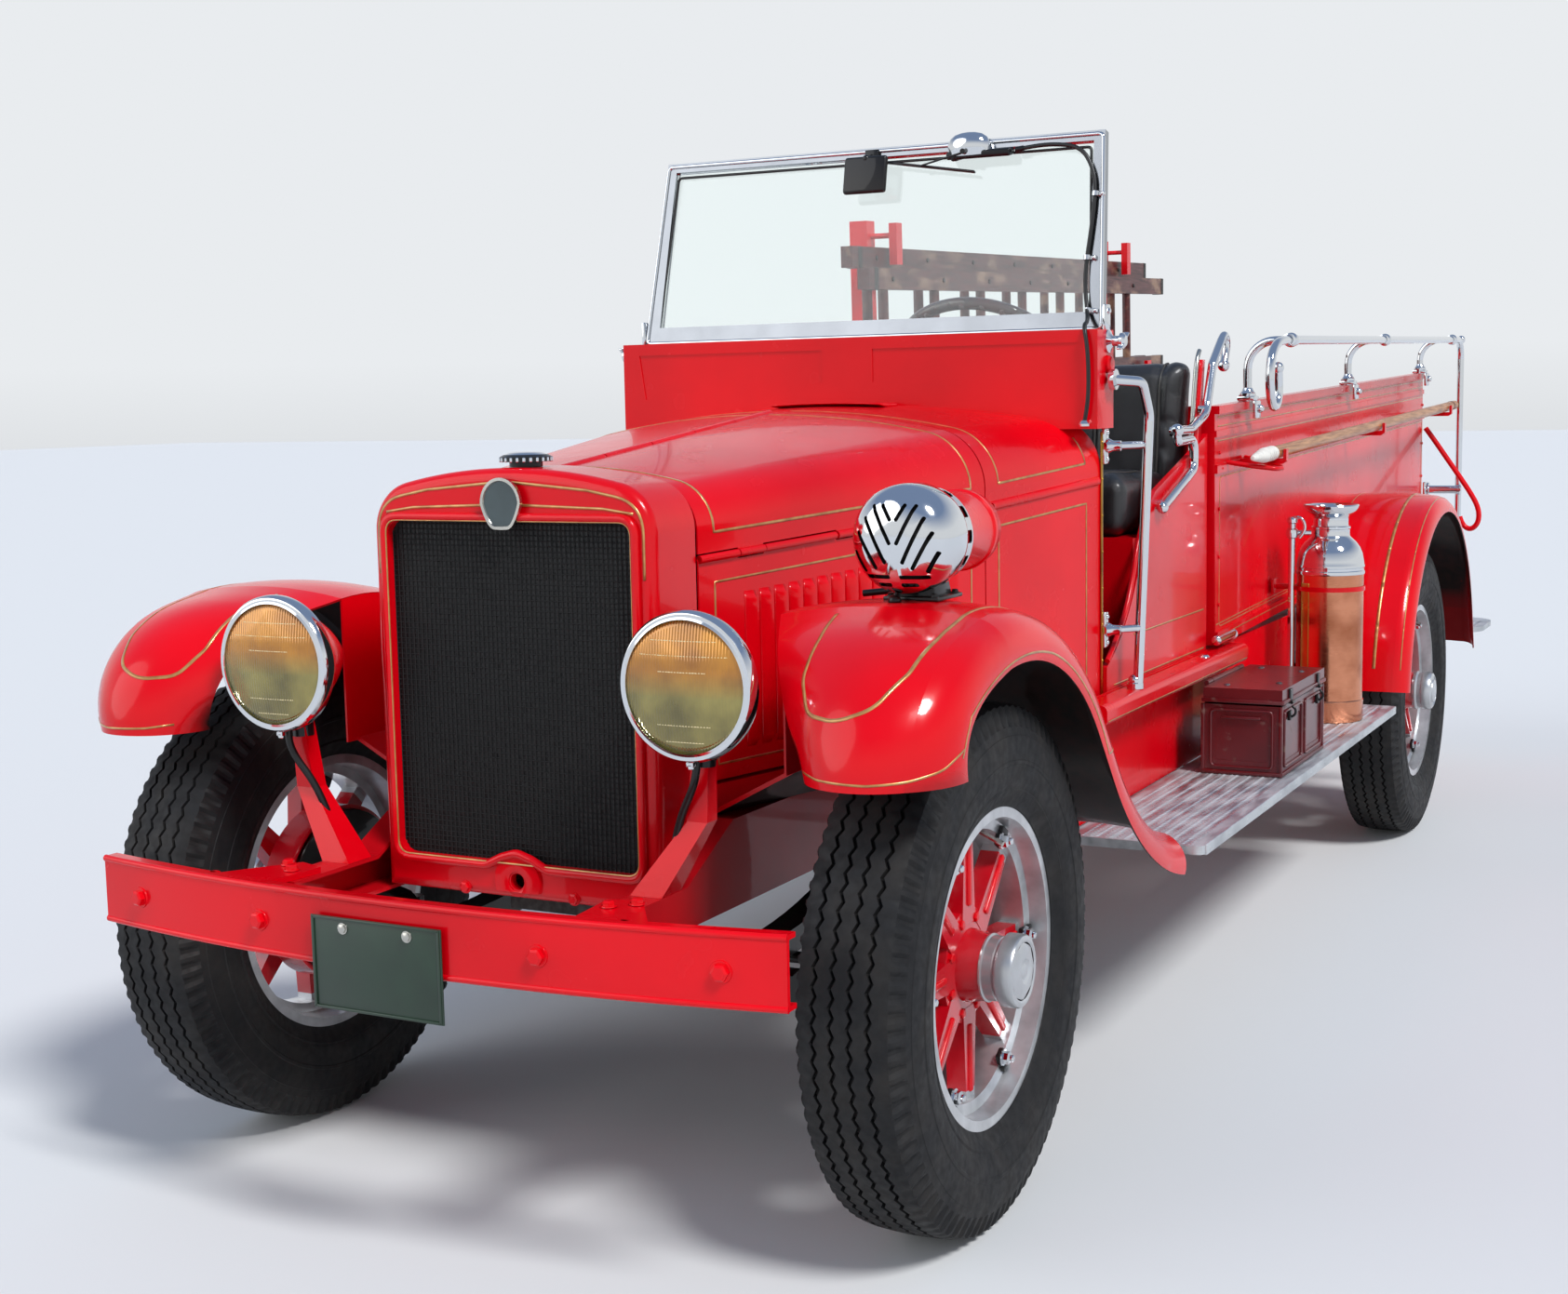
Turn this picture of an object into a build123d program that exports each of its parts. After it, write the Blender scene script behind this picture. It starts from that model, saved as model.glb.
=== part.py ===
from build123d import *
import os
from math import cos, degrees, hypot, radians, sin

os.makedirs("parts", exist_ok=True)

# An open-cab fire engine of the late 1920s, in millimetres.
# +Z is up, the front faces -Y and the driver's side is +X. The origin is on the ground,
# under the middle of the vehicle. Distances named "_aft" are measured behind the front axle.

# Stance and running gear
wheelbase = 3400
front_overhang = 612
rear_overhang = 1580
tyre_radius = 440
tyre_width = 190
bead_radius = 254
rim_flange_radius = 273
rim_half_width = 71
front_wheel_x = 686
rear_wheel_x = 749
king_pin_x = 545
king_pin_radius = 12
spindle_radius = 20
drum_radius = 168
drum_inset = 88
hub_cap_reach = 116
spoke_count = 8

# Clearances
seat_gap = 0.3
shaft_clearance = 0.05
running_gap = 6

# Chassis frame
frame_bottom_z = 530
frame_depth = 150
frame_flange = 60
frame_plate = 7
frame_front_x = 341
frame_rear_x = 430
frame_narrow_aft = 430
frame_wide_aft = 950
frame_front_aft = -500
frame_rear_aft = wheelbase + 1300
horn_depth = 68

# Radiator and lamps
shell_half_width = 280.7
shell_bottom_z = 540
shell_top_z = 1270
shell_corner_z = 1228
shell_corner_radius = 84
shell_front_aft = -262
shell_rear_aft = -124
shell_wall = 12
core_half_width = 244
core_bottom_z = 604
core_top_z = 1182
lamp_x = 407
lamp_z = 941
lamp_front_aft = -386
lamp_radius = 112
lamp_depth = 165

# Bonnet and cowl, all in sheet
sheet = 3
bonnet_front_aft = -116
bonnet_rear_aft = 684
bonnet_bottom_z = 735
cowl_front_aft = 690
cowl_rear_aft = 1130
cowl_bottom_z = 697
nose_half_width = 281
nose_corner_z = 1222
nose_top_z = 1262
cowl_front_half_width = 471
cowl_front_corner_z = 1288
cowl_front_top_z = 1348
cowl_rear_half_width = 560
cowl_rear_corner_z = 1304
cowl_rear_top_z = 1362
shoulder_front_radius = 84
shoulder_rear_radius = 120
belt_front_z = 1112
belt_seam_z = 1155
belt_rear_z = 1190
hinge_rod_radius = 5
hinge_tube_radius = 9
belt_rod_radius = 3.5
belt_tube_radius = 7
scuttle_half_width = 578
scuttle_front_aft = 1052
scuttle_rear_aft = 1156
scuttle_top_z = 1506

# Windshield
windshield_lean = 11.6
windshield_height = 430
windshield_bottom_half = 563
windshield_top_half = 540

# Cab
floor_thickness = 16
seat_half_width = 560
seat_front_aft = 1350
rail_radius = 11
rail_stand = 16
seat_box_top_z = 1050
cushion_thickness = 150
seat_back_top_z = 1475
steering_wheel_x = 210
steering_wheel_aft = 1365
steering_wheel_z = 1432
steering_wheel_radius = 220
column_rake = 45
column_radius = 22

# Hose body
body_half_width = 585
body_front_aft = 1940
body_rear_aft = wheelbase + 1340
body_floor_z = 740
body_height = 597
body_wall = 22
body_rise = 1.8

# Fenders and steps
fender_sheet = 4
front_fender_inner_x = 450
front_fender_outer_x = 842
rear_fender_outer_x = 895
board_top_z = 480
board_thickness = 18
board_inner_x = 585
board_outer_x = 870
board_front_aft = 832
board_rear_aft = 2790
tailboard_half_width = 820
tailboard_front_aft = wheelbase + 1200
tailboard_top_z = 500

# Equipment carried outside
box_inner_x = 650
box_width = 185
box_front_aft = 1600
box_length = 420
box_height = 205
box_lid_height = 34
extinguisher_radius = 88
extinguisher_height = 585
extinguisher_x = 745
extinguisher_aft = 2500
pole_radius = 16
pole_x = body_half_width + 99
pole_front_aft = 2000
pole_length = 2800
pole_front_z = 1212
stile_width = 36
stile_height = 60
rung_radius = 15
rung_pitch = 370

overall_length = front_overhang + wheelbase + rear_overhang
front_axle_y = front_overhang - overall_length / 2
rear_axle_y = front_axle_y + wheelbase
axle_z = tyre_radius
frame_top_z = frame_bottom_z + frame_depth
sides = {"left": 1, "right": -1}


def aft(distance):
    return front_axle_y + distance


def save(built, name):
    built.part.label = name
    export_step(built.part, f"parts/{name}.step")


def side_plane(x):
    # sketch X runs aft and sketch Y runs up, extruding towards the driver's side
    return Plane(origin=(x, front_axle_y, 0), x_dir=(0, 1, 0), z_dir=(1, 0, 0))


def cross_plane(distance_aft):
    # sketch X is the vehicle's X and sketch Y runs up, extruding forward
    return Plane(origin=(0, aft(distance_aft), 0), x_dir=(1, 0, 0), z_dir=(0, -1, 0))


def plan_plane(z):
    # sketch X is the vehicle's X and sketch Y runs aft, extruding up
    return Plane(origin=(0, front_axle_y, z), x_dir=(1, 0, 0), z_dir=(0, 0, 1))


def between(start, end, share):
    return start + (end - start) * share


# Wheels and tyres. A wheel's sections have X outboard along its axle and Y as the radius.
wheel_places = {
    "front_left": (1, front_wheel_x, front_axle_y),
    "front_right": (-1, front_wheel_x, front_axle_y),
    "rear_left": (1, rear_wheel_x, rear_axle_y),
    "rear_right": (-1, rear_wheel_x, rear_axle_y),
}
crown_half = tyre_width / 2 - 30
shoulder_half = tyre_width / 2 - 14
bead_half = rim_half_width - 10
bead_foot = bead_radius + seat_gap
bead_top = rim_flange_radius + 4

for place, (side, wheel_x, wheel_y) in wheel_places.items():
    centre = (side * wheel_x, wheel_y, axle_z)
    section = Plane(origin=centre, x_dir=(side, 0, 0), z_dir=(0, -side, 0))
    axle = Axis(centre, (side, 0, 0))

    with BuildPart() as tyre:
        with BuildSketch(section):
            with BuildLine():
                Polyline(
                    (-bead_half, bead_top), (-bead_half, bead_foot), (bead_half, bead_foot), (bead_half, bead_top)
                )
                for end in (1, -1):
                    ThreePointArc(
                        (end * bead_half, bead_top),
                        (end * tyre_width / 2, tyre_radius - 95),
                        (end * shoulder_half, tyre_radius - 18),
                    )
                    Line((end * shoulder_half, tyre_radius - 18), (end * crown_half, tyre_radius - 3))
                ThreePointArc(
                    (crown_half, tyre_radius - 3), (0, tyre_radius), (-crown_half, tyre_radius - 3)
                )
            make_face()
        revolve(axis=axle)
    save(tyre, f"tyre_{place}")

    with BuildPart() as wheel:
        # demountable rim with a lip each side, on the felloe ring of the spoked centre
        with BuildSketch(section):
            Polygon(
                (rim_half_width, rim_flange_radius),
                (rim_half_width - 7, rim_flange_radius),
                (rim_half_width - 8, bead_radius),
                (-rim_half_width + 8, bead_radius),
                (-rim_half_width + 7, rim_flange_radius),
                (-rim_half_width, rim_flange_radius),
                (-rim_half_width, bead_radius - 6),
                (-20, bead_radius - 10),
                (-20, bead_radius - 28),
                (36, bead_radius - 28),
                (40, bead_radius - 10),
                (rim_half_width, bead_radius - 6),
                align=None,
            )
        revolve(axis=axle)
        # hub barrel, bolted flange and the stepped cap that stands out of it
        with BuildSketch(section):
            Polygon(
                (-drum_inset + 14, 0),
                (-drum_inset + 14, 58),
                (-6, 58),
                (-6, 96),
                (22, 96),
                (26, 62),
                (64, 54),
                (70, 50),
                (hub_cap_reach - 16, 48),
                (hub_cap_reach - 12, 40),
                (hub_cap_reach - 4, 40),
                (hub_cap_reach, 34),
                (hub_cap_reach, 0),
                align=None,
            )
        revolve(axis=axle)
        # brake drum behind the spokes, open towards the backing plate
        with BuildSketch(section):
            Polygon(
                (-drum_inset, drum_radius),
                (-30, drum_radius),
                (-24, 50),
                (-32, 50),
                (-38, drum_radius - 8),
                (-drum_inset, drum_radius - 8),
                align=None,
            )
        revolve(axis=axle)
        # tapered cast spokes
        spoke_face = Plane(origin=(side * (wheel_x - 8), wheel_y, axle_z), x_dir=(0, 1, 0), z_dir=(1, 0, 0))
        with BuildSketch(spoke_face):
            with PolarLocations(0, spoke_count):
                Polygon((70, -27), (235, -17), (235, 17), (70, 27), align=None)
        extrude(amount=side * 34)
        bore_face = Plane(origin=(side * (wheel_x - drum_inset), wheel_y, axle_z), z_dir=(side, 0, 0))
        with BuildSketch(bore_face):
            Circle(spindle_radius + shaft_clearance)
        extrude(amount=drum_inset + 20, mode=Mode.SUBTRACT)
    save(wheel, f"wheel_{place}")

# Steering knuckles: fork ears above and below the axle eye, king pin, backing plate,
# spindle and an arm that reaches aft to the tie rod
ear_thickness = 24
ear_radius = 27
ear_gap = 1
axle_eye_half = 34
axle_eye_radius = 25
fork_half = axle_eye_half + ear_gap
ear_bottom_z = axle_z - fork_half - ear_thickness
web_thickness = 16
web_inner = axle_eye_radius + 3
arm_reach = 150
arm_thickness = 16
arm_bottom_z = ear_bottom_z + 4
tie_pin_radius = 9
tie_eye_thickness = 24
backing_inner_x = front_wheel_x - drum_inset - running_gap - 5
for label, side in sides.items():
    pin_x = side * king_pin_x
    with BuildPart() as knuckle:
        for ear_z in (ear_bottom_z, axle_z + fork_half):
            with BuildSketch(plan_plane(ear_z)):
                with Locations((pin_x, 0)):
                    Circle(ear_radius)
                with Locations((pin_x + side * web_inner / 2, 0)):
                    Rectangle(web_inner, 2 * ear_radius)
            extrude(amount=ear_thickness)
        with BuildSketch(plan_plane(ear_bottom_z)):
            with Locations((pin_x + side * (web_inner + web_thickness / 2), 0)):
                Rectangle(web_thickness, 2 * ear_radius)
        extrude(amount=2 * (fork_half + ear_thickness))
        with BuildSketch(plan_plane(ear_bottom_z + ear_thickness)):
            with Locations((pin_x, 0)):
                Circle(king_pin_radius)
        extrude(amount=2 * fork_half)
        with BuildSketch(Plane(origin=(side * backing_inner_x, front_axle_y, axle_z), z_dir=(side, 0, 0))):
            Circle(drum_radius - 10)
        extrude(amount=5)
        spindle_root = (pin_x + side * web_inner, front_axle_y, axle_z)
        with BuildSketch(Plane(origin=spindle_root, z_dir=(side, 0, 0))):
            Circle(spindle_radius)
        extrude(amount=front_wheel_x - king_pin_x - web_inner)
        with BuildSketch(plan_plane(arm_bottom_z)):
            Polygon(
                (pin_x - side * 16, 10),
                (pin_x + side * 16, 10),
                (pin_x + side * 13, arm_reach),
                (pin_x - side * 13, arm_reach),
                align=None,
            )
            with Locations((pin_x, arm_reach)):
                Circle(18)
        extrude(amount=arm_thickness)
        with BuildSketch(plan_plane(arm_bottom_z - tie_eye_thickness - 6)):
            with Locations((pin_x, arm_reach)):
                Circle(tie_pin_radius)
        extrude(amount=tie_eye_thickness + 6)
    save(knuckle, f"knuckle_{label}")

# Tie rod: an eye on each arm's pin, the right one with room because the linkage closes there
tie_bottom_z = arm_bottom_z - tie_eye_thickness - 3
with BuildPart() as tie_rod:
    with BuildSketch(plan_plane(tie_bottom_z)):
        with Locations((king_pin_x, arm_reach), (-king_pin_x, arm_reach)):
            Circle(18)
    extrude(amount=tie_eye_thickness)
    rod_start = (-king_pin_x + 10, aft(arm_reach), tie_bottom_z + tie_eye_thickness / 2)
    with BuildSketch(Plane(origin=rod_start, z_dir=(1, 0, 0))):
        Circle(11)
    extrude(amount=2 * king_pin_x - 20)
    with BuildSketch(plan_plane(tie_bottom_z)):
        with Locations((king_pin_x, arm_reach)):
            Circle(tie_pin_radius + shaft_clearance)
        with Locations((-king_pin_x, arm_reach)):
            Circle(tie_pin_radius + 1)
    extrude(amount=tie_eye_thickness, mode=Mode.SUBTRACT)
save(tie_rod, "tie_rod")

# Front axle: a dropped I-beam forging with an eye for each king pin
beam_drop = 78
beam_depth = 56
beam_width = 50
beam_bottom_z = axle_z - beam_drop - beam_depth / 2
front_pad_z = axle_z - beam_drop + beam_depth / 2
beam_end = king_pin_x - 20
with BuildPart() as front_axle:
    with BuildSketch(cross_plane(-beam_width / 2)):
        Polygon(
            (-beam_end, axle_z + 26),
            (-beam_end + 70, axle_z + 8),
            (-beam_end + 130, front_pad_z),
            (beam_end - 130, front_pad_z),
            (beam_end - 70, axle_z + 8),
            (beam_end, axle_z + 26),
            (beam_end, axle_z - 26),
            (beam_end - 60, axle_z - 44),
            (beam_end - 120, beam_bottom_z),
            (-beam_end + 120, beam_bottom_z),
            (-beam_end + 60, axle_z - 44),
            (-beam_end, axle_z - 26),
            align=None,
        )
    extrude(amount=-beam_width)
    for face in (-1, 1):
        with BuildSketch(cross_plane(face * beam_width / 2)):
            with Locations((0, axle_z - beam_drop)):
                Rectangle(2 * beam_end - 280, beam_depth - 22)
        extrude(amount=face * 17, mode=Mode.SUBTRACT)
    with BuildSketch(plan_plane(axle_z - axle_eye_half)):
        with Locations((king_pin_x, 0), (-king_pin_x, 0)):
            Circle(axle_eye_radius)
    extrude(amount=2 * axle_eye_half)
    with BuildSketch(plan_plane(axle_z - axle_eye_half)):
        with Locations((king_pin_x, 0), (-king_pin_x, 0)):
            Circle(king_pin_radius + shaft_clearance)
    extrude(amount=2 * axle_eye_half, mode=Mode.SUBTRACT)
save(front_axle, "front_axle")

# Rear axle: banjo housing with a pinion nose, spring pads, backing plates and spindles
rear_tube_radius = 44
rear_spring_x = 505
pinion_reach = 270
pinion_radius = 52
rear_pad_z = axle_z + rear_tube_radius + 10
tube_end = rear_wheel_x - drum_inset - running_gap - 5
with BuildPart() as rear_axle:
    with BuildSketch(cross_plane(wheelbase)):
        with BuildLine():
            for end in (-1, 1):
                Polyline(
                    (end * rear_wheel_x, axle_z),
                    (end * rear_wheel_x, axle_z + spindle_radius),
                    (end * tube_end, axle_z + spindle_radius),
                    (end * tube_end, axle_z + 40),
                    (end * 200, axle_z + rear_tube_radius),
                    (end * 130, axle_z + 110),
                )
            ThreePointArc((-130, axle_z + 110), (0, axle_z + 165), (130, axle_z + 110))
            Line((rear_wheel_x, axle_z), (-rear_wheel_x, axle_z))
        make_face()
    revolve(axis=Axis((0, rear_axle_y, axle_z), (1, 0, 0)))
    with BuildSketch(cross_plane(wheelbase - pinion_reach)):
        with Locations((0, axle_z)):
            Circle(pinion_radius)
    with BuildSketch(cross_plane(wheelbase - 60)):
        with Locations((0, axle_z)):
            Circle(2 * pinion_radius)
    loft()
    for side in sides.values():
        with BuildSketch(Plane(origin=(side * tube_end, rear_axle_y, axle_z), z_dir=(side, 0, 0))):
            Circle(drum_radius - 10)
        extrude(amount=5)
        with BuildSketch(plan_plane(axle_z)):
            with Locations((side * rear_spring_x, wheelbase)):
                Rectangle(64, 120)
        extrude(amount=rear_pad_z - axle_z)
save(rear_axle, "rear_axle")

# Leaf springs: each leaf is an arc band about one centre, and the leaves shorten downwards
leaf_width = 54
leaf_thickness = 9
spring_eye_radius = 18
spring_pin_radius = 9
front_spring_x = frame_front_x - frame_flange / 2
springs = {
    # axle: x, middle aft, leaf count, half span, arch, height of the pad it sits on
    "front": (front_spring_x, 0, 5, 420, 74, front_pad_z),
    "rear": (rear_spring_x, wheelbase, 7, 560, 84, rear_pad_z),
}
spring_eyes = []
with BuildPart() as leaf_springs:
    for axle_name, (x, middle, leaf_count, half_span, arch, pad_z) in springs.items():
        curve = half_span**2 / (2 * arch)
        sweep_angle = degrees(half_span / curve)
        centre_z = pad_z + seat_gap + leaf_count * leaf_thickness + curve
        eyes = []
        for end in (-1, 1):
            angle = radians(-90 + end * sweep_angle)
            radius = curve + leaf_thickness / 2
            eyes.append((middle + radius * cos(angle), centre_z + radius * sin(angle)))
        spring_eyes += [(axle_name, x, eye_aft, eye_z) for eye_aft, eye_z in eyes]
        for side in sides.values():
            with BuildSketch(side_plane(side * x - leaf_width / 2)):
                for leaf in range(leaf_count):
                    outer = curve + (leaf_count - leaf) * leaf_thickness
                    reach = sweep_angle * (0.35 + 0.65 * (leaf + 1) / leaf_count)
                    with BuildLine():
                        low = CenterArc((middle, centre_z), outer, -90 - reach, 2 * reach)
                        high = CenterArc((middle, centre_z), outer - leaf_thickness, -90 - reach, 2 * reach)
                        Line(low @ 0, high @ 0)
                        Line(low @ 1, high @ 1)
                    make_face()
                with Locations(*eyes):
                    Circle(spring_eye_radius)
                with Locations(*eyes):
                    Circle(spring_pin_radius + seat_gap, mode=Mode.SUBTRACT)
            extrude(amount=leaf_width)
save(leaf_springs, "leaf_springs")

# Chassis frame: two pressed channels, narrow between the front wheels, with cross-members,
# spring hangers and a tapered horn at the front of each rail


def rail_x(distance_aft):
    if distance_aft <= frame_narrow_aft:
        return frame_front_x
    if distance_aft >= frame_wide_aft:
        return frame_rear_x
    share = (distance_aft - frame_narrow_aft) / (frame_wide_aft - frame_narrow_aft)
    return between(frame_front_x, frame_rear_x, share)


def rail_outline(inset):
    stations = (frame_front_aft, frame_narrow_aft, frame_wide_aft, frame_rear_aft)
    outer = [(rail_x(station) - inset, station) for station in stations]
    inner = [(rail_x(station) - frame_flange, station) for station in reversed(stations)]
    return outer + inner


cross_members = (-84, 1200, 1850, 2500, wheelbase + 500, frame_rear_aft - 60)
member_width = 70
with BuildPart() as chassis_frame:
    with BuildSketch(plan_plane(frame_bottom_z)):
        Polygon(*rail_outline(0), align=None)
    extrude(amount=frame_depth)
    with BuildSketch(plan_plane(frame_bottom_z + frame_plate)):
        Polygon(*rail_outline(frame_plate), align=None)
    extrude(amount=frame_depth - 2 * frame_plate, mode=Mode.SUBTRACT)
    with BuildSketch(side_plane(0)):
        Polygon(
            (frame_front_aft - 5, frame_bottom_z + horn_depth),
            (shell_front_aft - 20, frame_bottom_z + horn_depth),
            (shell_rear_aft, frame_top_z),
            (shell_rear_aft, frame_top_z + 5),
            (frame_front_aft - 5, frame_top_z + 5),
            align=None,
        )
    extrude(amount=frame_front_x + 10, mode=Mode.SUBTRACT)
    # closing flange along the horn's sloping top
    with BuildSketch(side_plane(frame_front_x - frame_flange)):
        Polygon(
            (frame_front_aft, frame_bottom_z + horn_depth),
            (shell_front_aft - 20, frame_bottom_z + horn_depth),
            (shell_rear_aft, frame_top_z),
            (shell_rear_aft, frame_top_z - frame_plate),
            (shell_front_aft - 20, frame_bottom_z + horn_depth - frame_plate),
            (frame_front_aft, frame_bottom_z + horn_depth - frame_plate),
            align=None,
        )
    extrude(amount=frame_flange)
    # spring hangers: cheeks under the front rails, stub arms beside the rear ones
    for axle_name, x, eye_aft, eye_z in spring_eyes:
        if axle_name == "front":
            for face in (x - leaf_width / 2 - seat_gap - 6, x + leaf_width / 2 + seat_gap):
                with BuildSketch(side_plane(face)):
                    with Locations((eye_aft, eye_z)):
                        Circle(22)
                    with Locations((eye_aft, between(eye_z, frame_bottom_z + 4, 0.5))):
                        Rectangle(44, frame_bottom_z + 4 - eye_z)
                extrude(amount=6)
            with BuildSketch(side_plane(x - leaf_width / 2 - 10)):
                with Locations((eye_aft, eye_z)):
                    Circle(spring_pin_radius)
            extrude(amount=leaf_width + 20)
        else:
            arm_start = frame_rear_x - 3
            with BuildSketch(side_plane(arm_start)):
                with Locations((eye_aft, eye_z)):
                    Circle(24)
            extrude(amount=x - leaf_width / 2 - seat_gap - arm_start)
            with BuildSketch(side_plane(arm_start)):
                with Locations((eye_aft, eye_z)):
                    Circle(spring_pin_radius)
            extrude(amount=x + leaf_width / 2 + 8 - arm_start)
    mirror(about=Plane.YZ)
    for member in cross_members:
        half = rail_x(member - member_width / 2) - frame_plate
        with BuildSketch(side_plane(-half)):
            with Locations((member, frame_bottom_z + frame_depth / 2)):
                Rectangle(member_width, frame_depth - 2 * frame_plate)
            with Locations((member + frame_plate, frame_bottom_z + frame_depth / 2)):
                Rectangle(member_width, frame_depth - 4 * frame_plate, mode=Mode.SUBTRACT)
        extrude(amount=2 * half)
save(chassis_frame, "chassis_frame")

# Front bumper: a bowed channel, open to the rear, on an arm plate from each frame horn
bumper_half = 658
bumper_sweep = 65
bumper_bottom_z = 506
bumper_height = 113
bumper_depth = 28
bumper_plate = 8
horn_top_z = frame_bottom_z + horn_depth


def bumper_band(near, far):
    # plan band between two copies of the bumper's front curve, near and far behind it
    with BuildSketch() as band:
        with BuildLine():
            for offset in (near, far):
                ThreePointArc(
                    (-bumper_half, -front_overhang + bumper_sweep + offset),
                    (0, -front_overhang + offset),
                    (bumper_half, -front_overhang + bumper_sweep + offset),
                )
            for end in (-bumper_half, bumper_half):
                Line(
                    (end, -front_overhang + bumper_sweep + near),
                    (end, -front_overhang + bumper_sweep + far),
                )
        make_face()
    return band.sketch


with BuildPart() as front_bumper:
    with BuildSketch(plan_plane(bumper_bottom_z)):
        add(bumper_band(0, bumper_depth))
    extrude(amount=bumper_height)
    with BuildSketch(plan_plane(bumper_bottom_z + bumper_plate)):
        add(bumper_band(bumper_plate, bumper_depth + 5))
    extrude(amount=bumper_height - 2 * bumper_plate, mode=Mode.SUBTRACT)
    for side in sides.values():
        with BuildSketch(plan_plane(horn_top_z + seat_gap)):
            Polygon(
                (side * 284, -430),
                (side * 338, -412),
                (side * 450, -576),
                (side * 385, -584),
                (side * 300, -593),
                align=None,
            )
        extrude(amount=10)
        with BuildSketch(plan_plane(frame_bottom_z)):
            with Locations((side * 312, -548)):
                Rectangle(20, 95)
        extrude(amount=horn_depth + 1)
save(front_bumper, "front_bumper")

# Radiator: a plated shell with an arched top and an open front, the core, and the filler cap


def arched(half, bottom, corner, top, radius):
    # outline with straight sides, rounded shoulders and a bowed top
    with BuildSketch() as outline:
        with BuildLine():
            Polyline((-half, corner), (-half, bottom), (half, bottom), (half, corner))
            ThreePointArc((-half, corner), (0, top), (half, corner))
        make_face()
        fillet(outline.vertices().sort_by(Axis.Y)[-2:], radius)
    return outline.sketch


shell_depth = shell_rear_aft - shell_front_aft
bead_width = 9
crank_z = 573
hinge_drop = 4
# hinge line of the bonnet tops, as (aft, z) at its two ends
centre_hinge = (
    (bonnet_front_aft, nose_top_z - hinge_drop),
    (bonnet_rear_aft, cowl_front_top_z - hinge_drop),
)


def hinge_plane(x0, x1, line, share):
    # section plane of a hinge that runs aft from (x0, line[0]) to (x1, line[1])
    (aft0, z0), (aft1, z1) = line
    origin = (between(x0, x1, share), aft(between(aft0, aft1, share)), between(z0, z1, share))
    return Plane(origin=origin, x_dir=(1, 0, -(x1 - x0) / (z1 - z0)), z_dir=(x1 - x0, aft1 - aft0, z1 - z0))


with BuildPart() as radiator_shell:
    with BuildSketch(cross_plane(shell_rear_aft)):
        add(arched(shell_half_width, shell_bottom_z, shell_corner_z, shell_top_z, shell_corner_radius))
    extrude(amount=shell_depth)
    fillet(radiator_shell.faces().sort_by(Axis.Y)[0].edges(), 20)
    with BuildSketch(cross_plane(shell_rear_aft)):
        add(
            arched(
                shell_half_width - shell_wall,
                shell_bottom_z + shell_wall,
                shell_corner_z - shell_wall,
                shell_top_z - shell_wall,
                shell_corner_radius - shell_wall,
            )
        )
    extrude(amount=shell_depth - shell_wall, mode=Mode.SUBTRACT)
    core_middle_z = (core_bottom_z + core_top_z) / 2
    core_height = core_top_z - core_bottom_z
    with BuildSketch(cross_plane(shell_front_aft)):
        with Locations((0, core_middle_z)):
            RectangleRounded(2 * (core_half_width + bead_width), core_height + 2 * bead_width, 34)
        with Locations((0, crank_z)):
            Circle(26)
    extrude(amount=4)
    # eye at the back of the shell for the bonnet's hinge rod
    with BuildSketch(cross_plane(shell_rear_aft)):
        with Locations((0, shell_top_z - 20)):
            Rectangle(30, 34)
    extrude(amount=14)
    with BuildSketch(cross_plane(shell_rear_aft - shell_depth + shell_wall + 2)):
        with Locations((0, core_middle_z)):
            RectangleRounded(2 * core_half_width, core_height, 26)
        with Locations((0, crank_z)):
            Circle(14)
    extrude(amount=shell_wall + 8, mode=Mode.SUBTRACT)
    with BuildSketch(hinge_plane(0, 0, centre_hinge, 0)):
        Circle(hinge_rod_radius + shaft_clearance)
    extrude(amount=-30, mode=Mode.SUBTRACT)
save(radiator_shell, "radiator_shell")

with BuildPart() as radiator_core:
    with BuildSketch(cross_plane(shell_front_aft + shell_wall + seat_gap)):
        with Locations((0, core_middle_z)):
            Rectangle(2 * core_half_width + 14, core_height + 10)
    extrude(amount=-78)
save(radiator_core, "radiator_core")

cap_aft = -198
with BuildPart() as radiator_cap:
    with BuildSketch(side_plane(0)):
        Polygon(
            (cap_aft, shell_top_z + seat_gap),
            (cap_aft + 28, shell_top_z + seat_gap),
            (cap_aft + 28, shell_top_z + 8),
            (cap_aft + 44, shell_top_z + 9),
            (cap_aft + 44, shell_top_z + 17),
            (cap_aft + 36, shell_top_z + 21),
            (cap_aft, shell_top_z + 23),
            align=None,
        )
    revolve(axis=Axis((0, aft(cap_aft), 0), (0, 0, 1)))
save(radiator_cap, "radiator_cap")

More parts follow.
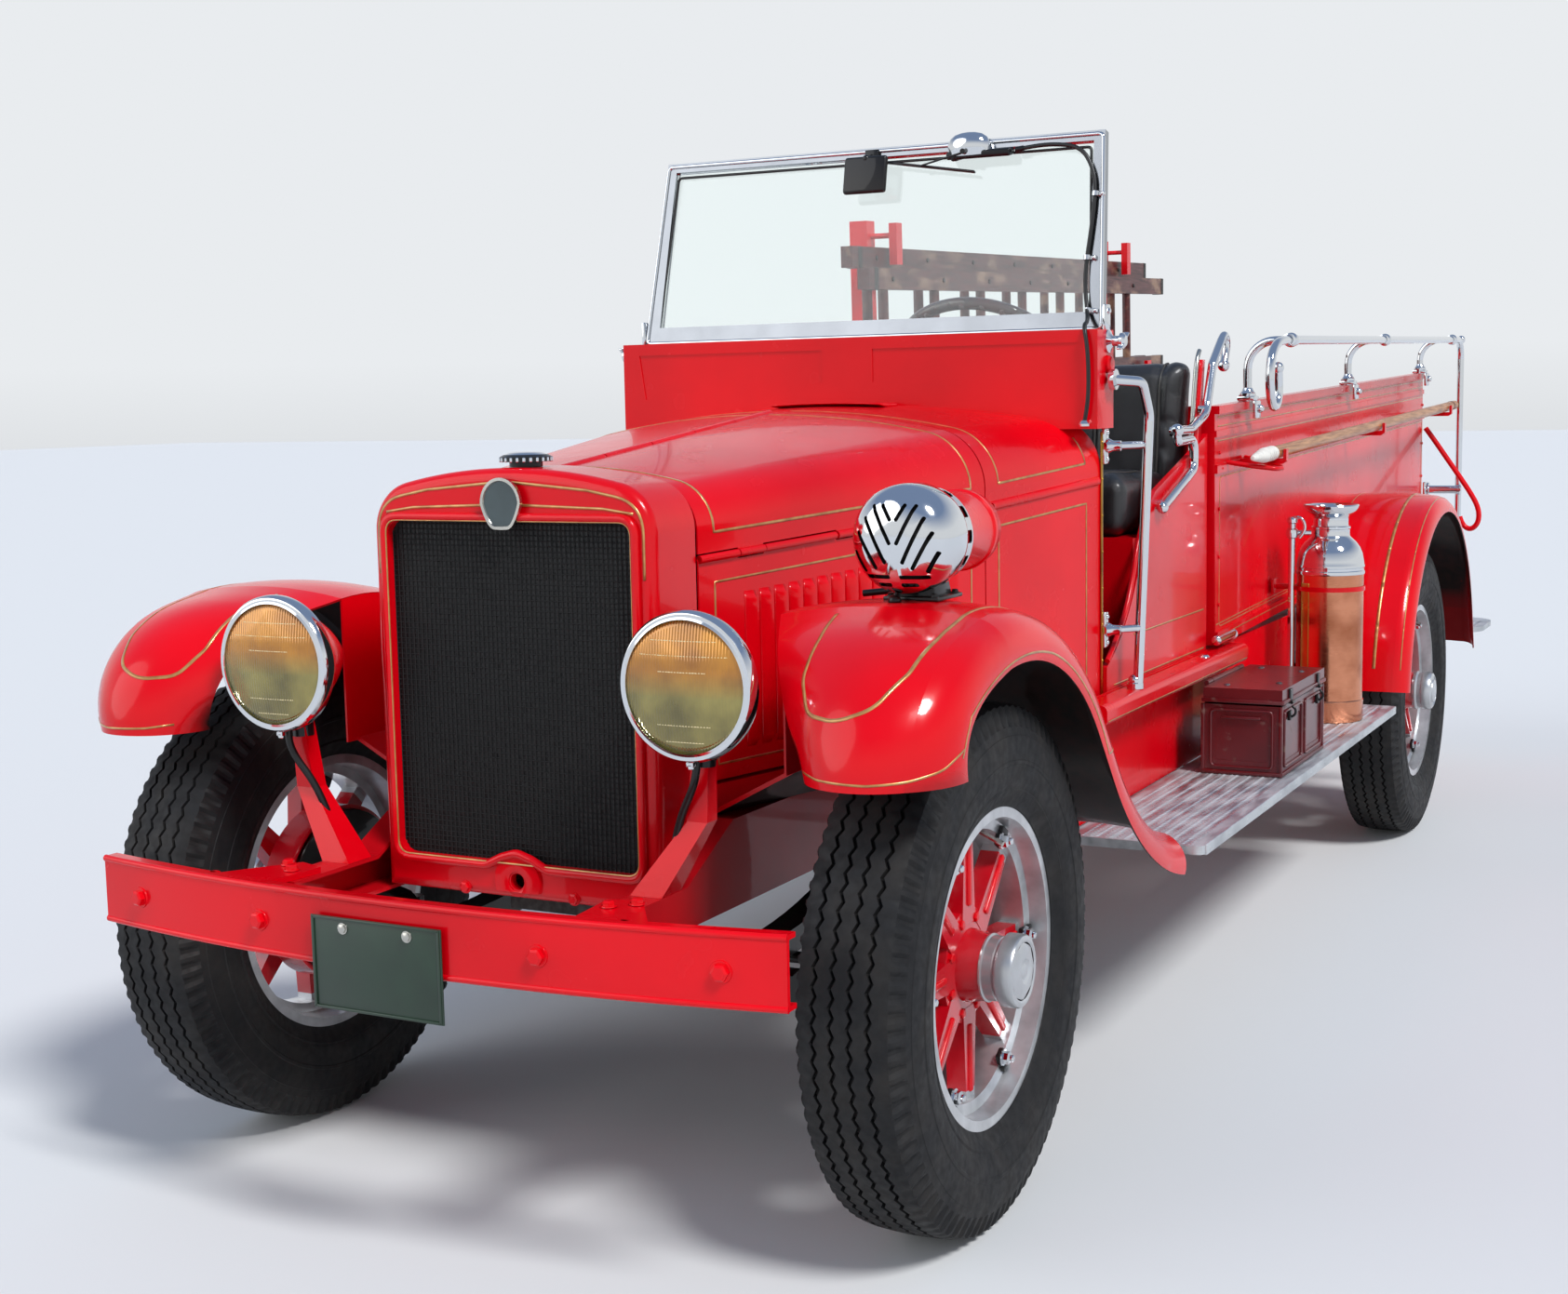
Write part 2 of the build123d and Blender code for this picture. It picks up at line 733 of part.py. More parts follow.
# Headlamps: spun bowls on posts from the frame horns, with separate rims and lenses
rim_depth = 22
bowl_front_aft = lamp_front_aft + 12
bowl_rear_aft = lamp_front_aft + lamp_depth
post_aft = -322
with BuildPart() as headlamps:
    for side in sides.values():
        lamp_axis = Axis((side * lamp_x, 0, lamp_z), (0, 1, 0))
        with BuildSketch(side_plane(side * lamp_x)):
            with BuildLine():
                Line((bowl_front_aft, lamp_z), (bowl_front_aft, lamp_z + lamp_radius - 6))
                ThreePointArc(
                    (bowl_front_aft, lamp_z + lamp_radius - 6),
                    (between(bowl_front_aft, bowl_rear_aft, 0.5), lamp_z + 0.66 * lamp_radius),
                    (bowl_rear_aft, lamp_z + 16),
                )
                Polyline((bowl_rear_aft, lamp_z + 16), (bowl_rear_aft, lamp_z), (bowl_front_aft, lamp_z))
            make_face()
        revolve(axis=lamp_axis)
        for height, x, middle, width, depth in (
            (lamp_z - 84, lamp_x - 3, post_aft, 26, 26),
            (720, lamp_x - 15, post_aft + 4, 38, 32),
        ):
            with BuildSketch(plan_plane(height)):
                with Locations((side * x, middle)):
                    Rectangle(width, depth)
        loft(ruled=True)
        for height, x, middle, width, depth in (
            (720, lamp_x - 15, post_aft + 4, 38, 32),
            (horn_top_z + seat_gap, frame_front_x - frame_flange / 2, -330, 58, 60),
        ):
            with BuildSketch(plan_plane(height)):
                with Locations((side * x, middle)):
                    Rectangle(width, depth)
        loft(ruled=True)
        with BuildSketch(side_plane(side * lamp_x)):
            with BuildLine():
                Line((bowl_front_aft, lamp_z), (bowl_front_aft, lamp_z + lamp_radius - 10))
                ThreePointArc(
                    (bowl_front_aft, lamp_z + lamp_radius - 10),
                    (between(bowl_front_aft, bowl_rear_aft, 0.49), lamp_z + 0.62 * lamp_radius),
                    (bowl_rear_aft - 5, lamp_z + 12),
                )
                Polyline(
                    (bowl_rear_aft - 5, lamp_z + 12),
                    (bowl_rear_aft - 5, lamp_z),
                    (bowl_front_aft, lamp_z),
                )
            make_face()
        revolve(axis=lamp_axis, mode=Mode.SUBTRACT)
save(headlamps, "headlamps")

with BuildPart() as headlamp_rims:
    for side in sides.values():
        with BuildSketch(side_plane(side * lamp_x)):
            Polygon(
                (lamp_front_aft - 4, lamp_z + lamp_radius - 8),
                (lamp_front_aft, lamp_z + lamp_radius + 2),
                (lamp_front_aft + 6, lamp_z + lamp_radius + 5),
                (lamp_front_aft + rim_depth - 4, lamp_z + lamp_radius + 5),
                (lamp_front_aft + rim_depth, lamp_z + lamp_radius),
                (lamp_front_aft + rim_depth, lamp_z + lamp_radius - 5),
                (bowl_front_aft - seat_gap, lamp_z + lamp_radius - 5),
                (bowl_front_aft - seat_gap, lamp_z + lamp_radius - 8),
                align=None,
            )
        revolve(axis=Axis((side * lamp_x, 0, lamp_z), (0, 1, 0)))
save(headlamp_rims, "headlamp_rims")

lens_radius = lamp_radius - 8 - seat_gap
lens_bulge = 12
lens_curve = (lens_radius**2 + lens_bulge**2) / (2 * lens_bulge)
with BuildPart() as headlamp_lenses:
    for side in sides.values():
        with BuildSketch(side_plane(side * lamp_x)):
            with Locations((lamp_front_aft + lens_curve - lens_bulge, lamp_z)):
                Circle(lens_curve)
                Circle(lens_curve - 5, mode=Mode.SUBTRACT)
            with Locations((lamp_front_aft - lens_bulge + 15, lamp_z + lens_radius / 2)):
                Rectangle(30, lens_radius, mode=Mode.INTERSECT)
        revolve(axis=Axis((side * lamp_x, 0, lamp_z), (0, 1, 0)))
save(headlamp_lenses, "headlamp_lenses")

# Bonnet: two tops that lift on a rod down the middle, each carrying a side that hangs from
# it by a rod hidden in the belt moulding. All four are cut from one lofted skin.
belt_line = ((bonnet_front_aft, belt_front_z), (bonnet_rear_aft, belt_seam_z))
top_edge_x = 10.5
knuckle_gap = 2
centre_knuckles = (0.0, 0.2, 0.4, 0.6, 0.8, 1.0)
belt_knuckles = (0.0, 0.12, 0.2, 0.44, 0.52, 0.76, 0.84, 1.0)
belt_clear = belt_tube_radius + 2
belt_stand = 1.5
bonnet_length = bonnet_rear_aft - bonnet_front_aft


def skin_section(front, inset):
    if front:
        outline = (nose_half_width, nose_corner_z, nose_top_z, shoulder_front_radius)
    else:
        outline = (cowl_front_half_width, cowl_front_corner_z, cowl_front_top_z, shoulder_rear_radius)
    half, corner, top, radius = outline
    return arched(half - inset, bonnet_bottom_z - 5 * inset, corner - inset, top - inset, radius - inset)


def hinge_teeth(line, marks, low, high, first):
    # side-view outline above (high > low) or below a hinge line, reaching the line at
    # every second knuckle and standing clear of it between them
    (aft0, z0), (aft1, z1) = line
    points = []
    for index in range(len(marks) - 1):
        reach = 0 if index % 2 == first else low
        gap = knuckle_gap / 2 if index % 2 == first else -knuckle_gap / 2
        start = marks[index] if index == 0 else marks[index] + gap / bonnet_length
        end = marks[index + 1] if index == len(marks) - 2 else marks[index + 1] - gap / bonnet_length
        for share in (start, end):
            points.append((between(aft0, aft1, share), between(z0, z1, share) + reach))
    return points + [(aft1, high), (aft0, high)]


with BuildPart() as bonnet_skin:
    with BuildSketch(cross_plane(bonnet_front_aft)):
        add(skin_section(True, 0))
    with BuildSketch(cross_plane(bonnet_rear_aft)):
        add(skin_section(False, 0))
    loft(ruled=True)
    with BuildSketch(cross_plane(bonnet_front_aft)):
        add(skin_section(True, sheet))
    with BuildSketch(cross_plane(bonnet_rear_aft)):
        add(skin_section(False, sheet))
    loft(ruled=True, mode=Mode.SUBTRACT)

for label, side in sides.items():
    belt_x = (side * (nose_half_width + belt_stand), side * (cowl_front_half_width + belt_stand))
    own_centre = 0 if label == "left" else 1
    with BuildPart() as bonnet_top:
        add(bonnet_skin.part)
        with BuildSketch(side_plane(0)):
            Polygon(*hinge_teeth(belt_line, belt_knuckles, belt_clear, cowl_front_top_z + 50, 1), align=None)
        extrude(amount=side * (cowl_front_half_width + 10), mode=Mode.INTERSECT)
        # middle edge, cut back beside the other top's knuckles
        with BuildSketch(plan_plane(belt_front_z)):
            with Locations((0, bonnet_front_aft + bonnet_length / 2)):
                Rectangle(2 * top_edge_x, bonnet_length + 2)
            for index in range(own_centre, len(centre_knuckles) - 1, 2):
                tooth = between(centre_knuckles[index], centre_knuckles[index + 1], 0.5)
                with Locations((0, bonnet_front_aft + bonnet_length * tooth)):
                    Rectangle(2 * top_edge_x + 1, bonnet_length / 5 - knuckle_gap, mode=Mode.SUBTRACT)
        extrude(amount=cowl_front_top_z, mode=Mode.SUBTRACT)
        for index in range(own_centre, len(centre_knuckles) - 1, 2):
            with BuildSketch(hinge_plane(0, 0, centre_hinge, centre_knuckles[index])):
                Circle(hinge_tube_radius)
            extrude(amount=bonnet_length / 5 - knuckle_gap)
        with BuildSketch(hinge_plane(0, 0, centre_hinge, 0)):
            Circle(hinge_rod_radius + shaft_clearance)
        extrude(amount=bonnet_length * 1.1, mode=Mode.SUBTRACT)
        # belt rod with its lugs
        with BuildSketch(hinge_plane(*belt_x, belt_line, 0.002)):
            Circle(belt_rod_radius)
        extrude(amount=bonnet_length * 1.02)
        for index in range(1, len(belt_knuckles) - 1, 2):
            with BuildSketch(hinge_plane(*belt_x, belt_line, belt_knuckles[index])):
                Circle(belt_tube_radius)
            extrude(amount=(belt_knuckles[index + 1] - belt_knuckles[index]) * bonnet_length)
    save(bonnet_top, f"bonnet_top_{label}")

    with BuildPart() as bonnet_side:
        add(bonnet_skin.part)
        with BuildSketch(side_plane(0)):
            Polygon(*hinge_teeth(belt_line, belt_knuckles, -belt_clear, bonnet_bottom_z, 0), align=None)
        extrude(amount=side * (cowl_front_half_width + 10), mode=Mode.INTERSECT)
        for index in range(0, len(belt_knuckles) - 1, 2):
            with BuildSketch(hinge_plane(*belt_x, belt_line, belt_knuckles[index])):
                Circle(belt_tube_radius)
            extrude(amount=(belt_knuckles[index + 1] - belt_knuckles[index]) * bonnet_length)
        with BuildSketch(hinge_plane(*belt_x, belt_line, 0)):
            Circle(belt_rod_radius + shaft_clearance)
        extrude(amount=bonnet_length * 1.1, both=True, mode=Mode.SUBTRACT)
    save(bonnet_side, f"bonnet_side_{label}")

# Cowl: the bonnet's lines carried back to the cab, with a firewall, the bead of the belt
# moulding, the bonnet's hinge rod and the scuttle that carries the windshield
firewall = 4
cowl_length = cowl_rear_aft - cowl_front_aft
scuttle_wall = 5
scuttle_bottom_z = 1300
belt_bead_radius = 10


def cowl_section(share, inset, drop):
    return arched(
        between(cowl_front_half_width, cowl_rear_half_width, share) - inset,
        cowl_bottom_z - drop,
        between(cowl_front_corner_z, cowl_rear_corner_z, share) - inset,
        between(cowl_front_top_z, cowl_rear_top_z, share) - inset,
        shoulder_rear_radius - inset,
    )


with BuildPart() as cowl_form:
    with BuildSketch(cross_plane(cowl_front_aft)):
        add(cowl_section(0, 0, 0))
    with BuildSketch(cross_plane(cowl_rear_aft)):
        add(cowl_section(1, 0, 0))
    loft(ruled=True)

with BuildPart() as scuttle:
    with BuildSketch(side_plane(-scuttle_half_width)):
        Polygon(
            (scuttle_front_aft, scuttle_bottom_z),
            (scuttle_front_aft, scuttle_top_z),
            (scuttle_rear_aft, scuttle_top_z),
            (scuttle_rear_aft, scuttle_bottom_z),
            align=None,
        )
    extrude(amount=2 * scuttle_half_width)
    with BuildSketch(cross_plane(scuttle_rear_aft)):
        with Locations((0, (scuttle_bottom_z + scuttle_top_z) / 2)):
            Rectangle(
                2 * (scuttle_half_width - scuttle_wall),
                scuttle_top_z - scuttle_bottom_z - 2 * scuttle_wall,
            )
    extrude(amount=scuttle_rear_aft - scuttle_front_aft - scuttle_wall, mode=Mode.SUBTRACT)
    # one pressed recess each side of the middle, shallower towards the ends
    with BuildSketch(cross_plane(scuttle_front_aft)):
        for side in sides.values():
            Polygon(
                (side * 62, scuttle_top_z - 26),
                (side * 535, scuttle_top_z - 26),
                (side * 520, scuttle_top_z - 128),
                (side * 62, scuttle_top_z - 98),
                align=None,
            )
    extrude(amount=-2.5, mode=Mode.SUBTRACT)
    add(cowl_form.part, mode=Mode.SUBTRACT)

with BuildPart() as cowl:
    add(cowl_form.part)
    with BuildSketch(cross_plane(cowl_front_aft + firewall)):
        add(cowl_section(firewall / cowl_length, sheet, 10))
    with BuildSketch(cross_plane(cowl_rear_aft)):
        add(cowl_section(1, sheet, 10))
    loft(ruled=True, mode=Mode.SUBTRACT)
    add(scuttle.part)
    for side in sides.values():
        bead_x = (side * (cowl_front_half_width - 3), side * (cowl_rear_half_width - 3))
        bead_line = ((cowl_front_aft, belt_seam_z), (cowl_rear_aft, belt_rear_z))
        with BuildSketch(hinge_plane(*bead_x, bead_line, 0.01)):
            Circle(belt_bead_radius)
        extrude(amount=0.98 * cowl_length)
    hinge_rise = centre_hinge[1][1] - centre_hinge[0][1]
    with BuildSketch(hinge_plane(0, 0, centre_hinge, -0.016)):
        Circle(hinge_rod_radius)
    extrude(amount=hypot(bonnet_length, hinge_rise) * 1.026)
save(cowl, "cowl")

# Ledges under the bonnet's sides, standing on the fender aprons
shelf_top_z = frame_top_z + seat_gap + fender_sheet
ledge_bottom_z = shelf_top_z + seat_gap
with BuildPart() as bonnet_ledges:
    for side in sides.values():
        with BuildSketch(plan_plane(ledge_bottom_z)):
            Polygon(
                (side * (nose_half_width - 26), bonnet_front_aft),
                (side * (nose_half_width + 5), bonnet_front_aft),
                (side * (cowl_front_half_width + 5), bonnet_rear_aft),
                (side * (cowl_front_half_width - 28), bonnet_rear_aft),
                align=None,
            )
        extrude(amount=bonnet_bottom_z - running_gap - ledge_bottom_z)
save(bonnet_ledges, "bonnet_ledges")

# Engine and gearbox as one plain block, and the propeller shaft
engine_half_width = 170
engine_bottom_z = 460
engine_top_z = 1060
gearbox_half_width = 130
gearbox_bottom_z = 425
gearbox_top_z = 662
engine_front_aft = cross_members[0] + member_width / 2 + seat_gap
engine_rear_aft = 655
gearbox_rear_aft = cross_members[1] - member_width / 2 - seat_gap
with BuildPart() as engine_block:
    with BuildSketch(side_plane(-engine_half_width)):
        Polygon(
            (engine_front_aft, engine_bottom_z),
            (engine_front_aft, engine_top_z),
            (engine_rear_aft, engine_top_z),
            (engine_rear_aft, engine_bottom_z),
            align=None,
        )
    extrude(amount=2 * engine_half_width)
    with BuildSketch(side_plane(-gearbox_half_width)):
        Polygon(
            (engine_rear_aft, gearbox_bottom_z),
            (engine_rear_aft, gearbox_top_z),
            (gearbox_rear_aft, gearbox_top_z),
            (gearbox_rear_aft, gearbox_bottom_z),
            align=None,
        )
    extrude(amount=2 * gearbox_half_width)
save(engine_block, "engine_block")

shaft_front_z = 500
shaft_start_aft = gearbox_rear_aft + seat_gap
shaft_end_aft = wheelbase - pinion_reach - seat_gap
flange_depth = 12
with BuildPart() as propeller_shaft:
    for flange_aft, flange_z in ((shaft_start_aft, shaft_front_z), (shaft_end_aft - flange_depth, axle_z)):
        with BuildSketch(cross_plane(flange_aft)):
            with Locations((0, flange_z)):
                Circle(34)
        extrude(amount=-flange_depth)
    run = ((shaft_start_aft + 4, shaft_front_z), (shaft_end_aft - 4, axle_z))
    with BuildSketch(hinge_plane(0, 0, run, 0)):
        Circle(26)
    extrude(amount=hypot(run[1][0] - run[0][0], run[1][1] - run[0][1]))
save(propeller_shaft, "propeller_shaft")

# Steering column on the firewall, and the wheel on its shaft
rake = radians(column_rake)
column_foot = 944
hub_length = 60


def column_plane(distance):
    # square to the column, at a distance down it from the middle of the steering wheel
    origin = (
        steering_wheel_x,
        aft(steering_wheel_aft - distance * cos(rake)),
        steering_wheel_z - distance * sin(rake),
    )
    return Plane(origin=origin, x_dir=(1, 0, 0), z_dir=(0, cos(rake), sin(rake)))


with BuildPart() as floor_boards:
    with BuildSketch(plan_plane(frame_top_z + seat_gap)):
        Polygon(
            (-cowl_front_half_width + 20, cowl_front_aft + 30),
            (cowl_front_half_width - 20, cowl_front_aft + 30),
            (cowl_front_half_width - 20, cowl_front_aft + 150),
            (board_inner_x - 10.3, cowl_rear_aft),
            (board_inner_x - 10.3, body_front_aft - 2),
            (-board_inner_x + 10.3, body_front_aft - 2),
            (-board_inner_x + 10.3, cowl_rear_aft),
            (-cowl_front_half_width + 20, cowl_front_aft + 150),
            align=None,
        )
    extrude(amount=floor_thickness)
    with BuildSketch(side_plane(-cowl_front_half_width + 30)):
        Polygon((740, 960), (754, 960), (1034, frame_top_z + 10), (1016, frame_top_z + 10), align=None)
    extrude(amount=2 * (cowl_front_half_width - 30))
    with BuildSketch(column_plane(120)):
        Circle(column_radius + 3)
    extrude(amount=-column_foot, mode=Mode.SUBTRACT)
save(floor_boards, "floor_boards")

with BuildPart() as steering_column:
    with BuildSketch(column_plane(hub_length)):
        Circle(column_radius)
    extrude(amount=-column_foot)
    with BuildSketch(column_plane(0)):
        Circle(10)
    extrude(amount=-hub_length - 10)
    # trimmed flush with the firewall
    with BuildSketch(cross_plane(steering_wheel_aft)):
        with Locations((steering_wheel_x, steering_wheel_z / 2)):
            Rectangle(4 * column_radius, 2 * steering_wheel_z)
    extrude(amount=steering_wheel_aft - cowl_front_aft - firewall - seat_gap, mode=Mode.INTERSECT)
    foot_z = steering_wheel_z - (steering_wheel_aft - cowl_front_aft - firewall) * sin(rake) / cos(rake)
    with BuildSketch(cross_plane(cowl_front_aft + firewall + seat_gap)):
        with Locations((steering_wheel_x, foot_z)):
            Circle(column_radius + 22)
    extrude(amount=-8)
save(steering_column, "steering_column")

with BuildPart() as steering_wheel:
    rim_section = Plane(origin=column_plane(0).origin, x_dir=(1, 0, 0), z_dir=(0, -sin(rake), cos(rake)))
    with BuildSketch(rim_section):
        with Locations((steering_wheel_radius - 14, 0)):
            Circle(14)
    revolve(axis=Axis(column_plane(0).origin, (0, cos(rake), sin(rake))))
    with BuildSketch(column_plane(hub_length - 8)):
        Circle(34)
    extrude(amount=hub_length + 4)
    with BuildSketch(column_plane(12)):
        with PolarLocations(0, 4, start_angle=45):
            spoke_reach = steering_wheel_radius - 16
            Polygon((20, -11), (spoke_reach, -8), (spoke_reach, 8), (20, 11), align=None)
    extrude(amount=12)
    with BuildSketch(column_plane(-8)):
        Circle(10 + shaft_clearance)
    extrude(amount=-hub_length, mode=Mode.SUBTRACT)
save(steering_wheel, "steering_wheel")

# Windshield: one tapered frame standing on the scuttle, with its glass
frame_bar = 22
windshield_origin_aft = scuttle_rear_aft - frame_bar - 3
lean = radians(windshield_lean)
windshield_face = Plane(
    origin=(0, aft(windshield_origin_aft), scuttle_top_z + seat_gap + frame_bar * sin(lean)),
    x_dir=(1, 0, 0),
    z_dir=(0, -cos(lean), sin(lean)),
)


def windshield_outline(bottom_bar, top_bar, post, post_top):
    return (
        (-windshield_bottom_half + post, bottom_bar),
        (windshield_bottom_half - post, bottom_bar),
        (windshield_top_half - post_top, windshield_height - top_bar),
        (-windshield_top_half + post_top, windshield_height - top_bar),
    )


with BuildPart() as windshield_frame:
    with BuildSketch(windshield_face):
        Polygon(*windshield_outline(0, 0, 0, 0), align=None)
        Polygon(*windshield_outline(36, 22, 34, 24), align=None, mode=Mode.SUBTRACT)
    extrude(amount=-frame_bar)
save(windshield_frame, "windshield_frame")

glass_thickness = 6
with BuildPart() as windshield_glass:
    with BuildSketch(windshield_face.offset(-(frame_bar - glass_thickness) / 2)):
        Polygon(
            *windshield_outline(36 + seat_gap, 22 + seat_gap, 34 + seat_gap, 24 + seat_gap),
            align=None,
        )
    extrude(amount=-glass_thickness)
save(windshield_glass, "windshield_glass")

# Seat: a panelled box whose sides sweep up to the back, cushion and squab
seat_panel = 12
seat_rear_aft = seat_front_aft + 554
seat_base_z = frame_top_z + seat_gap + floor_thickness + seat_gap
with BuildPart() as seat_box:
    with BuildSketch(side_plane(-seat_half_width)):
        Polygon(
            (seat_front_aft, seat_base_z),
            (seat_front_aft, seat_box_top_z),
            (seat_rear_aft, seat_box_top_z),
            (seat_rear_aft, seat_base_z),
            align=None,
        )
    extrude(amount=2 * seat_half_width)
    with BuildSketch(side_plane(-seat_half_width + seat_panel)):
        Polygon(
            (seat_front_aft + seat_panel, seat_base_z),
            (seat_front_aft + seat_panel, seat_box_top_z - seat_panel),
            (seat_rear_aft - seat_panel, seat_box_top_z - seat_panel),
            (seat_rear_aft - seat_panel, seat_base_z),
            align=None,
        )
    extrude(amount=2 * (seat_half_width - seat_panel), mode=Mode.SUBTRACT)
    for side in sides.values():
        with BuildSketch(side_plane(side * (seat_half_width + 12))):
            with BuildLine():
                Polyline(
                    (seat_front_aft + 60, seat_box_top_z + 60),
                    (seat_front_aft + 130, seat_box_top_z + 100),
                    (seat_rear_aft - 200, seat_box_top_z + 160),
                    (seat_rear_aft - 60, seat_box_top_z + 200),
                    (seat_rear_aft, seat_box_top_z + 220),
                    (seat_rear_aft, seat_base_z),
                    (cowl_rear_aft + 2, seat_base_z),
                    (cowl_rear_aft + 2, seat_base_z + 90),
                )
                ThreePointArc(
                    (cowl_rear_aft + 2, seat_base_z + 90),
                    (seat_front_aft - 70, seat_base_z + 190),
                    (seat_front_aft + 60, seat_box_top_z + 60),
                )
            make_face()
        extrude(amount=-side * seat_panel)
save(seat_box, "seat_box")

cushion_base_z = seat_box_top_z + seat_gap
cushion_half_width = seat_half_width - 2
squab_foot_aft = seat_front_aft + 428
with BuildPart() as seat_cushion:
    with BuildSketch(side_plane(-cushion_half_width)):
        Polygon(
            (seat_front_aft - 14, cushion_base_z),
            (seat_front_aft - 14, cushion_base_z + cushion_thickness),
            (squab_foot_aft - 2, cushion_base_z + cushion_thickness - 12),
            (squab_foot_aft - 8, cushion_base_z),
            align=None,
        )
    extrude(amount=2 * cushion_half_width)
    fillet(seat_cushion.edges().group_by(Axis.Z)[-1], 34)
save(seat_cushion, "seat_cushion")

with BuildPart() as seat_back:
    with BuildSketch(side_plane(-cushion_half_width)):
        Polygon(
            (squab_foot_aft, cushion_base_z),
            (squab_foot_aft + 50, seat_back_top_z),
            (squab_foot_aft + 152, seat_back_top_z),
            (squab_foot_aft + 118, cushion_base_z),
            align=None,
        )
    extrude(amount=2 * cushion_half_width)
    fillet(seat_back.edges().group_by(Axis.Z)[-1], 36)
save(seat_back, "seat_back")


def tube(path, radius):
    with BuildPart() as swept:
        with BuildSketch(Plane(origin=path @ 0, z_dir=path % 0)):
            Circle(radius)
        sweep(path=path)
    return swept.part

# Chrome rails at the seat: one up the back's edge and one round the arm, on each side
with BuildPart() as seat_rails:
    for side in sides.values():
        rail_plane = side_plane(side * (seat_half_width + 12 + rail_stand))
        with BuildLine(rail_plane) as back_rail:
            FilletPolyline(
                (1968, 1497), (1890, 1440), (1832, 1320), (1700, 1284), (1588, 1284), radius=(30, 60, 60)
            )
        add(tube(back_rail.wire(), rail_radius))
        with BuildLine(rail_plane) as arm_rail:
            FilletPolyline(
                (1592, 1284), (1592, 1258), (1730, 1262), (1735, 1190), (1480, 1112), radius=(10, 32, 32)
            )
        add(tube(arm_rail.wire(), rail_radius))
        for foot_aft, foot_z in ((1500, 1118), (1592, 1284 - 2), (1830, 1330)):
            with BuildSketch(side_plane(side * (seat_half_width + 12 + seat_gap))):
                with Locations((foot_aft, foot_z)):
                    Circle(rail_radius)
            extrude(amount=side * rail_stand)
save(seat_rails, "seat_rails")

# Hose body, built on a plane that rises to the rear
rise = radians(body_rise)
body_length = body_rear_aft - body_front_aft


def body_plane(height):
    # sketch X is the vehicle's X and sketch Y runs aft from the body's front, extruding up
    origin = (0, aft(body_front_aft) - height * sin(rise), body_floor_z + height * cos(rise))
    return Plane(origin=origin, x_dir=(1, 0, 0), z_dir=(0, -sin(rise), cos(rise)))


rear_panel_height = 358
cap_height = 20
sill_inner_x = frame_rear_x - frame_flange
mouldings = ((0, 34, 7), (430, 22, 7), (520, 16, 5))
arch_front = 850
arch_rear = 2060
with BuildPart() as hose_body:
    with BuildSketch(body_plane(0)):
        with Locations((0, body_length / 2)):
            Rectangle(2 * body_half_width, body_length)
    extrude(amount=body_height)
    with BuildSketch(body_plane(body_wall)):
        with Locations((0, body_length / 2)):
            Rectangle(2 * (body_half_width - body_wall), body_length - 2 * body_wall)
    extrude(amount=body_height, mode=Mode.SUBTRACT)
    with BuildSketch(body_plane(rear_panel_height)):
        with Locations((0, body_length)):
            Rectangle(2 * (body_half_width - body_wall), 4 * body_wall)
    extrude(amount=body_height, mode=Mode.SUBTRACT)
    # cap rail, rounded over the top edge
    with BuildSketch(body_plane(body_height - cap_height)):
        with Locations((0, body_length / 2)):
            Rectangle(2 * (body_half_width + 12), body_length)
            Rectangle(2 * (body_half_width - body_wall), body_length + 2, mode=Mode.SUBTRACT)
    extrude(amount=cap_height)
    # mouldings along the sides, the lowest one left out over the wheels
    for height, depth, reach in mouldings:
        with BuildSketch(body_plane(height)):
            for side in sides.values():
                with Locations((side * (body_half_width + reach / 2), body_length / 2)):
                    Rectangle(reach, body_length)
                if height == 0:
                    with Locations((side * (body_half_width + reach / 2), (arch_front + arch_rear) / 2)):
                        Rectangle(reach, arch_rear - arch_front, mode=Mode.SUBTRACT)
        extrude(amount=depth)
    # wedge sills between the frame and the floor
    for side in sides.values():
        with BuildSketch(side_plane(side * sill_inner_x)):
            Polygon(
                (body_front_aft + 12, frame_top_z + seat_gap),
                (frame_rear_aft, frame_top_z + seat_gap),
                (frame_rear_aft, body_floor_z + 4 + (frame_rear_aft - body_front_aft) * sin(rise)),
                (body_front_aft + 12, body_floor_z + 4),
                align=None,
            )
        extrude(amount=side * 44)
save(hose_body, "hose_body")

# Front fenders: a crowned sheet with a rolled lip, lofted round the nose in plan and swept over
# the wheel and down to the step, with an apron down to the frame
nose_start = (-450, 810)
nose_radius = 200
nose_turn = 62
crown_radius = 560
crown_turn = 78
tail_straight = 130
tail_radius = 700
tail_turn = 38


def arc_on(centre, radius, start, turn):
    # arc about a centre from a start angle, and where it ends
    end = radians(start + turn)
    return (centre[0] + radius * cos(end), centre[1] + radius * sin(end))


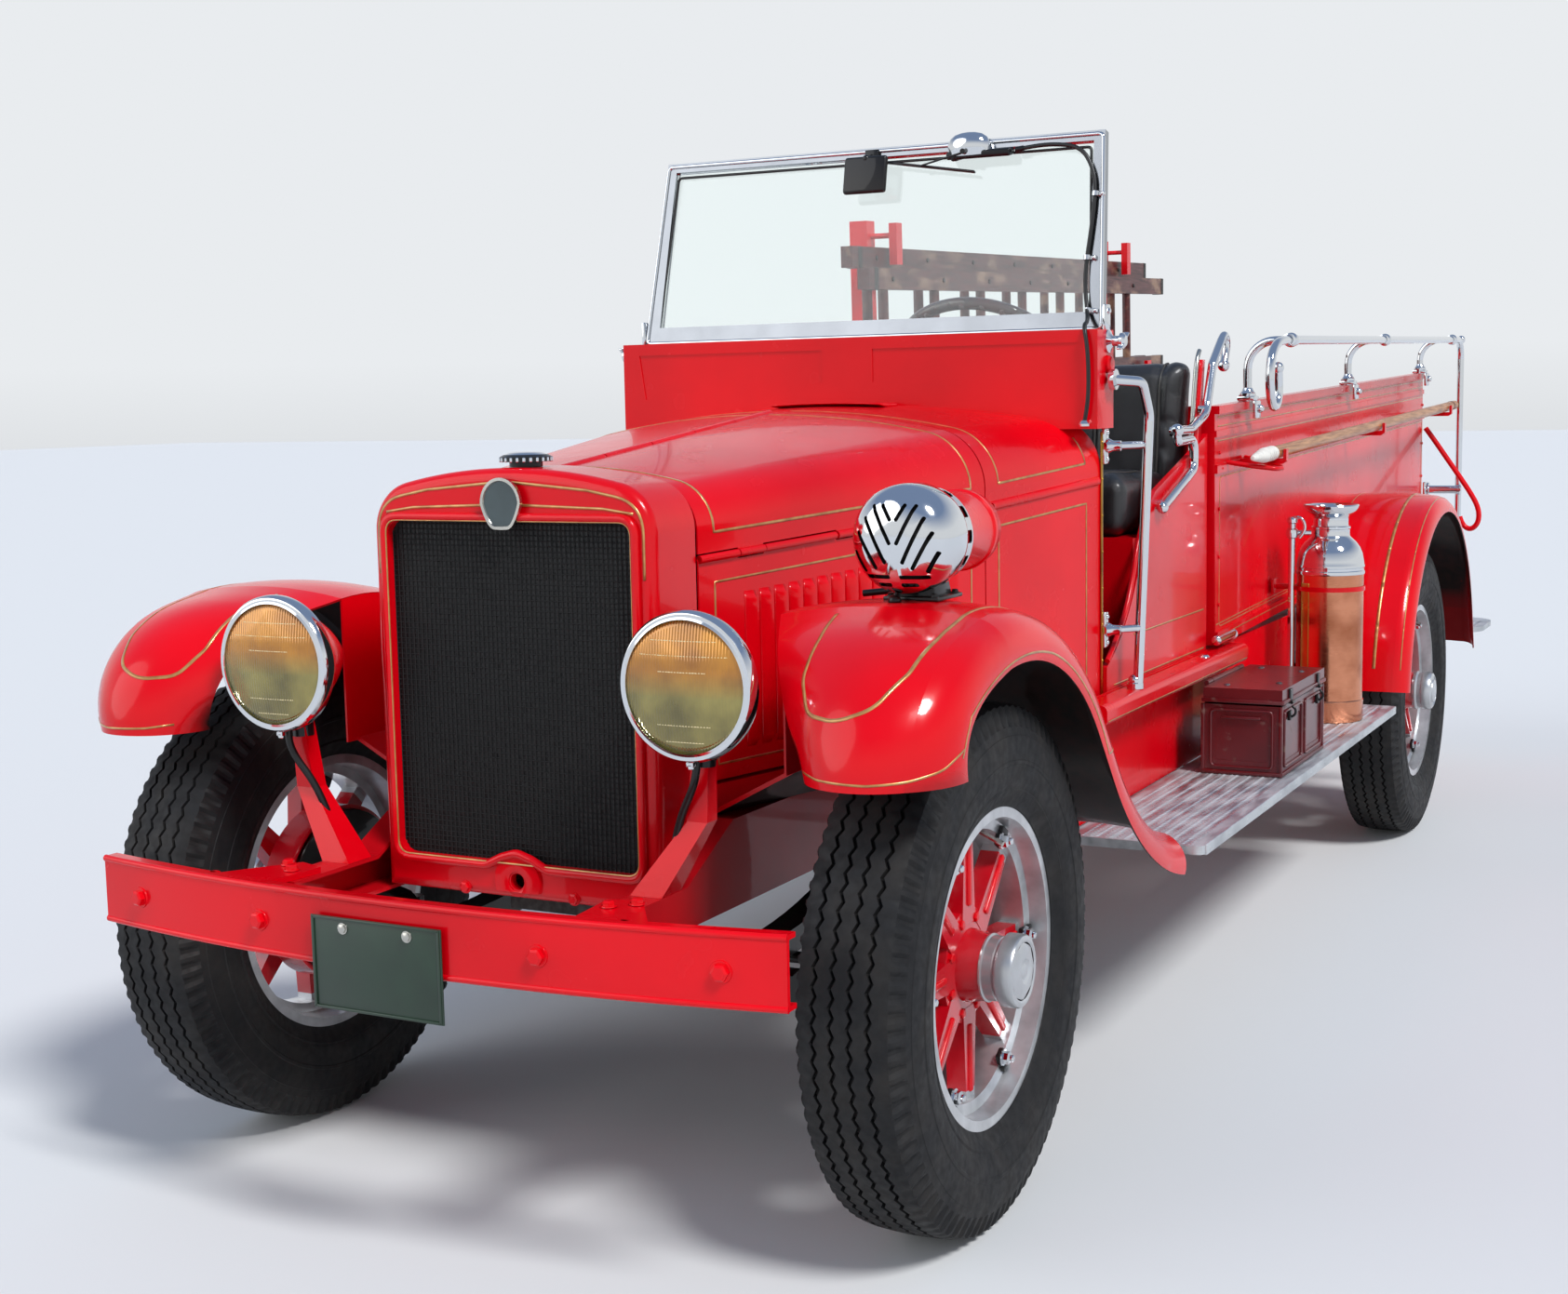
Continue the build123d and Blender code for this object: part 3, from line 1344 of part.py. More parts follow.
nose_centre = (nose_start[0] + nose_radius, nose_start[1])
nose_end = arc_on(nose_centre, nose_radius, 180, -nose_turn)
crown_start = 180 - nose_turn
crown_centre = arc_on(nose_end, crown_radius, crown_start + 180, 0)
crown_end = arc_on(crown_centre, crown_radius, crown_start, -crown_turn)
fall = radians(crown_start - crown_turn)
tail_start = (crown_end[0] + tail_straight * sin(fall), crown_end[1] - tail_straight * cos(fall))
tail_centre = (tail_start[0] + tail_radius * cos(fall), tail_start[1] + tail_radius * sin(fall))
web_drop = 20
web_bottom_z = 765
web_front_aft = -146
apron_rear_aft = 430
join_angle = 97
fender_sections = (
    # arc it stands on, angle there, then (x, height) of the edge, middle, shoulder, roll and lip
    (nose_centre, nose_radius, 180, ((600, -112), (700, 0), (784, -34), (822, -82), (836, -150))),
    (nose_centre, nose_radius, 149, ((572, -78), (688, 0), (792, -26), (827, -62), (840, -128))),
    (crown_centre, crown_radius, 118, ((538, -46), (664, 0), (795, -18), (829, -46), (842, -106))),
    (crown_centre, crown_radius, 105, ((484, -24), (636, 0), (795, -15), (830, -39), (842, -95))),
    (crown_centre, crown_radius, join_angle, ((450, -18), (620, 0), (795, -14), (830, -38), (842, -92))),
)


def circle_middle(first, second, third):
    # middle of the circle through three points
    (ax, ay), (bx, by), (cx, cy) = first, second, third
    a, b, c = ax**2 + ay**2, bx**2 + by**2, cx**2 + cy**2
    spread = 2 * (ax * (by - cy) + bx * (cy - ay) + cx * (ay - by))
    return (
        (a * (by - cy) + b * (cy - ay) + c * (ay - by)) / spread,
        (a * (cx - bx) + b * (ax - cx) + c * (bx - ax)) / spread,
    )


def moved(point, target, distance):
    share = distance / hypot(target[0] - point[0], target[1] - point[1])
    return (between(point[0], target[0], share), between(point[1], target[1], share))


def fender_band(profile):
    # the sheet's section: crown from the edge over the middle to the shoulder, then the rolled lip
    with BuildSketch() as band:
        with BuildLine():
            crown_middle = circle_middle(*profile[:3])
            lip_middle = circle_middle(*profile[2:])
            for depth in (0, fender_sheet):
                edge, middle, shoulder = [moved(point, crown_middle, depth) for point in profile[:3]]
                roll, lip = [moved(point, lip_middle, depth) for point in profile[3:]]
                ThreePointArc(edge, middle, shoulder)
                ThreePointArc(shoulder, roll, lip)
            Line(profile[0], edge)
            Line(profile[4], lip)
        make_face()
    return band.sketch


def arc_plane(centre, radius, angle):
    # section plane across an arc: sketch X is the vehicle's X, sketch Y points away from the centre
    at_aft, at_z = arc_on(centre, radius, angle, 0)
    turn = radians(angle)
    return Plane(origin=(0, aft(at_aft), at_z), x_dir=(1, 0, 0), z_dir=(0, -sin(turn), cos(turn)))


with BuildPart() as front_fenders:
    for centre, radius, angle, profile in fender_sections:
        with BuildSketch(arc_plane(centre, radius, angle)):
            add(fender_band(profile))
    loft()
    with BuildLine(side_plane(0)) as fender_path:
        CenterArc(crown_centre, crown_radius, join_angle, crown_start - crown_turn - join_angle)
        Line(crown_end, tail_start)
        CenterArc(tail_centre, tail_radius, degrees(fall) + 180, tail_turn)
    with BuildSketch(arc_plane(crown_centre, crown_radius, join_angle)):
        add(fender_band(fender_sections[-1][3]))
    sweep(path=fender_path.wire())
    # apron: a web under the inner edge, then a slope and a shelf on the frame
    web_arc_end = arc_on(crown_centre, crown_radius - web_drop, crown_start, -crown_turn)
    web_drop_length = (web_arc_end[1] - web_bottom_z) / cos(fall)
    web_tail = (web_arc_end[0] + web_drop_length * sin(fall), web_bottom_z)
    front_angle = radians(90) + (crown_centre[0] - web_front_aft) / (crown_radius - web_drop)
    web_head = (
        crown_centre[0] + (crown_radius - web_drop) * cos(front_angle),
        crown_centre[1] + (crown_radius - web_drop) * sin(front_angle),
    )
    with BuildSketch(side_plane(front_fender_inner_x)):
        with BuildLine():
            ThreePointArc(
                web_head,
                (crown_centre[0], crown_centre[1] + crown_radius - web_drop),
                web_arc_end,
            )
            Polyline(web_arc_end, web_tail, (web_head[0], web_bottom_z), web_head)
        make_face()
    extrude(amount=fender_sheet)
    shelf_edge = {
        bonnet_front_aft: nose_half_width + 14,
        apron_rear_aft: between(
            nose_half_width,
            cowl_front_half_width,
            (apron_rear_aft - bonnet_front_aft) / bonnet_length,
        )
        + 14,
    }
    for station, edge in shelf_edge.items():
        with BuildSketch(cross_plane(station)):
            Polygon(
                (edge - 8, shelf_top_z - fender_sheet),
                (edge, shelf_top_z - fender_sheet),
                (front_fender_inner_x + fender_sheet, web_bottom_z),
                (front_fender_inner_x + fender_sheet, web_bottom_z + 6),
                (front_fender_inner_x, web_bottom_z + 6),
                (edge - 8, shelf_top_z),
                align=None,
            )
    loft(ruled=True)
    with BuildSketch(plan_plane(shelf_top_z - fender_sheet)):
        Polygon(
            (frame_front_x - frame_flange + 4, bonnet_front_aft),
            (nose_half_width + 14, bonnet_front_aft),
            (cowl_front_half_width + 14, bonnet_rear_aft),
            (rail_x(bonnet_rear_aft) - 30, bonnet_rear_aft),
            (frame_front_x - frame_flange + 4, frame_narrow_aft),
            align=None,
        )
    extrude(amount=fender_sheet)
    mirror(about=Plane.YZ)
save(front_fenders, "front_fenders")

# Rear fenders: a crowned arch against the body side, ending in a straight flare
arch_centre = (wheelbase + 20, 430)
arch_radius = 620
arch_start = 172
arch_turn = 152
flare = 125
rear_inner_x = body_half_width + 8
rear_profile = (
    (rear_inner_x, -6),
    (740, 0),
    (rear_fender_outer_x - 42, -8),
    (rear_fender_outer_x - 12, -24),
    (rear_fender_outer_x, -58),
)
stay_width = 40
with BuildPart() as rear_fenders:
    arch_end = arc_on(arch_centre, arch_radius, arch_start, -arch_turn)
    drop = radians(arch_start - arch_turn)
    with BuildLine(side_plane(0)) as arch_path:
        CenterArc(arch_centre, arch_radius, arch_start, -arch_turn)
        Line(arch_end, (arch_end[0] + flare * sin(drop), arch_end[1] - flare * cos(drop)))
    with BuildSketch(arc_plane(arch_centre, arch_radius, arch_start)):
        add(fender_band(rear_profile))
    sweep(path=arch_path.wire())
    # flange that bolts to the body side above the arch
    with BuildSketch(side_plane(body_half_width + seat_gap)):
        with Locations(arch_centre):
            Circle(arch_radius - 6)
            Circle(arch_radius - 46, mode=Mode.SUBTRACT)
        with Locations((arch_centre[0], arch_centre[1] + arch_radius)):
            Rectangle(2 * arch_radius, 2 * (arch_radius - 360), mode=Mode.INTERSECT)
    extrude(amount=rear_inner_x - body_half_width - seat_gap + 3)
    mirror(about=Plane.YZ)
save(rear_fenders, "rear_fenders")

# Running boards on angle brackets from the frame
board_length = board_rear_aft - board_front_aft
bracket_drop = 16
with BuildPart() as running_boards:
    for side in sides.values():
        with BuildSketch(plan_plane(board_top_z - board_thickness)):
            with Locations((side * (board_inner_x + board_outer_x) / 2, (board_front_aft + board_rear_aft) / 2)):
                RectangleRounded(board_outer_x - board_inner_x, board_length, 20)
        extrude(amount=board_thickness)
        for share in (0.11, 0.47, 0.83):
            station = between(board_front_aft, board_rear_aft, share)
            with BuildSketch(cross_plane(station)):
                Polygon(
                    (side * (frame_rear_x + seat_gap), frame_bottom_z + 90),
                    (side * (frame_rear_x + seat_gap + 12), frame_bottom_z + 90),
                    (side * (frame_rear_x + seat_gap + 22), board_top_z - board_thickness + 10),
                    (side * (board_inner_x + 12), board_top_z - board_thickness),
                    (side * (board_outer_x - 40), board_top_z - board_thickness),
                    (side * (board_outer_x - 40), board_top_z - board_thickness - 6),
                    (side * (board_inner_x + 12), board_top_z - board_thickness - bracket_drop),
                    (side * (frame_rear_x + seat_gap), board_top_z - board_thickness - bracket_drop),
                    align=None,
                )
            extrude(amount=-40)
save(running_boards, "running_boards")

# Aprons between the boards and the body, with a rounded ledge beside the seat
apron_x = board_inner_x - 10
apron_front_aft = 930
ledge_rear_aft = 2050
ledge_top_z = 735
ledge_width = 64
ledge_depth = 44
with BuildPart() as step_aprons:
    for side in sides.values():
        with BuildSketch(cross_plane(apron_front_aft)):
            Polygon(
                (side * apron_x, board_top_z - 2),
                (side * apron_x, ledge_top_z),
                (side * (apron_x + sheet), ledge_top_z),
                (side * (apron_x + sheet), board_top_z - 2),
                align=None,
            )
        extrude(amount=apron_front_aft - board_rear_aft)
        with BuildSketch(cross_plane(apron_front_aft)):
            with Locations((side * (apron_x + 1 + ledge_width / 2), ledge_top_z - ledge_depth / 2)):
                RectangleRounded(ledge_width, ledge_depth, 14)
        extrude(amount=apron_front_aft - ledge_rear_aft)
save(step_aprons, "step_aprons")

# Tailboard with arms from the frame's ends, and a hole where the hand rail passes through
tailboard_rear_aft = wheelbase + rear_overhang
tailboard_thickness = 18
hand_rail_radius = 12
hand_rail_x = body_half_width + 113
rail_rear = (body_rear_aft + 98, 1543)
tailboard_depth = tailboard_rear_aft - tailboard_front_aft
with BuildPart() as tailboard:
    with BuildSketch(plan_plane(tailboard_top_z - tailboard_thickness)):
        with Locations((0, (tailboard_front_aft + tailboard_rear_aft) / 2)):
            RectangleRounded(2 * tailboard_half_width, tailboard_depth, 110)
        with Locations((hand_rail_x, rail_rear[0])):
            Circle(hand_rail_radius + seat_gap, mode=Mode.SUBTRACT)
    extrude(amount=tailboard_thickness)
    for side in sides.values():
        with BuildSketch(side_plane(side * sill_inner_x)):
            Polygon(
                (tailboard_front_aft + 10, frame_bottom_z - seat_gap),
                (frame_rear_aft - 8, frame_bottom_z - seat_gap),
                (frame_rear_aft + 120, tailboard_top_z),
                (tailboard_front_aft + 10, tailboard_top_z - 4),
                align=None,
            )
        extrude(amount=side * 44)
save(tailboard, "tailboard")

# Hand rail along the near side's top edge, bending down to the tailboard, on curved stanchions
stanchion_x = body_half_width + 2
rail_front = (2205, 1499)
rail_flange = 10
rail_foot_z = tailboard_top_z - tailboard_thickness - seat_gap - rail_flange
rail_slope = (rail_rear[1] - rail_front[1]) / (rail_rear[0] - rail_front[0])
rail_stations = (2225, wheelbase + 30, body_rear_aft - 100)


def body_station(distance_aft, height):
    # sketch Y on a body plane of that height for a distance behind the front axle
    return distance_aft - body_front_aft + height * sin(rise)


def body_top_z(distance_aft):
    return body_floor_z + body_height / cos(rise) + (distance_aft - body_front_aft) * sin(rise) / cos(rise)


with BuildPart() as hand_rail:
    with BuildLine(side_plane(hand_rail_x)) as rail_path:
        FilletPolyline(rail_front, rail_rear, (rail_rear[0], rail_foot_z), radius=70)
    add(tube(rail_path.wire(), hand_rail_radius))
    with BuildSketch(plan_plane(rail_foot_z)):
        with Locations((hand_rail_x, rail_rear[0])):
            Circle(26)
    extrude(amount=rail_flange)
    for station in rail_stations:
        rail_z = rail_front[1] + (station - rail_front[0]) * rail_slope
        with BuildLine(cross_plane(station)) as stanchion_path:
            FilletPolyline(
                (stanchion_x, body_top_z(station) + 8),
                (stanchion_x, rail_z),
                (hand_rail_x, rail_z),
                radius=70,
            )
        add(tube(stanchion_path.wire(), hand_rail_radius - 1))
        with BuildSketch(body_plane(body_height + seat_gap)):
            with Locations((stanchion_x, body_station(station, body_height))):
                Circle(22)
        extrude(amount=16)
save(hand_rail, "hand_rail")

# Grab rails at the cab entrances, from the scuttle down to the ledge, with two stays
grab_x = 622
with BuildPart() as grab_rails:
    for side in sides.values():
        with BuildLine() as grab_path:
            FilletPolyline(
                (side * (scuttle_half_width + 9), aft(1112), 1402),
                (side * (grab_x + 14), aft(1172), 1396),
                (side * (grab_x + 14), aft(1222), 1326),
                (side * grab_x, aft(1192), ledge_top_z + 2),
                radius=(24, 40),
            )
        add(tube(grab_path.wire(), rail_radius))
        flange_centre = (side * (scuttle_half_width + 9), aft(1112), 1402)
        with BuildSketch(Plane(origin=flange_centre, z_dir=(side, 0, 0))):
            Circle(22)
        extrude(amount=12)
        with BuildSketch(plan_plane(ledge_top_z + seat_gap)):
            with Locations((side * (grab_x - 6), 1192)):
                Circle(18)
        extrude(amount=12)
        for stay_z, reach in ((1262, 1216), (868, 1198)):
            with BuildLine() as stay_path:
                Line(
                    (side * (cowl_rear_half_width + 10), aft(cowl_rear_aft - 8), stay_z),
                    (side * (grab_x + 5), aft(reach), stay_z),
                )
            add(tube(stay_path.wire(), rail_radius - 3))
save(grab_rails, "grab_rails")

# Ladder rack on the off side: two posts with arms over the body and hanging prongs
post_width = 55
post_x = -(body_half_width + 12 + seat_gap + post_width / 2)
ladder_base = 625
arm_depth = 25
post_top = 1130
prong_x = 65 - body_half_width
arm_end_x = 155 - body_half_width
rack_stations = (2500, body_rear_aft - 80)
with BuildPart() as ladder_rack:
    for station in rack_stations:
        with BuildSketch(body_plane(330)):
            with Locations((post_x, body_station(station, 330))):
                Rectangle(post_width, post_width)
        extrude(amount=post_top - 330)
        with BuildSketch(body_plane(ladder_base - seat_gap - arm_depth)):
            with Locations(((post_x + arm_end_x) / 2, body_station(station, ladder_base))):
                Rectangle(arm_end_x - post_x, 46)
        extrude(amount=arm_depth)
        with BuildSketch(body_plane(ladder_base - seat_gap - arm_depth)):
            with Locations((arm_end_x - 7, body_station(station, ladder_base))):
                Rectangle(14, 46)
        extrude(amount=70)
        with BuildSketch(body_plane(350)):
            with Locations((-(body_half_width + 6 + seat_gap), body_station(station, 350))):
                Rectangle(12, post_width - 6)
        extrude(amount=60)
        bar_z = body_floor_z + post_top - 45 + (station - body_front_aft) * sin(rise)
        bar_start = Plane(origin=(post_x, aft(station) - 20, bar_z), z_dir=(1, 0, 0))
        with BuildSketch(bar_start):
            Circle(8)
        extrude(amount=prong_x - post_x)
        with BuildSketch(body_plane(post_top - 130)):
            with Locations((prong_x, body_station(station, post_top) - 20)):
                Rectangle(24, 40)
        extrude(amount=120)
save(ladder_rack, "ladder_rack")

# Ladders carried on edge: each has two stiles one above the other, joined by round rungs
ladder_list = (
    # x, front and rear along the body, overall depth
    (20 - body_half_width, 335, 3045, 425),
    (107 - body_half_width, 255, 2995, 360),
)
with BuildPart() as ladders:
    for x, front, rear, depth in ladder_list:
        for base in (ladder_base, ladder_base + depth - stile_height):
            with BuildSketch(body_plane(base)):
                with Locations((x, (front + rear) / 2)):
                    Rectangle(stile_width, rear - front)
            extrude(amount=stile_height)
        with BuildSketch(body_plane(ladder_base + stile_height / 2)):
            rungs = int((rear - front - 200) / rung_pitch) + 1
            with Locations(*[(x, front + 130 + rung_pitch * rung) for rung in range(rungs)]):
                Circle(rung_radius)
        extrude(amount=depth - stile_height)
save(ladders, "ladders")

# Pike pole along the near side, in open hooks from the body's middle moulding
pole_slope = radians(1.9)
pole_start = (pole_front_aft, pole_front_z)
hook_stations = (2150, 3400, pole_front_aft + pole_length - 200)
hook_width = 20
with BuildPart() as pike_pole:
    with BuildSketch(
        Plane(
            origin=(pole_x, aft(pole_front_aft), pole_front_z),
            x_dir=(1, 0, 0),
            z_dir=(0, cos(pole_slope), sin(pole_slope)),
        )
    ):
        Circle(pole_radius)
    extrude(amount=pole_length)
save(pike_pole, "pike_pole")

with BuildPart() as pole_hooks:
    for station in hook_stations:
        under_z = pole_front_z + (station - pole_front_aft) * sin(pole_slope) - pole_radius - 0.8
        with BuildSketch(cross_plane(station - hook_width / 2)):
            Polygon(
                (body_half_width + 7 + seat_gap, under_z - 14),
                (body_half_width + 7 + seat_gap, under_z),
                (pole_x + 18, under_z),
                (pole_x + 18, under_z + 24),
                (pole_x + 26, under_z + 24),
                (pole_x + 26, under_z - 6),
                (pole_x + 14, under_z - 14),
                align=None,
            )
        extrude(amount=-hook_width)
save(pole_hooks, "pole_hooks")

# Toolbox on the near running board, its lid hinged along the inboard top edge
box_wall = 4
box_bottom_z = board_top_z + seat_gap
box_top_z = box_bottom_z + box_height
lid_bottom_z = box_top_z - box_lid_height
lid_gap = 5
hinge_x = box_inner_x - 5
hinge_z = box_top_z + 2
box_middle_x = box_inner_x + box_width / 2
box_middle_aft = box_front_aft + box_length / 2
lid_knuckles = (70, box_length - 70)
with BuildPart() as toolbox:
    with BuildSketch(plan_plane(box_bottom_z)):
        with Locations((box_middle_x, box_middle_aft)):
            Rectangle(box_width, box_length)
    extrude(amount=lid_bottom_z - lid_gap - box_bottom_z)
    with BuildSketch(plan_plane(box_bottom_z + box_wall)):
        with Locations((box_middle_x, box_middle_aft)):
            Rectangle(box_width - 2 * box_wall, box_length - 2 * box_wall)
    extrude(amount=box_height, mode=Mode.SUBTRACT)
    # pressed panels, one on the front end and two on the outboard side
    with BuildSketch(side_plane(box_inner_x + box_width)):
        for share in (0.26, 0.74):
            with Locations((box_front_aft + box_length * share, box_bottom_z + 84)):
                RectangleRounded(150, 100, 14)
    extrude(amount=-1.5, mode=Mode.SUBTRACT)
    with BuildSketch(cross_plane(box_front_aft)):
        with Locations((box_middle_x, box_bottom_z + 84)):
            RectangleRounded(130, 100, 14)
    extrude(amount=-1.5, mode=Mode.SUBTRACT)
    for knuckle in lid_knuckles:
        with BuildSketch(cross_plane(box_front_aft + knuckle - 20)):
            with Locations((hinge_x, hinge_z)):
                Circle(6)
            with Locations((hinge_x, between(lid_bottom_z - 60, hinge_z, 0.5))):
                Rectangle(8, hinge_z - lid_bottom_z + 60)
            with Locations((hinge_x + 3, lid_bottom_z - 40)):
                Rectangle(8, 40)
        extrude(amount=-40)
    with BuildSketch(cross_plane(box_front_aft + lid_knuckles[0] - 20)):
        with Locations((hinge_x, hinge_z)):
            Circle(3)
    extrude(amount=-(lid_knuckles[1] - lid_knuckles[0] + 40))
save(toolbox, "toolbox")

with BuildPart() as toolbox_lid:
    with BuildSketch(plan_plane(lid_bottom_z)):
        with Locations((box_middle_x + 2.5, box_middle_aft)):
            Rectangle(box_width + 1, box_length + 6)
    extrude(amount=box_lid_height)
    with BuildSketch(plan_plane(lid_bottom_z - 1)):
        with Locations((box_middle_x + 2.5, box_middle_aft)):
            Rectangle(box_width + 1 - 2 * box_wall, box_length + 6 - 2 * box_wall)
    extrude(amount=box_lid_height + 1 - box_wall, mode=Mode.SUBTRACT)
    with BuildSketch(cross_plane(box_front_aft + lid_knuckles[0] + 24)):
        with Locations((hinge_x, hinge_z)):
            Circle(6)
        with Locations((hinge_x + 6, hinge_z - 4)):
            Rectangle(12, 4)
    extrude(amount=-(lid_knuckles[1] - lid_knuckles[0] - 48))
    with BuildSketch(cross_plane(box_front_aft)):
        with Locations((hinge_x, hinge_z)):
            Circle(3 + shaft_clearance)
    extrude(amount=-box_length, mode=Mode.SUBTRACT)
save(toolbox_lid, "toolbox_lid")

# Soda-acid extinguisher standing on the board
bottle_base_z = board_top_z + seat_gap
bottle_top_z = bottle_base_z + extinguisher_height
shoulder_z = bottle_top_z - 165
with BuildPart() as extinguisher:
    with BuildSketch(side_plane(extinguisher_x)):
        with BuildLine():
            Polyline(
                (extinguisher_aft, bottle_base_z),
                (extinguisher_aft + extinguisher_radius + 2, bottle_base_z),
                (extinguisher_aft + extinguisher_radius + 2, bottle_base_z + 26),
                (extinguisher_aft + extinguisher_radius, bottle_base_z + 28),
                (extinguisher_aft + extinguisher_radius, shoulder_z),
            )
            ThreePointArc(
                (extinguisher_aft + extinguisher_radius, shoulder_z),
                (extinguisher_aft + 74, shoulder_z + 52),
                (extinguisher_aft + 40, shoulder_z + 84),
            )
            Polyline(
                (extinguisher_aft + 40, shoulder_z + 84),
                (extinguisher_aft + 36, bottle_top_z - 45),
                (extinguisher_aft + 50, bottle_top_z - 40),
                (extinguisher_aft + 71, bottle_top_z - 8),
                (extinguisher_aft + 71, bottle_top_z),
                (extinguisher_aft + 62, bottle_top_z),
                (extinguisher_aft + 44, bottle_top_z - 26),
                (extinguisher_aft, bottle_top_z - 26),
                (extinguisher_aft, bottle_base_z),
            )
        make_face()
    revolve(axis=Axis((extinguisher_x, aft(extinguisher_aft), 0), (0, 0, 1)))
save(extinguisher, "extinguisher")

# Siren on a pedestal on the near fender's crown
siren_x = 650
siren_z = 1151
siren_front_aft = -150
siren_radius = 88
crown_top_z = crown_centre[1] + crown_radius + 0.6
with BuildPart() as siren:
    with BuildSketch(side_plane(siren_x)):
        with BuildLine():
            ThreePointArc(
                (siren_front_aft + 34, siren_z + siren_radius),
                (siren_front_aft + 8, siren_z + 52),
                (siren_front_aft, siren_z + 10),
            )
            Polyline(
                (siren_front_aft, siren_z + 10),
                (siren_front_aft, siren_z),
                (siren_front_aft + 345, siren_z),
                (siren_front_aft + 345, siren_z + 30),
                (siren_front_aft + 325, siren_z + 52),
                (siren_front_aft + 150, siren_z + 66),
                (siren_front_aft + 140, siren_z + siren_radius - 8),
                (siren_front_aft + 90, siren_z + siren_radius),
                (siren_front_aft + 34, siren_z + siren_radius),
            )
        make_face()
    revolve(axis=Axis((siren_x, 0, siren_z), (0, 1, 0)))
    with BuildSketch(plan_plane(crown_top_z)):
        with Locations((siren_x, siren_front_aft + 118)):
            Rectangle(92, 70)
    extrude(amount=10)
    with BuildSketch(plan_plane(crown_top_z)):
        with Locations((siren_x, siren_front_aft + 118)):
            Rectangle(56, 46)
    extrude(amount=siren_z - crown_top_z)
save(siren, "siren")

# Exhaust along the off side of the frame
exhaust_x = -290
exhaust_z = 450
pipe_radius = 25
muffler_radius = 72
with BuildPart() as exhaust:
    with BuildLine() as pipe_path:
        FilletPolyline(
            (-engine_half_width - seat_gap, aft(560), exhaust_z + 45),
            (exhaust_x, aft(560), exhaust_z + 45),
            (exhaust_x, aft(700), exhaust_z),
            (exhaust_x, aft(2900), exhaust_z),
            radius=50,
        )
    add(tube(pipe_path.wire(), pipe_radius))
    with BuildSketch(cross_plane(1290)):
        with Locations((exhaust_x, exhaust_z)):
            Circle(muffler_radius)
    extrude(amount=-600)
    member_bottom_z = frame_bottom_z + frame_plate
    for station in (cross_members[1], cross_members[2]):
        with BuildSketch(plan_plane(exhaust_z)):
            with Locations((exhaust_x, station)):
                Rectangle(6, 40)
        extrude(amount=member_bottom_z - seat_gap - exhaust_z)
save(exhaust, "exhaust")
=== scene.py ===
import math
import bpy
import bmesh
from mathutils import Matrix, Vector
from mathutils.bvhtree import BVHTree


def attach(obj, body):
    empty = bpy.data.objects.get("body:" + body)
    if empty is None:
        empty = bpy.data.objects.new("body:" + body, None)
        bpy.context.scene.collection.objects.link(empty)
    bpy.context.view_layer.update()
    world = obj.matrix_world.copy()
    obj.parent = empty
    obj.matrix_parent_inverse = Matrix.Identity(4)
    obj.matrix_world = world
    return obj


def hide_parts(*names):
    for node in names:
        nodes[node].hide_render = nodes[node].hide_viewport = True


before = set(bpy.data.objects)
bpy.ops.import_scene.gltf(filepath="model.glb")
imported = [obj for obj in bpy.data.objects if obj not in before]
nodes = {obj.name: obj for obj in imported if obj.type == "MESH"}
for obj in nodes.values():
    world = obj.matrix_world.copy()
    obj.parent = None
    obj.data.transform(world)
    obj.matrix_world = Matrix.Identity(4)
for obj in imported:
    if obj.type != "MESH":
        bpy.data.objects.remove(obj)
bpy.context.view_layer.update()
mm = 0.001
frontAxleY = -2184  # the row frame's place of the front axle, mm
hubHeight = 440  # every wheel's centre over the ground, mm

# Camera at the photograph's angle
camera = {"place": (1.958, -5.217, 1.375), "turn": 27.516, "down": 6.976, "roll": -1.103, "lens": 46.6,
          "sensor": 36, "far": 400}


def addCamera(values):
    turn, down, roll = (math.radians(values[k]) for k in ("turn", "down", "roll"))
    back = Vector((math.sin(turn) * math.cos(down), -math.cos(turn) * math.cos(down), math.sin(down)))
    right = (-back).cross(Vector((0, 0, 1))).normalized()
    up = right.cross(-back)
    columns = (right * math.cos(roll) + up * math.sin(roll), up * math.cos(roll) - right * math.sin(roll), back)
    matrix = Matrix(columns).transposed().to_4x4()
    matrix.translation = Vector(values["place"])
    data = bpy.data.cameras.new("camera")
    data.sensor_fit, data.sensor_width, data.lens = "HORIZONTAL", values["sensor"], values["lens"]
    data.clip_end = values["far"]
    item = bpy.data.objects.new("camera", data)
    item.matrix_world = matrix
    bpy.context.scene.collection.objects.link(item)
    bpy.context.scene.camera = item


addCamera(camera)
bpy.context.scene.view_settings.view_transform = "Standard"
print("camera is set")


# Small helpers
def linear(hexColour):
    parts = [int(hexColour[i:i + 2], 16) / 255 for i in (1, 3, 5)]
    return [c / 12.92 if c <= 0.04045 else ((c + 0.055) / 1.055) ** 2.4 for c in parts] + [1]


def addNode(tree, kind, inputs=None, **settings):
    item = tree.nodes.new("ShaderNode" + kind)
    for name, value in settings.items():
        setattr(item, name, value)
    for name, value in (inputs or {}).items():
        if isinstance(value, bpy.types.NodeSocket):
            tree.links.new(value, item.inputs[name])
        else:
            item.inputs[name].default_value = value
    return item


def newFinish(name, **shader):
    material = bpy.data.materials.new(name)
    material.use_nodes = True
    tree = material.node_tree
    main = tree.nodes["Principled BSDF"]
    for socket, value in shader.items():
        main.inputs[socket.replace("_", " ")].default_value = value
    place = addNode(tree, "TexCoord").outputs["Object"]
    return material, tree, main, place


def noise(tree, place, size, detail=3, stretch=None):
    # size is the real pattern's size in mm
    if stretch:
        place = addNode(tree, "Mapping", {"Vector": place, "Scale": stretch}).outputs[0]
    return addNode(tree, "TexNoise", {"Vector": place, "Scale": 1000 / size, "Detail": detail}).outputs["Fac"]


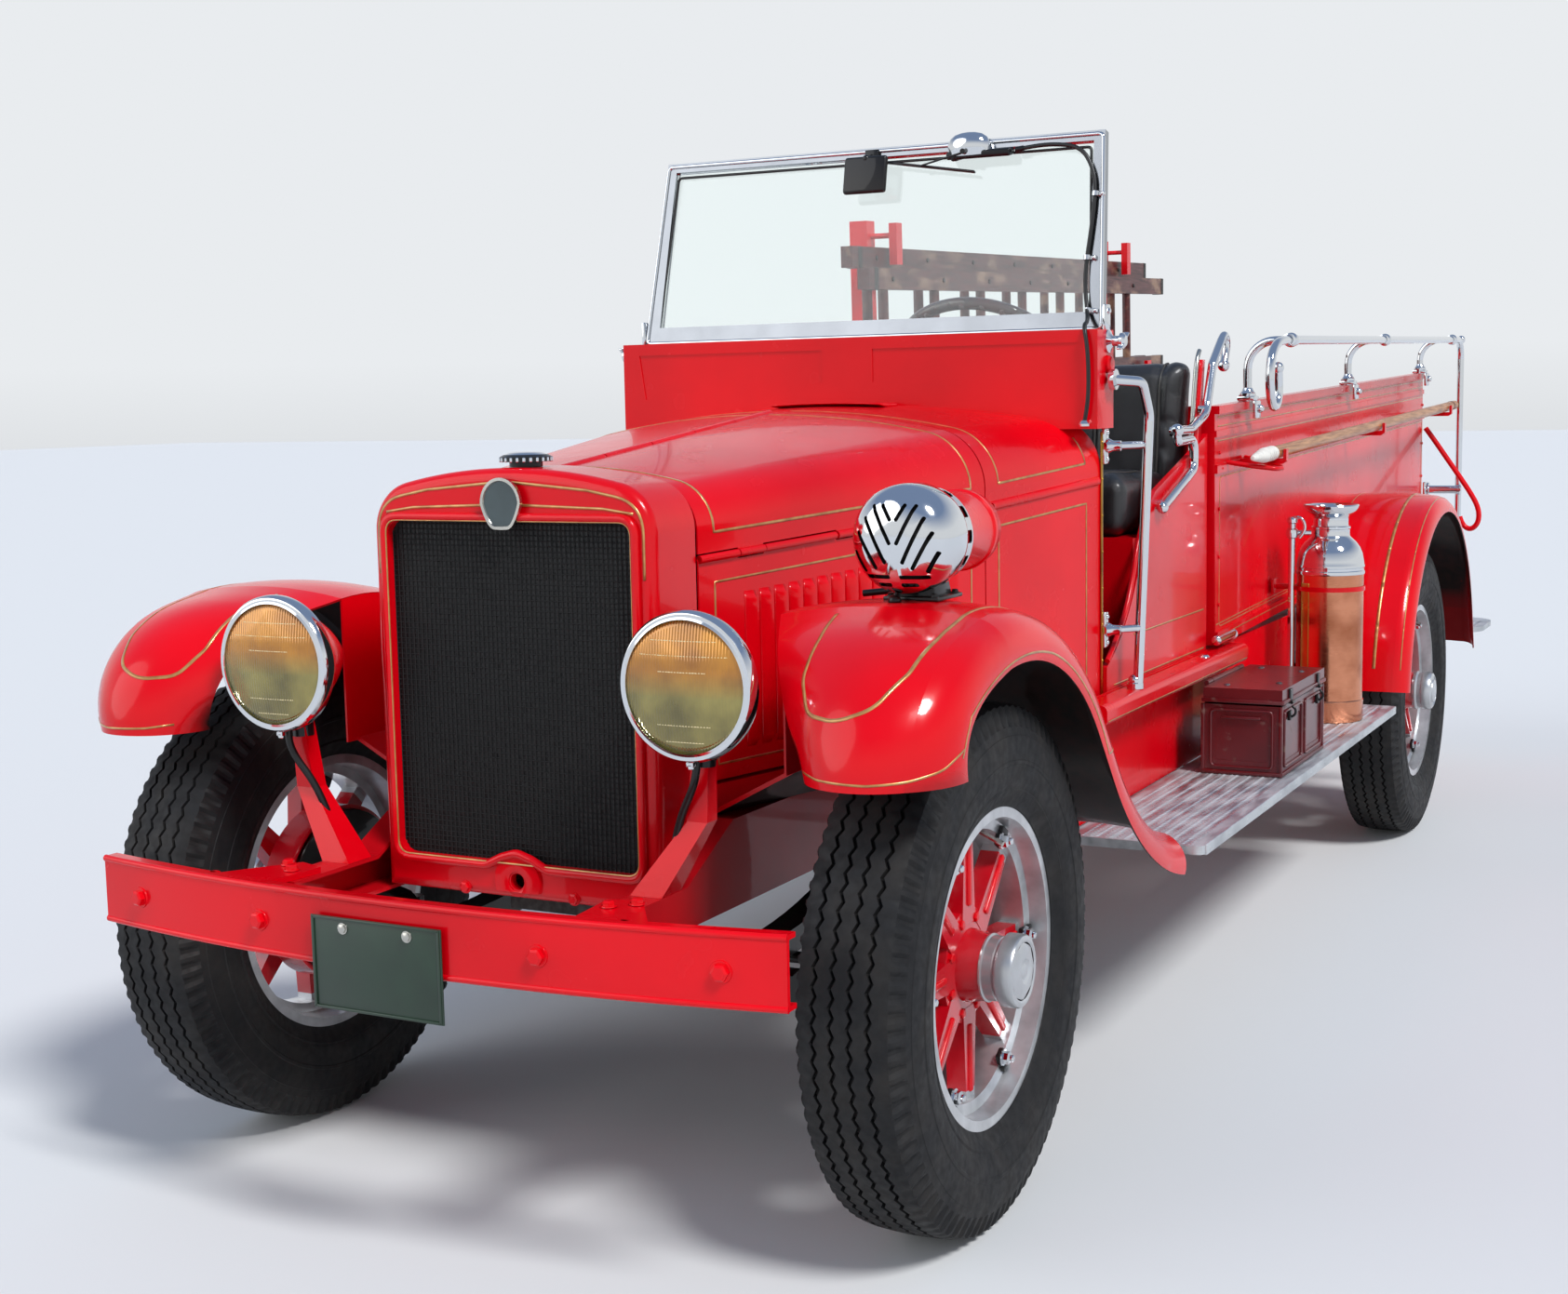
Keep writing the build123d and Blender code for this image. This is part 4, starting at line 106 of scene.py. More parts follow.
def ramp(tree, value, low, high, start=0.0, end=1.0):
    return addNode(tree, "MapRange", {"Value": value, "From Min": low, "From Max": high, "To Min": start,
                                      "To Max": end}).outputs["Result"]


def blendColour(tree, share, first, second):
    first = linear(first) if isinstance(first, str) else first
    second = linear(second) if isinstance(second, str) else second
    return addNode(tree, "Mix", {0: share, 6: first, 7: second}, data_type="RGBA").outputs[2]


def mottle(tree, place, size, first, second, detail=3, low=0.3):
    # two close tones in soft clouds of size mm
    return blendColour(tree, ramp(tree, noise(tree, place, size, detail), low, 0.7), first, second)


def sums(tree, operation, first, second):
    return addNode(tree, "Math", {0: first, 1: second}, operation=operation).outputs[0]


def addBump(tree, main, height, depth, strength=1.0):
    # depth is the relief in mm
    relief = addNode(tree, "Bump", {"Height": height, "Distance": depth * mm, "Strength": strength})
    link(tree, relief.outputs[0], main.inputs["Normal"])


def link(tree, output, socket):
    tree.links.new(output, socket)


# Finishes, each named for the real material
def coachEnamel(name, colour, deep, gloss, coat):
    # brushed coach enamel under polish: one deep colour in two close tones, with a faint orange peel
    material, tree, main, place = newFinish(name, Roughness=gloss, Coat_Weight=coat, Coat_Roughness=0.04,
                                            Specular_IOR_Level=0.18)
    link(tree, mottle(tree, place, 420, colour, deep, 4, 0.35), main.inputs["Base Color"])
    link(tree, ramp(tree, noise(tree, place, 90), 0.3, 0.8, gloss, gloss + 0.08), main.inputs["Roughness"])
    addBump(tree, main, noise(tree, place, 8), 0.02, 0.25)
    return material


engineRed = ("#DE0012", "#C6000E")
redEnamel = coachEnamel("redEnamel", *engineRed, 0.22, 0.28)
chassisEnamel = coachEnamel("chassisEnamel", "#C80816", "#93070F", 0.34, 0.3)
blackEnamel = coachEnamel("blackEnamel", "#101012", "#1B1A19", 0.34, 0.4)


def undersideEnamel():
    # the same red, with painted shade: the faces that look down are darkened nearly black and made rougher
    material, tree, main, place = newFinish("fenderEnamel", Roughness=0.22, Coat_Weight=0.28, Coat_Roughness=0.04,
                                            Specular_IOR_Level=0.18)
    facing = addNode(tree, "SeparateXYZ", {0: addNode(tree, "NewGeometry").outputs["Normal"]}).outputs[2]
    # painted shade: this mask grows as a face turns downward and darkens the red there
    downwardShade = ramp(tree, facing, -0.1, -0.45)
    shadeTone = mottle(tree, place, 30, "#140F0E", "#2A1512", 5)
    red = mottle(tree, place, 420, *engineRed, 4, 0.35)
    link(tree, blendColour(tree, downwardShade, red, shadeTone), main.inputs["Base Color"])
    link(tree, ramp(tree, downwardShade, 0, 1, 0.22, 0.7), main.inputs["Roughness"])
    addBump(tree, main, noise(tree, place, 8), 0.02, 0.25)
    return material


fenderEnamel = undersideEnamel()


def platedMetal(name, colour, rough, grain=60.0, stretch=None, patina=None):
    # polished or brushed metal: mirror-like with hairline wear that widens the highlight a little
    material, tree, main, place = newFinish(name, Metallic=1.0)
    wear = noise(tree, place, grain, 5, stretch)
    if patina:
        spots = ramp(tree, noise(tree, place, 130, 6), 0.45, 0.72)
        link(tree, blendColour(tree, spots, colour, patina), main.inputs["Base Color"])
    else:
        main.inputs["Base Color"].default_value = linear(colour)
    link(tree, ramp(tree, wear, 0.3, 0.75, rough, rough * 2.4), main.inputs["Roughness"])
    addBump(tree, main, noise(tree, place, 3), 0.02, 0.25)
    return material


chromePlate = platedMetal("chromePlate", "#DCDEE0", 0.05)
nickelPlate = platedMetal("nickelPlate", "#BDBBB3", 0.16)
brassStrip = platedMetal("brassStrip", "#C39A45", 0.2, patina="#8A6A2C")
spunCopper = platedMetal("spunCopper", "#DD9472", 0.12, 40, (1, 1, 9), "#9C5638")
castIron = platedMetal("castIron", "#4A4A48", 0.5, 12, patina="#33302C")
castIron.node_tree.nodes["Principled BSDF"].inputs["Metallic"].default_value = 0.4
bareSteel = platedMetal("bareSteel", "#7C7E80", 0.32, 20, patina="#5C5650")
plateAluminium = platedMetal("plateAluminium", "#CDD0D2", 0.42, 25, (1, 0.2, 1), "#B4B7BA")


def goldLeafPaint():
    # pinstriping in gold bronze: half metallic, slightly uneven where the brush ran dry
    material, tree, main, place = newFinish("goldBronze", Metallic=0.45, Roughness=0.32, Coat_Weight=0.5)
    link(tree, mottle(tree, place, 25, "#CE9F5E", "#A8703A"), main.inputs["Base Color"])
    return material


goldBronze = goldLeafPaint()


def tyreRubber():
    # vulcanised rubber: near black, dull, browner and dusty where it meets the road
    material, tree, main, place = newFinish("tyreRubber", Specular_IOR_Level=0.35)
    dust = ramp(tree, noise(tree, place, 70, 6), 0.42, 0.75, 0, 0.55)
    link(tree, blendColour(tree, dust, "#0F0F11", "#2C2824"), main.inputs["Base Color"])
    link(tree, ramp(tree, noise(tree, place, 16), 0.3, 0.8, 0.55, 0.85), main.inputs["Roughness"])
    addBump(tree, main, noise(tree, place, 2.5, 4), 0.12, 0.5)
    return material


rubber = tyreRubber()


def clearPane(name, tint):
    # plate glass: clear, a breath of green, sharp reflections
    material, tree, main, place = newFinish(name, Transmission_Weight=1.0, IOR=1.46)
    link(tree, ramp(tree, noise(tree, place, 300, 4), 0.45, 0.9, 0, 0.03), main.inputs["Roughness"])
    main.inputs["Base Color"].default_value = linear(tint)
    return material


paneGlass = clearPane("paneGlass", "#F4FBF8")


def lensGlass():
    # pressed amber lamp glass over a silvered bowl: amber above, and olive below as a painted reflection of the
    # ground
    material, tree, main, place = newFinish("amberGlass", Roughness=0.08, Coat_Weight=1.0, Coat_Roughness=0.02,
                                            Specular_IOR_Level=0.8)
    cloud = ramp(tree, noise(tree, place, 70, 3), 0.3, 0.72)
    height = addNode(tree, "SeparateXYZ", {0: place}).outputs[2]
    upper = blendColour(tree, cloud, "#C9861C", "#8A5210")
    # painted reflection: below this height the lens takes olive tones that stand for the ground
    lower = blendColour(tree, cloud, "#9C8F48", "#5E5526")
    link(tree, blendColour(tree, ramp(tree, height, 0.925, 0.965), lower, upper), main.inputs["Base Color"])
    main.inputs["Metallic"].default_value = 0.55
    return material


amberGlass = lensGlass()


def hideLeather():
    # polished hide: black, creased, with a pebbled grain; it is drawn at 3 mm, twice its real size, so that it shows
    material, tree, main, place = newFinish("blackHide", Roughness=0.36, Coat_Weight=0.25, Coat_Roughness=0.2,
                                            Specular_IOR_Level=0.5)
    grain = addNode(tree, "TexVoronoi", {"Vector": place, "Scale": 1000 / 3.0}, feature="DISTANCE_TO_EDGE").outputs[0]
    crease = noise(tree, place, 60, 6)
    link(tree, blendColour(tree, ramp(tree, crease, 0.4, 0.75), "#131314", "#232224"), main.inputs["Base Color"])
    link(tree, ramp(tree, crease, 0.3, 0.7, 0.28, 0.5), main.inputs["Roughness"])
    height = sums(tree, "ADD", ramp(tree, grain, 0, 0.12), sums(tree, "MULTIPLY", crease, 2.0))
    addBump(tree, main, height, 0.35, 0.6)
    return material


blackHide = hideLeather()


def sawnWood(name, light, dark, gloss, grain=7, worn=None, along=(1, 0.06, 1)):
    # wood with long grain: streaks run down the plank, and patches of the paint are worn through
    material, tree, main, place = newFinish(name, Roughness=gloss, Coat_Weight=0.25, Coat_Roughness=0.2)
    streak = noise(tree, place, grain, 6, along)
    colour = blendColour(tree, ramp(tree, streak, 0.32, 0.7), light, dark)
    if worn:
        patches = ramp(tree, noise(tree, place, 60, 7, (1, 0.35, 1)), 0.55, 0.68)
        colour = blendColour(tree, patches, colour, worn)
    link(tree, colour, main.inputs["Base Color"])
    link(tree, ramp(tree, streak, 0.3, 0.8, gloss, gloss + 0.2), main.inputs["Roughness"])
    addBump(tree, main, streak, 0.5, 0.5)
    return material


ladderWood = sawnWood("ladderWood", "#5A1712", "#33100D", 0.45, 9, "#8A6A52")
poleAsh = sawnWood("poleAsh", "#B97B3C", "#7E4A1E", 0.32, 6)
floorPine = sawnWood("floorPine", "#241A14", "#15100D", 0.6, 12)


def paintedBox():
    # oxide red paint on pressed steel, with scuffs that show a paler ground
    material, tree, main, place = newFinish("oxidePaint", Roughness=0.4, Coat_Weight=0.35, Coat_Roughness=0.15)
    scuff = ramp(tree, noise(tree, place, 26, 8), 0.62, 0.72)
    red = mottle(tree, place, 140, "#5E0C12", "#42080D", 4, 0.35)
    link(tree, blendColour(tree, scuff, red, "#6B5048"), main.inputs["Base Color"])
    link(tree, ramp(tree, scuff, 0, 1, 0.34, 0.6), main.inputs["Roughness"])
    addBump(tree, main, noise(tree, place, 4), 0.08, 0.4)
    return material


oxidePaint = paintedBox()


def rimEbonite():
    # hard moulded rubber rim: chestnut brown, hand-polished
    material, tree, main, place = newFinish("rimEbonite", Roughness=0.22, Coat_Weight=0.6, Coat_Roughness=0.08)
    link(tree, mottle(tree, place, 50, "#5A1A16", "#37100F", 4), main.inputs["Base Color"])
    addBump(tree, main, noise(tree, place, 4), 0.08, 0.3)
    return material


ebonite = rimEbonite()


def coreHoneycomb():
    # radiator core in black: matt tube ends of 9 mm, with a painted highlight on their walls and painted shade in the
    # tube openings
    material, tree, main, place = newFinish("coreBlack", Roughness=0.5, Metallic=0.3)
    cells = addNode(tree, "TexVoronoi", {"Vector": place, "Scale": 1000 / 9, "Randomness": 0.15},
                    feature="DISTANCE_TO_EDGE").outputs[0]
    # painted highlight on the cell walls, painted shade towards each cell's middle
    wall = ramp(tree, cells, 0.04, 0.16)
    link(tree, blendColour(tree, wall, "#151515", "#030303"), main.inputs["Base Color"])
    addBump(tree, main, ramp(tree, cells, 0.02, 0.2, 1, 0), 2.0, 0.9)
    return material


coreBlack = coreHoneycomb()


def plainFinish(name, colour, rough, metallic=0.0, coat=0.0, size=30.0, depth=0.08, shade=0.75):
    # a simple painted or moulded surface: two close tones and a fine texture
    material, tree, main, place = newFinish(name, Roughness=rough, Metallic=metallic, Coat_Weight=coat)
    tone = linear(colour)
    darker = [c * shade for c in tone[:3]] + [1]
    link(tree, mottle(tree, place, size, tone, darker, 5, 0.35), main.inputs["Base Color"])
    addBump(tree, main, noise(tree, place, 3, 4), depth, 0.4)
    return material


rimSilver = plainFinish("rimSilver", "#C8CACC", 0.3, 0.75, 0.3, 60, 0.04, 0.8)  # aluminium paint, flaky and bright
hoseRubber = plainFinish("hoseRubber", "#121212", 0.42, size=14)  # smooth rubber tube
plateGreen = plainFinish("plateGreen", "#16301F", 0.4, coat=0.3, size=50)  # stoved enamel on a pressed plate
whiteWrap = plainFinish("whiteWrap", "#E6E3DA", 0.75, size=12, depth=0.3, shade=0.85)  # cotton tape wound on
blackAndSlotShade = plainFinish("blackAndSlotShade", "#050505", 0.8)  # near black: the real black of the guard wires and dial faces, and painted shade inside slots and holes
mirrorSilver = plainFinish("mirrorSilver", "#E8EAEB", 0.03, 1.0, size=200, depth=0.0, shade=0.97)  # silvered glass
slateEnamel = plainFinish("slateEnamel", "#3C4A4C", 0.3, 0.3, 0.6, 40)  # dark stoved field of the bare badge plate
prismHighlight = plainFinish("prismHighlight", "#EAD9A6", 0.25, coat=0.8, size=60)  # painted highlight: the light caught on the edges of the lens prisms
frameNickel = plainFinish("frameNickel", "#9A9DA1", 0.16, 1.0, size=90, depth=0.03, shade=0.85)  # worn plating
pipingHighlight = plainFinish("pipingHighlight", "#34322F", 0.5, size=12, depth=0.2)  # painted highlight: paler hide on the welts stands for the light along the piping
print("finishes are made")


# Plain studio: a pale floor, a soft key from high right, a weaker fill from the left
studio = {"floorSize": 120, "worldStrength": 0.85,
          "key": {"strength": 2.8, "towards": (-0.62, 0.3, -0.82), "angle": 14},
          "fill": {"strength": 0.95, "towards": (0.75, 0.7, -0.5), "angle": 50}}


def buildStudio(values):
    world = bpy.data.worlds.new("studio")
    bpy.context.scene.world = world
    world.use_nodes = True
    tree = world.node_tree
    tree.nodes.clear()
    height = addNode(tree, "SeparateXYZ", {0: addNode(tree, "TexCoord").outputs["Generated"]}).outputs[2]
    near = blendColour(tree, ramp(tree, height, -0.25, 0.02), "#8E8F92", "#E9ECEF")
    pale = blendColour(tree, ramp(tree, height, 0.2, 0.62), near, "#7F93B4")
    path = addNode(tree, "LightPath").outputs
    seen = sums(tree, "MAXIMUM", sums(tree, "MAXIMUM", path["Is Camera Ray"], path["Is Glossy Ray"]),
                path["Is Transmission Ray"])
    strength = ramp(tree, seen, 0, 1, values["worldStrength"], 1.0)
    sky = addNode(tree, "Background", {"Color": pale, "Strength": strength})
    link(tree, sky.outputs[0], addNode(tree, "OutputWorld").inputs[0])
    for name in ("key", "fill"):
        light = values[name]
        data = bpy.data.lights.new(name, "SUN")
        data.energy, data.angle = light["strength"], math.radians(light["angle"])
        sun = bpy.data.objects.new(name, data)
        sun.rotation_euler = Vector(light["towards"]).to_track_quat("-Z", "Y").to_euler()
        bpy.context.scene.collection.objects.link(sun)
    floorMaterial, _, main, _ = newFinish("studioFloor", Roughness=0.85, Specular_IOR_Level=0.2)
    main.inputs["Base Color"].default_value = linear("#DADBDB")
    bpy.ops.mesh.primitive_plane_add(size=values["floorSize"])
    floor = bpy.context.object
    floor.name = "studioFloor"
    floor.data.materials.append(floorMaterial)


buildStudio(studio)


# Shape helpers, all in mm; "along" is measured behind the front axle
def spot(x, along, z):
    return Vector((x * mm, (frontAxleY + along) * mm, z * mm))


def at(x, along, z):
    return Matrix.Translation(spot(x, along, z))


def finishMesh(mesh, angle=32):
    for face in mesh.polygons:
        face.use_smooth = True
    mesh.set_sharp_from_angle(angle=math.radians(angle))


def meshObject(name, bm):
    mesh = bpy.data.meshes.new(name)
    bm.to_mesh(mesh)
    bm.free()
    item = bpy.data.objects.new(name, mesh)
    bpy.context.scene.collection.objects.link(item)
    return item


def makePiece(name, bm, material, body="vehicle", angle=32, outward=True):
    bmesh.ops.remove_doubles(bm, verts=bm.verts, dist=0.00002)
    if outward:
        bmesh.ops.recalc_face_normals(bm, faces=bm.faces)
    item = meshObject(name, bm)
    finishMesh(item.data, angle)
    for each in (material if isinstance(material, (list, tuple)) else [material]):
        item.data.materials.append(each)
    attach(item, body)
    return item


def bakeModifiers(item):
    # the evaluated shape becomes the mesh
    bpy.context.view_layer.update()
    done = bpy.data.meshes.new_from_object(item.evaluated_get(bpy.context.evaluated_depsgraph_get()))
    item.modifiers.clear()
    item.data = done
    done.name = item.name


def addThickness(item, thickness):
    # gives a sheet a wall, half of it on each side
    solid = item.modifiers.new("thick", "SOLIDIFY")
    solid.thickness, solid.offset = thickness * mm, 0.0


def frameAt(origin, axis, across=None):
    # a matrix whose local Z runs along the axis
    z = Vector(axis).normalized()
    if across is None:
        across = (Vector((0, 0, 1)) if abs(z.z) < 0.9 else Vector((0, 1, 0))).cross(z)
    x = Vector(across)
    x = (x - z * x.dot(z)).normalized()
    y = z.cross(x)
    matrix = Matrix((x, y, z)).transposed().to_4x4()
    matrix.translation = origin
    return matrix


def addTurned(bm, profile, matrix, steps=48, closed=False, part=0):
    # profile: (radius, height) pairs in mm, turned about local Z
    known = set(bm.verts)
    points = [bm.verts.new((r * mm, 0, h * mm)) for r, h in profile]
    edges = [bm.edges.new(pair) for pair in zip(points, points[1:])]
    if closed:
        edges.append(bm.edges.new((points[-1], points[0])))
    bmesh.ops.spin(bm, geom=points + edges, cent=(0, 0, 0), axis=(0, 0, 1), angle=math.tau, steps=steps,
                   use_merge=True)
    fresh = [v for v in bm.verts if v not in known]
    bmesh.ops.remove_doubles(bm, verts=fresh, dist=0.00001)
    fresh = [v for v in bm.verts if v not in known]
    for face in {f for v in fresh for f in v.link_faces}:
        face.material_index = part
    bmesh.ops.transform(bm, matrix=matrix, verts=fresh)


def addBlock(bm, size, matrix, bevel=0.0, segments=2, part=0):
    made = bmesh.ops.create_cube(bm, size=1.0, matrix=Matrix.Diagonal((size[0] * mm, size[1] * mm, size[2] * mm, 1)))
    verts = made["verts"]
    for face in {f for v in verts for f in v.link_faces}:
        face.material_index = part
    if bevel:
        edges = list({e for v in verts for e in v.link_edges})
        made = bmesh.ops.bevel(bm, geom=edges, offset=bevel * mm, offset_type="OFFSET", segments=segments,
                               profile=0.5, affect="EDGES", clamp_overlap=True, material=-1)
        verts = list({v for f in made["faces"] for v in f.verts})
    bmesh.ops.transform(bm, matrix=matrix, verts=verts)


def addRod(bm, start, end, radius, sides=12, part=0, second=None):
    # a straight rod; second is the radius at its end where it tapers
    axis = end - start
    matrix = frameAt((start + end) / 2, axis)
    made = bmesh.ops.create_cone(bm, cap_ends=True, segments=sides, radius1=radius * mm,
                                 radius2=(second if second is not None else radius) * mm, depth=axis.length,
                                 matrix=matrix)
    for face in {f for v in made["verts"] for f in v.link_faces}:
        face.material_index = part


def addBall(bm, centre, radius, part=0, scale=(1, 1, 1), rings=10):
    matrix = Matrix.Translation(centre) @ Matrix.Diagonal((*scale, 1))
    made = bmesh.ops.create_uvsphere(bm, u_segments=rings * 2, v_segments=rings, radius=radius * mm, matrix=matrix)
    for face in {f for v in made["verts"] for f in v.link_faces}:
        face.material_index = part


def addBolt(bm, centre, axis, across=16, height=8, part=0, washer=True):
    # a hexagon head with a chamfer, on a washer
    matrix = frameAt(centre, axis)
    half = across / 2 / math.cos(math.pi / 6)
    addTurned(bm, ((0, height), (half * 0.72, height), (half, height * 0.78), (half, 0.4), (0, 0.4)), matrix, 6,
              part=part)
    if washer:
        addTurned(bm, ((half * 0.6, 1.8), (half * 1.25, 1.6), (half * 1.3, -0.6)), matrix, 14, part=part)


def makeTube(name, points, radius, material, cyclic=False, sides=3, kind="POLY", resolution=8):
    # a rod bent through the given points; kind NURBS makes it flow
    curve = bpy.data.curves.new(name, "CURVE")
    curve.dimensions = "3D"
    spline = curve.splines.new(kind)
    spline.points.add(len(points) - 1)
    for point, place in zip(spline.points, points):
        point.co = (*place, 1)
        point.radius = 1.0
    if kind == "NURBS":
        spline.order_u = 3
        spline.use_endpoint_u = not cyclic
    spline.use_cyclic_u = cyclic
    spline.resolution_u = resolution
    curve.bevel_depth = radius * mm
    curve.bevel_resolution = sides
    curve.use_fill_caps = not cyclic
    holder = bpy.data.objects.new(name, curve)
    mesh = bpy.data.meshes.new_from_object(holder)
    bpy.data.objects.remove(holder)
    mesh.name = name
    mesh.materials.clear()
    mesh.materials.append(material)
    finishMesh(mesh)
    item = bpy.data.objects.new(name, mesh)
    bpy.context.scene.collection.objects.link(item)
    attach(item, "vehicle")


def roundedRun(points, radius, steps=6, closed=False):
    # replaces each corner of a run by an arc of the given radius in mm
    count = len(points)
    result = []
    for i, corner in enumerate(points):
        if not closed and i in (0, count - 1):
            result.append(corner)
            continue
        before, after = points[i - 1] - corner, points[(i + 1) % count] - corner
        angle = before.angle(after)
        cut = min(radius * mm / math.tan(angle / 2), before.length * 0.49, after.length * 0.49)
        first, last = corner + before.normalized() * cut, corner + after.normalized() * cut
        for k in range(steps + 1):
            t = k / steps
            result.append(first.lerp(corner, t).lerp(corner.lerp(last, t), t))
    return result


def treeOf(*names):
    # a search tree over the CAD nodes' faces at rest
    bm = bmesh.new()
    for name in names:
        bm.from_mesh(nodes[name].data)
    tree = BVHTree.FromBMesh(bm)
    bm.free()
    return tree


def spaced(points, step, closed=False):
    # the same run with a point every step mm
    ring = list(points) + ([points[0]] if closed else [])
    result = [ring[0].copy()]
    for a, b in zip(ring, ring[1:]):
        count = max(1, math.ceil((b - a).length / (step * mm)))
        result += [a.lerp(b, k / count) for k in range(1, count + 1)]
    if closed:
        result.pop()
    return result


ribbon = {"lift": 0.35, "step": 14, "thickness": 0.8, "searchFrom": 120, "searchTo": 500}


def paintLines(name, runs, targets, body, width):
    # pinstripes: thin ribbons laid on the nodes' own surface. runs: (points, direction towards it, closed)
    tree = treeOf(*targets)
    bm = bmesh.new()
    for points, towards, closed in runs:
        towards = Vector(towards).normalized()
        found = []
        for point in spaced(points, ribbon["step"], closed):
            start = point - towards * (ribbon["searchFrom"] * mm)
            place, normal, _, _ = tree.ray_cast(start, towards, ribbon["searchTo"] * mm)
            if place is not None:
                found.append((place, normal if normal.dot(towards) < 0 else -normal))
        count = len(found)
        if count < 2:
            print("a stripe missed its surface:", name)
            continue
        pieces = count if closed else count - 1
        grid = bmesh.ops.create_grid(bm, x_segments=1, y_segments=pieces, size=0.5)["verts"]
        rows = sorted(grid, key=lambda v: (v.co.y, v.co.x))
        for i in range(len(rows) // 2):
            place, normal = found[i % count]
            ahead = found[(i + 1) % count][0] if closed or i < count - 1 else place
            behind = found[(i - 1) % count][0] if closed or i > 0 else place
            along = (ahead - behind).normalized()
            side = normal.cross(along).normalized() * width * mm / 2
            rows[2 * i].co = place + side + normal * ribbon["lift"] * mm
            rows[2 * i + 1].co = place - side + normal * ribbon["lift"] * mm
    bmesh.ops.remove_doubles(bm, verts=bm.verts, dist=0.00005)
    addThickness(makePiece(name, bm, goldBronze, body, 50, outward=False), ribbon["thickness"])


# The CAD nodes keep their shapes and get these finishes
nodeFinish = {
    redEnamel: ["bonnet_ledges", "bonnet_side_left", "bonnet_side_right", "bonnet_top_left", "bonnet_top_right",
                "cowl", "headlamps", "hose_body", "ladder_rack", "pole_hooks", "radiator_shell", "seat_box",
                "step_aprons", "front_bumper"],
    fenderEnamel: ["front_fenders", "rear_fenders"],
    chassisEnamel: ["chassis_frame"],
    blackEnamel: ["front_axle", "rear_axle", "knuckle_left", "knuckle_right", "leaf_springs", "tie_rod",
                  "propeller_shaft", "steering_column", "radiator_cap"],
    chromePlate: ["grab_rails", "hand_rail", "headlamp_rims", "seat_rails", "siren"],
    frameNickel: ["windshield_frame"],
    castIron: ["engine_block", "exhaust"],
    spunCopper: ["extinguisher"],
    amberGlass: ["headlamp_lenses"],
    paneGlass: ["windshield_glass"],
    blackHide: ["seat_back", "seat_cushion"],
    ladderWood: ["ladders"],
    poleAsh: ["pike_pole"],
    floorPine: ["floor_boards"],
    coreBlack: ["radiator_core"],
    plateAluminium: ["running_boards", "tailboard"],
    oxidePaint: ["toolbox", "toolbox_lid"],
    ebonite: ["steering_wheel"],
    rubber: ["tyre_front_left", "tyre_front_right", "tyre_rear_left", "tyre_rear_right"],
}


def paintNode(name, material):
    mesh = nodes[name].data
    if not mesh.materials:
        mesh.materials.append(material)
    for i in range(len(mesh.materials)):
        mesh.materials[i] = material


for material, names in nodeFinish.items():
    for name in names:
        paintNode(name, material)

# Wheels: place of each hub centre, and +1 where its outer face looks towards +X
wheels = {"front_left": (686, 0, 1), "front_right": (-686, 0, -1),
          "rear_left": (749, 3400, 1), "rear_right": (-749, 3400, -1)}
rimStartRadius = 212


def wheelFinish(name, along):
    # red enamel on the cast spider, aluminium paint on the rim outside it
    material, tree, main, place = newFinish(name, Roughness=0.2, Coat_Weight=0.8, Coat_Roughness=0.06)
    hub = spot(0, along, hubHeight)
    moved = addNode(tree, "Mapping", {"Vector": place, "Location": (0, -hub.y, -hub.z)}).outputs[0]
    flat = addNode(tree, "VectorMath", {0: moved, 1: (0, 1, 1)}, operation="MULTIPLY").outputs[0]
    radius = addNode(tree, "VectorMath", {0: flat}, operation="LENGTH").outputs["Value"]
    rim = ramp(tree, radius, rimStartRadius * mm, (rimStartRadius + 1) * mm)
    red = mottle(tree, place, 120, "#CC0A1C", "#A00614", 4, 0.35)
    silver = mottle(tree, place, 60, "#D2D4D6", "#A9ABAD", 5, 0.35)
    link(tree, blendColour(tree, rim, red, silver), main.inputs["Base Color"])
    link(tree, ramp(tree, rim, 0, 1, 0, 0.7), main.inputs["Metallic"])
    link(tree, ramp(tree, rim, 0, 1, 0.2, 0.34), main.inputs["Roughness"])
    addBump(tree, main, noise(tree, place, 6), 0.08, 0.35)
    return material


wheelFinishes = {0: wheelFinish("wheelPaintFront", 0), 3400: wheelFinish("wheelPaintRear", 3400)}
for name, (_, along, _) in wheels.items():
    paintNode("wheel_" + name, wheelFinishes[along])

# Tyres, moulded with five zigzag ribs and cut shoulders
tyre = {"radius": 440, "crown": 0.0011, "steps": 384, "zigzag": 3.6, "ribsTo": 52, "notchDepth": 9,
        "notchFrom": 66, "notchEdge": 76, "grooves": (15, 45), "grooveHalf": 3.2, "grooveDepth": 9}


def tyreProfile(values):
    # (across, radius) pairs from the middle of the tread out and down to the bead, in mm
    points = [(0, values["radius"])]
    half = values["grooveHalf"]
    for groove in values["grooves"]:
        for offset, low in ((-half, 0), (-half + 1, 1), (half - 1, 1), (half, 0)):
            across = groove + offset
            points.append((across, values["radius"] - values["crown"] * across ** 2 - low * values["grooveDepth"]))
    points += [(60, 436), (74, 433), (79, 427), (84, 414), (88, 398), (91, 385), (92, 384), (93.6, 372), (94.6, 350),
               (94.8, 345), (96, 343), (96, 338), (94.4, 336), (93, 318), (88, 300), (86.6, 298), (87.6, 294),
               (85.6, 291), (79, 279), (75, 273), (73, 266), (62, 262), (55, 262)]
    return [(-a, r) for a, r in reversed(points[1:])] + points


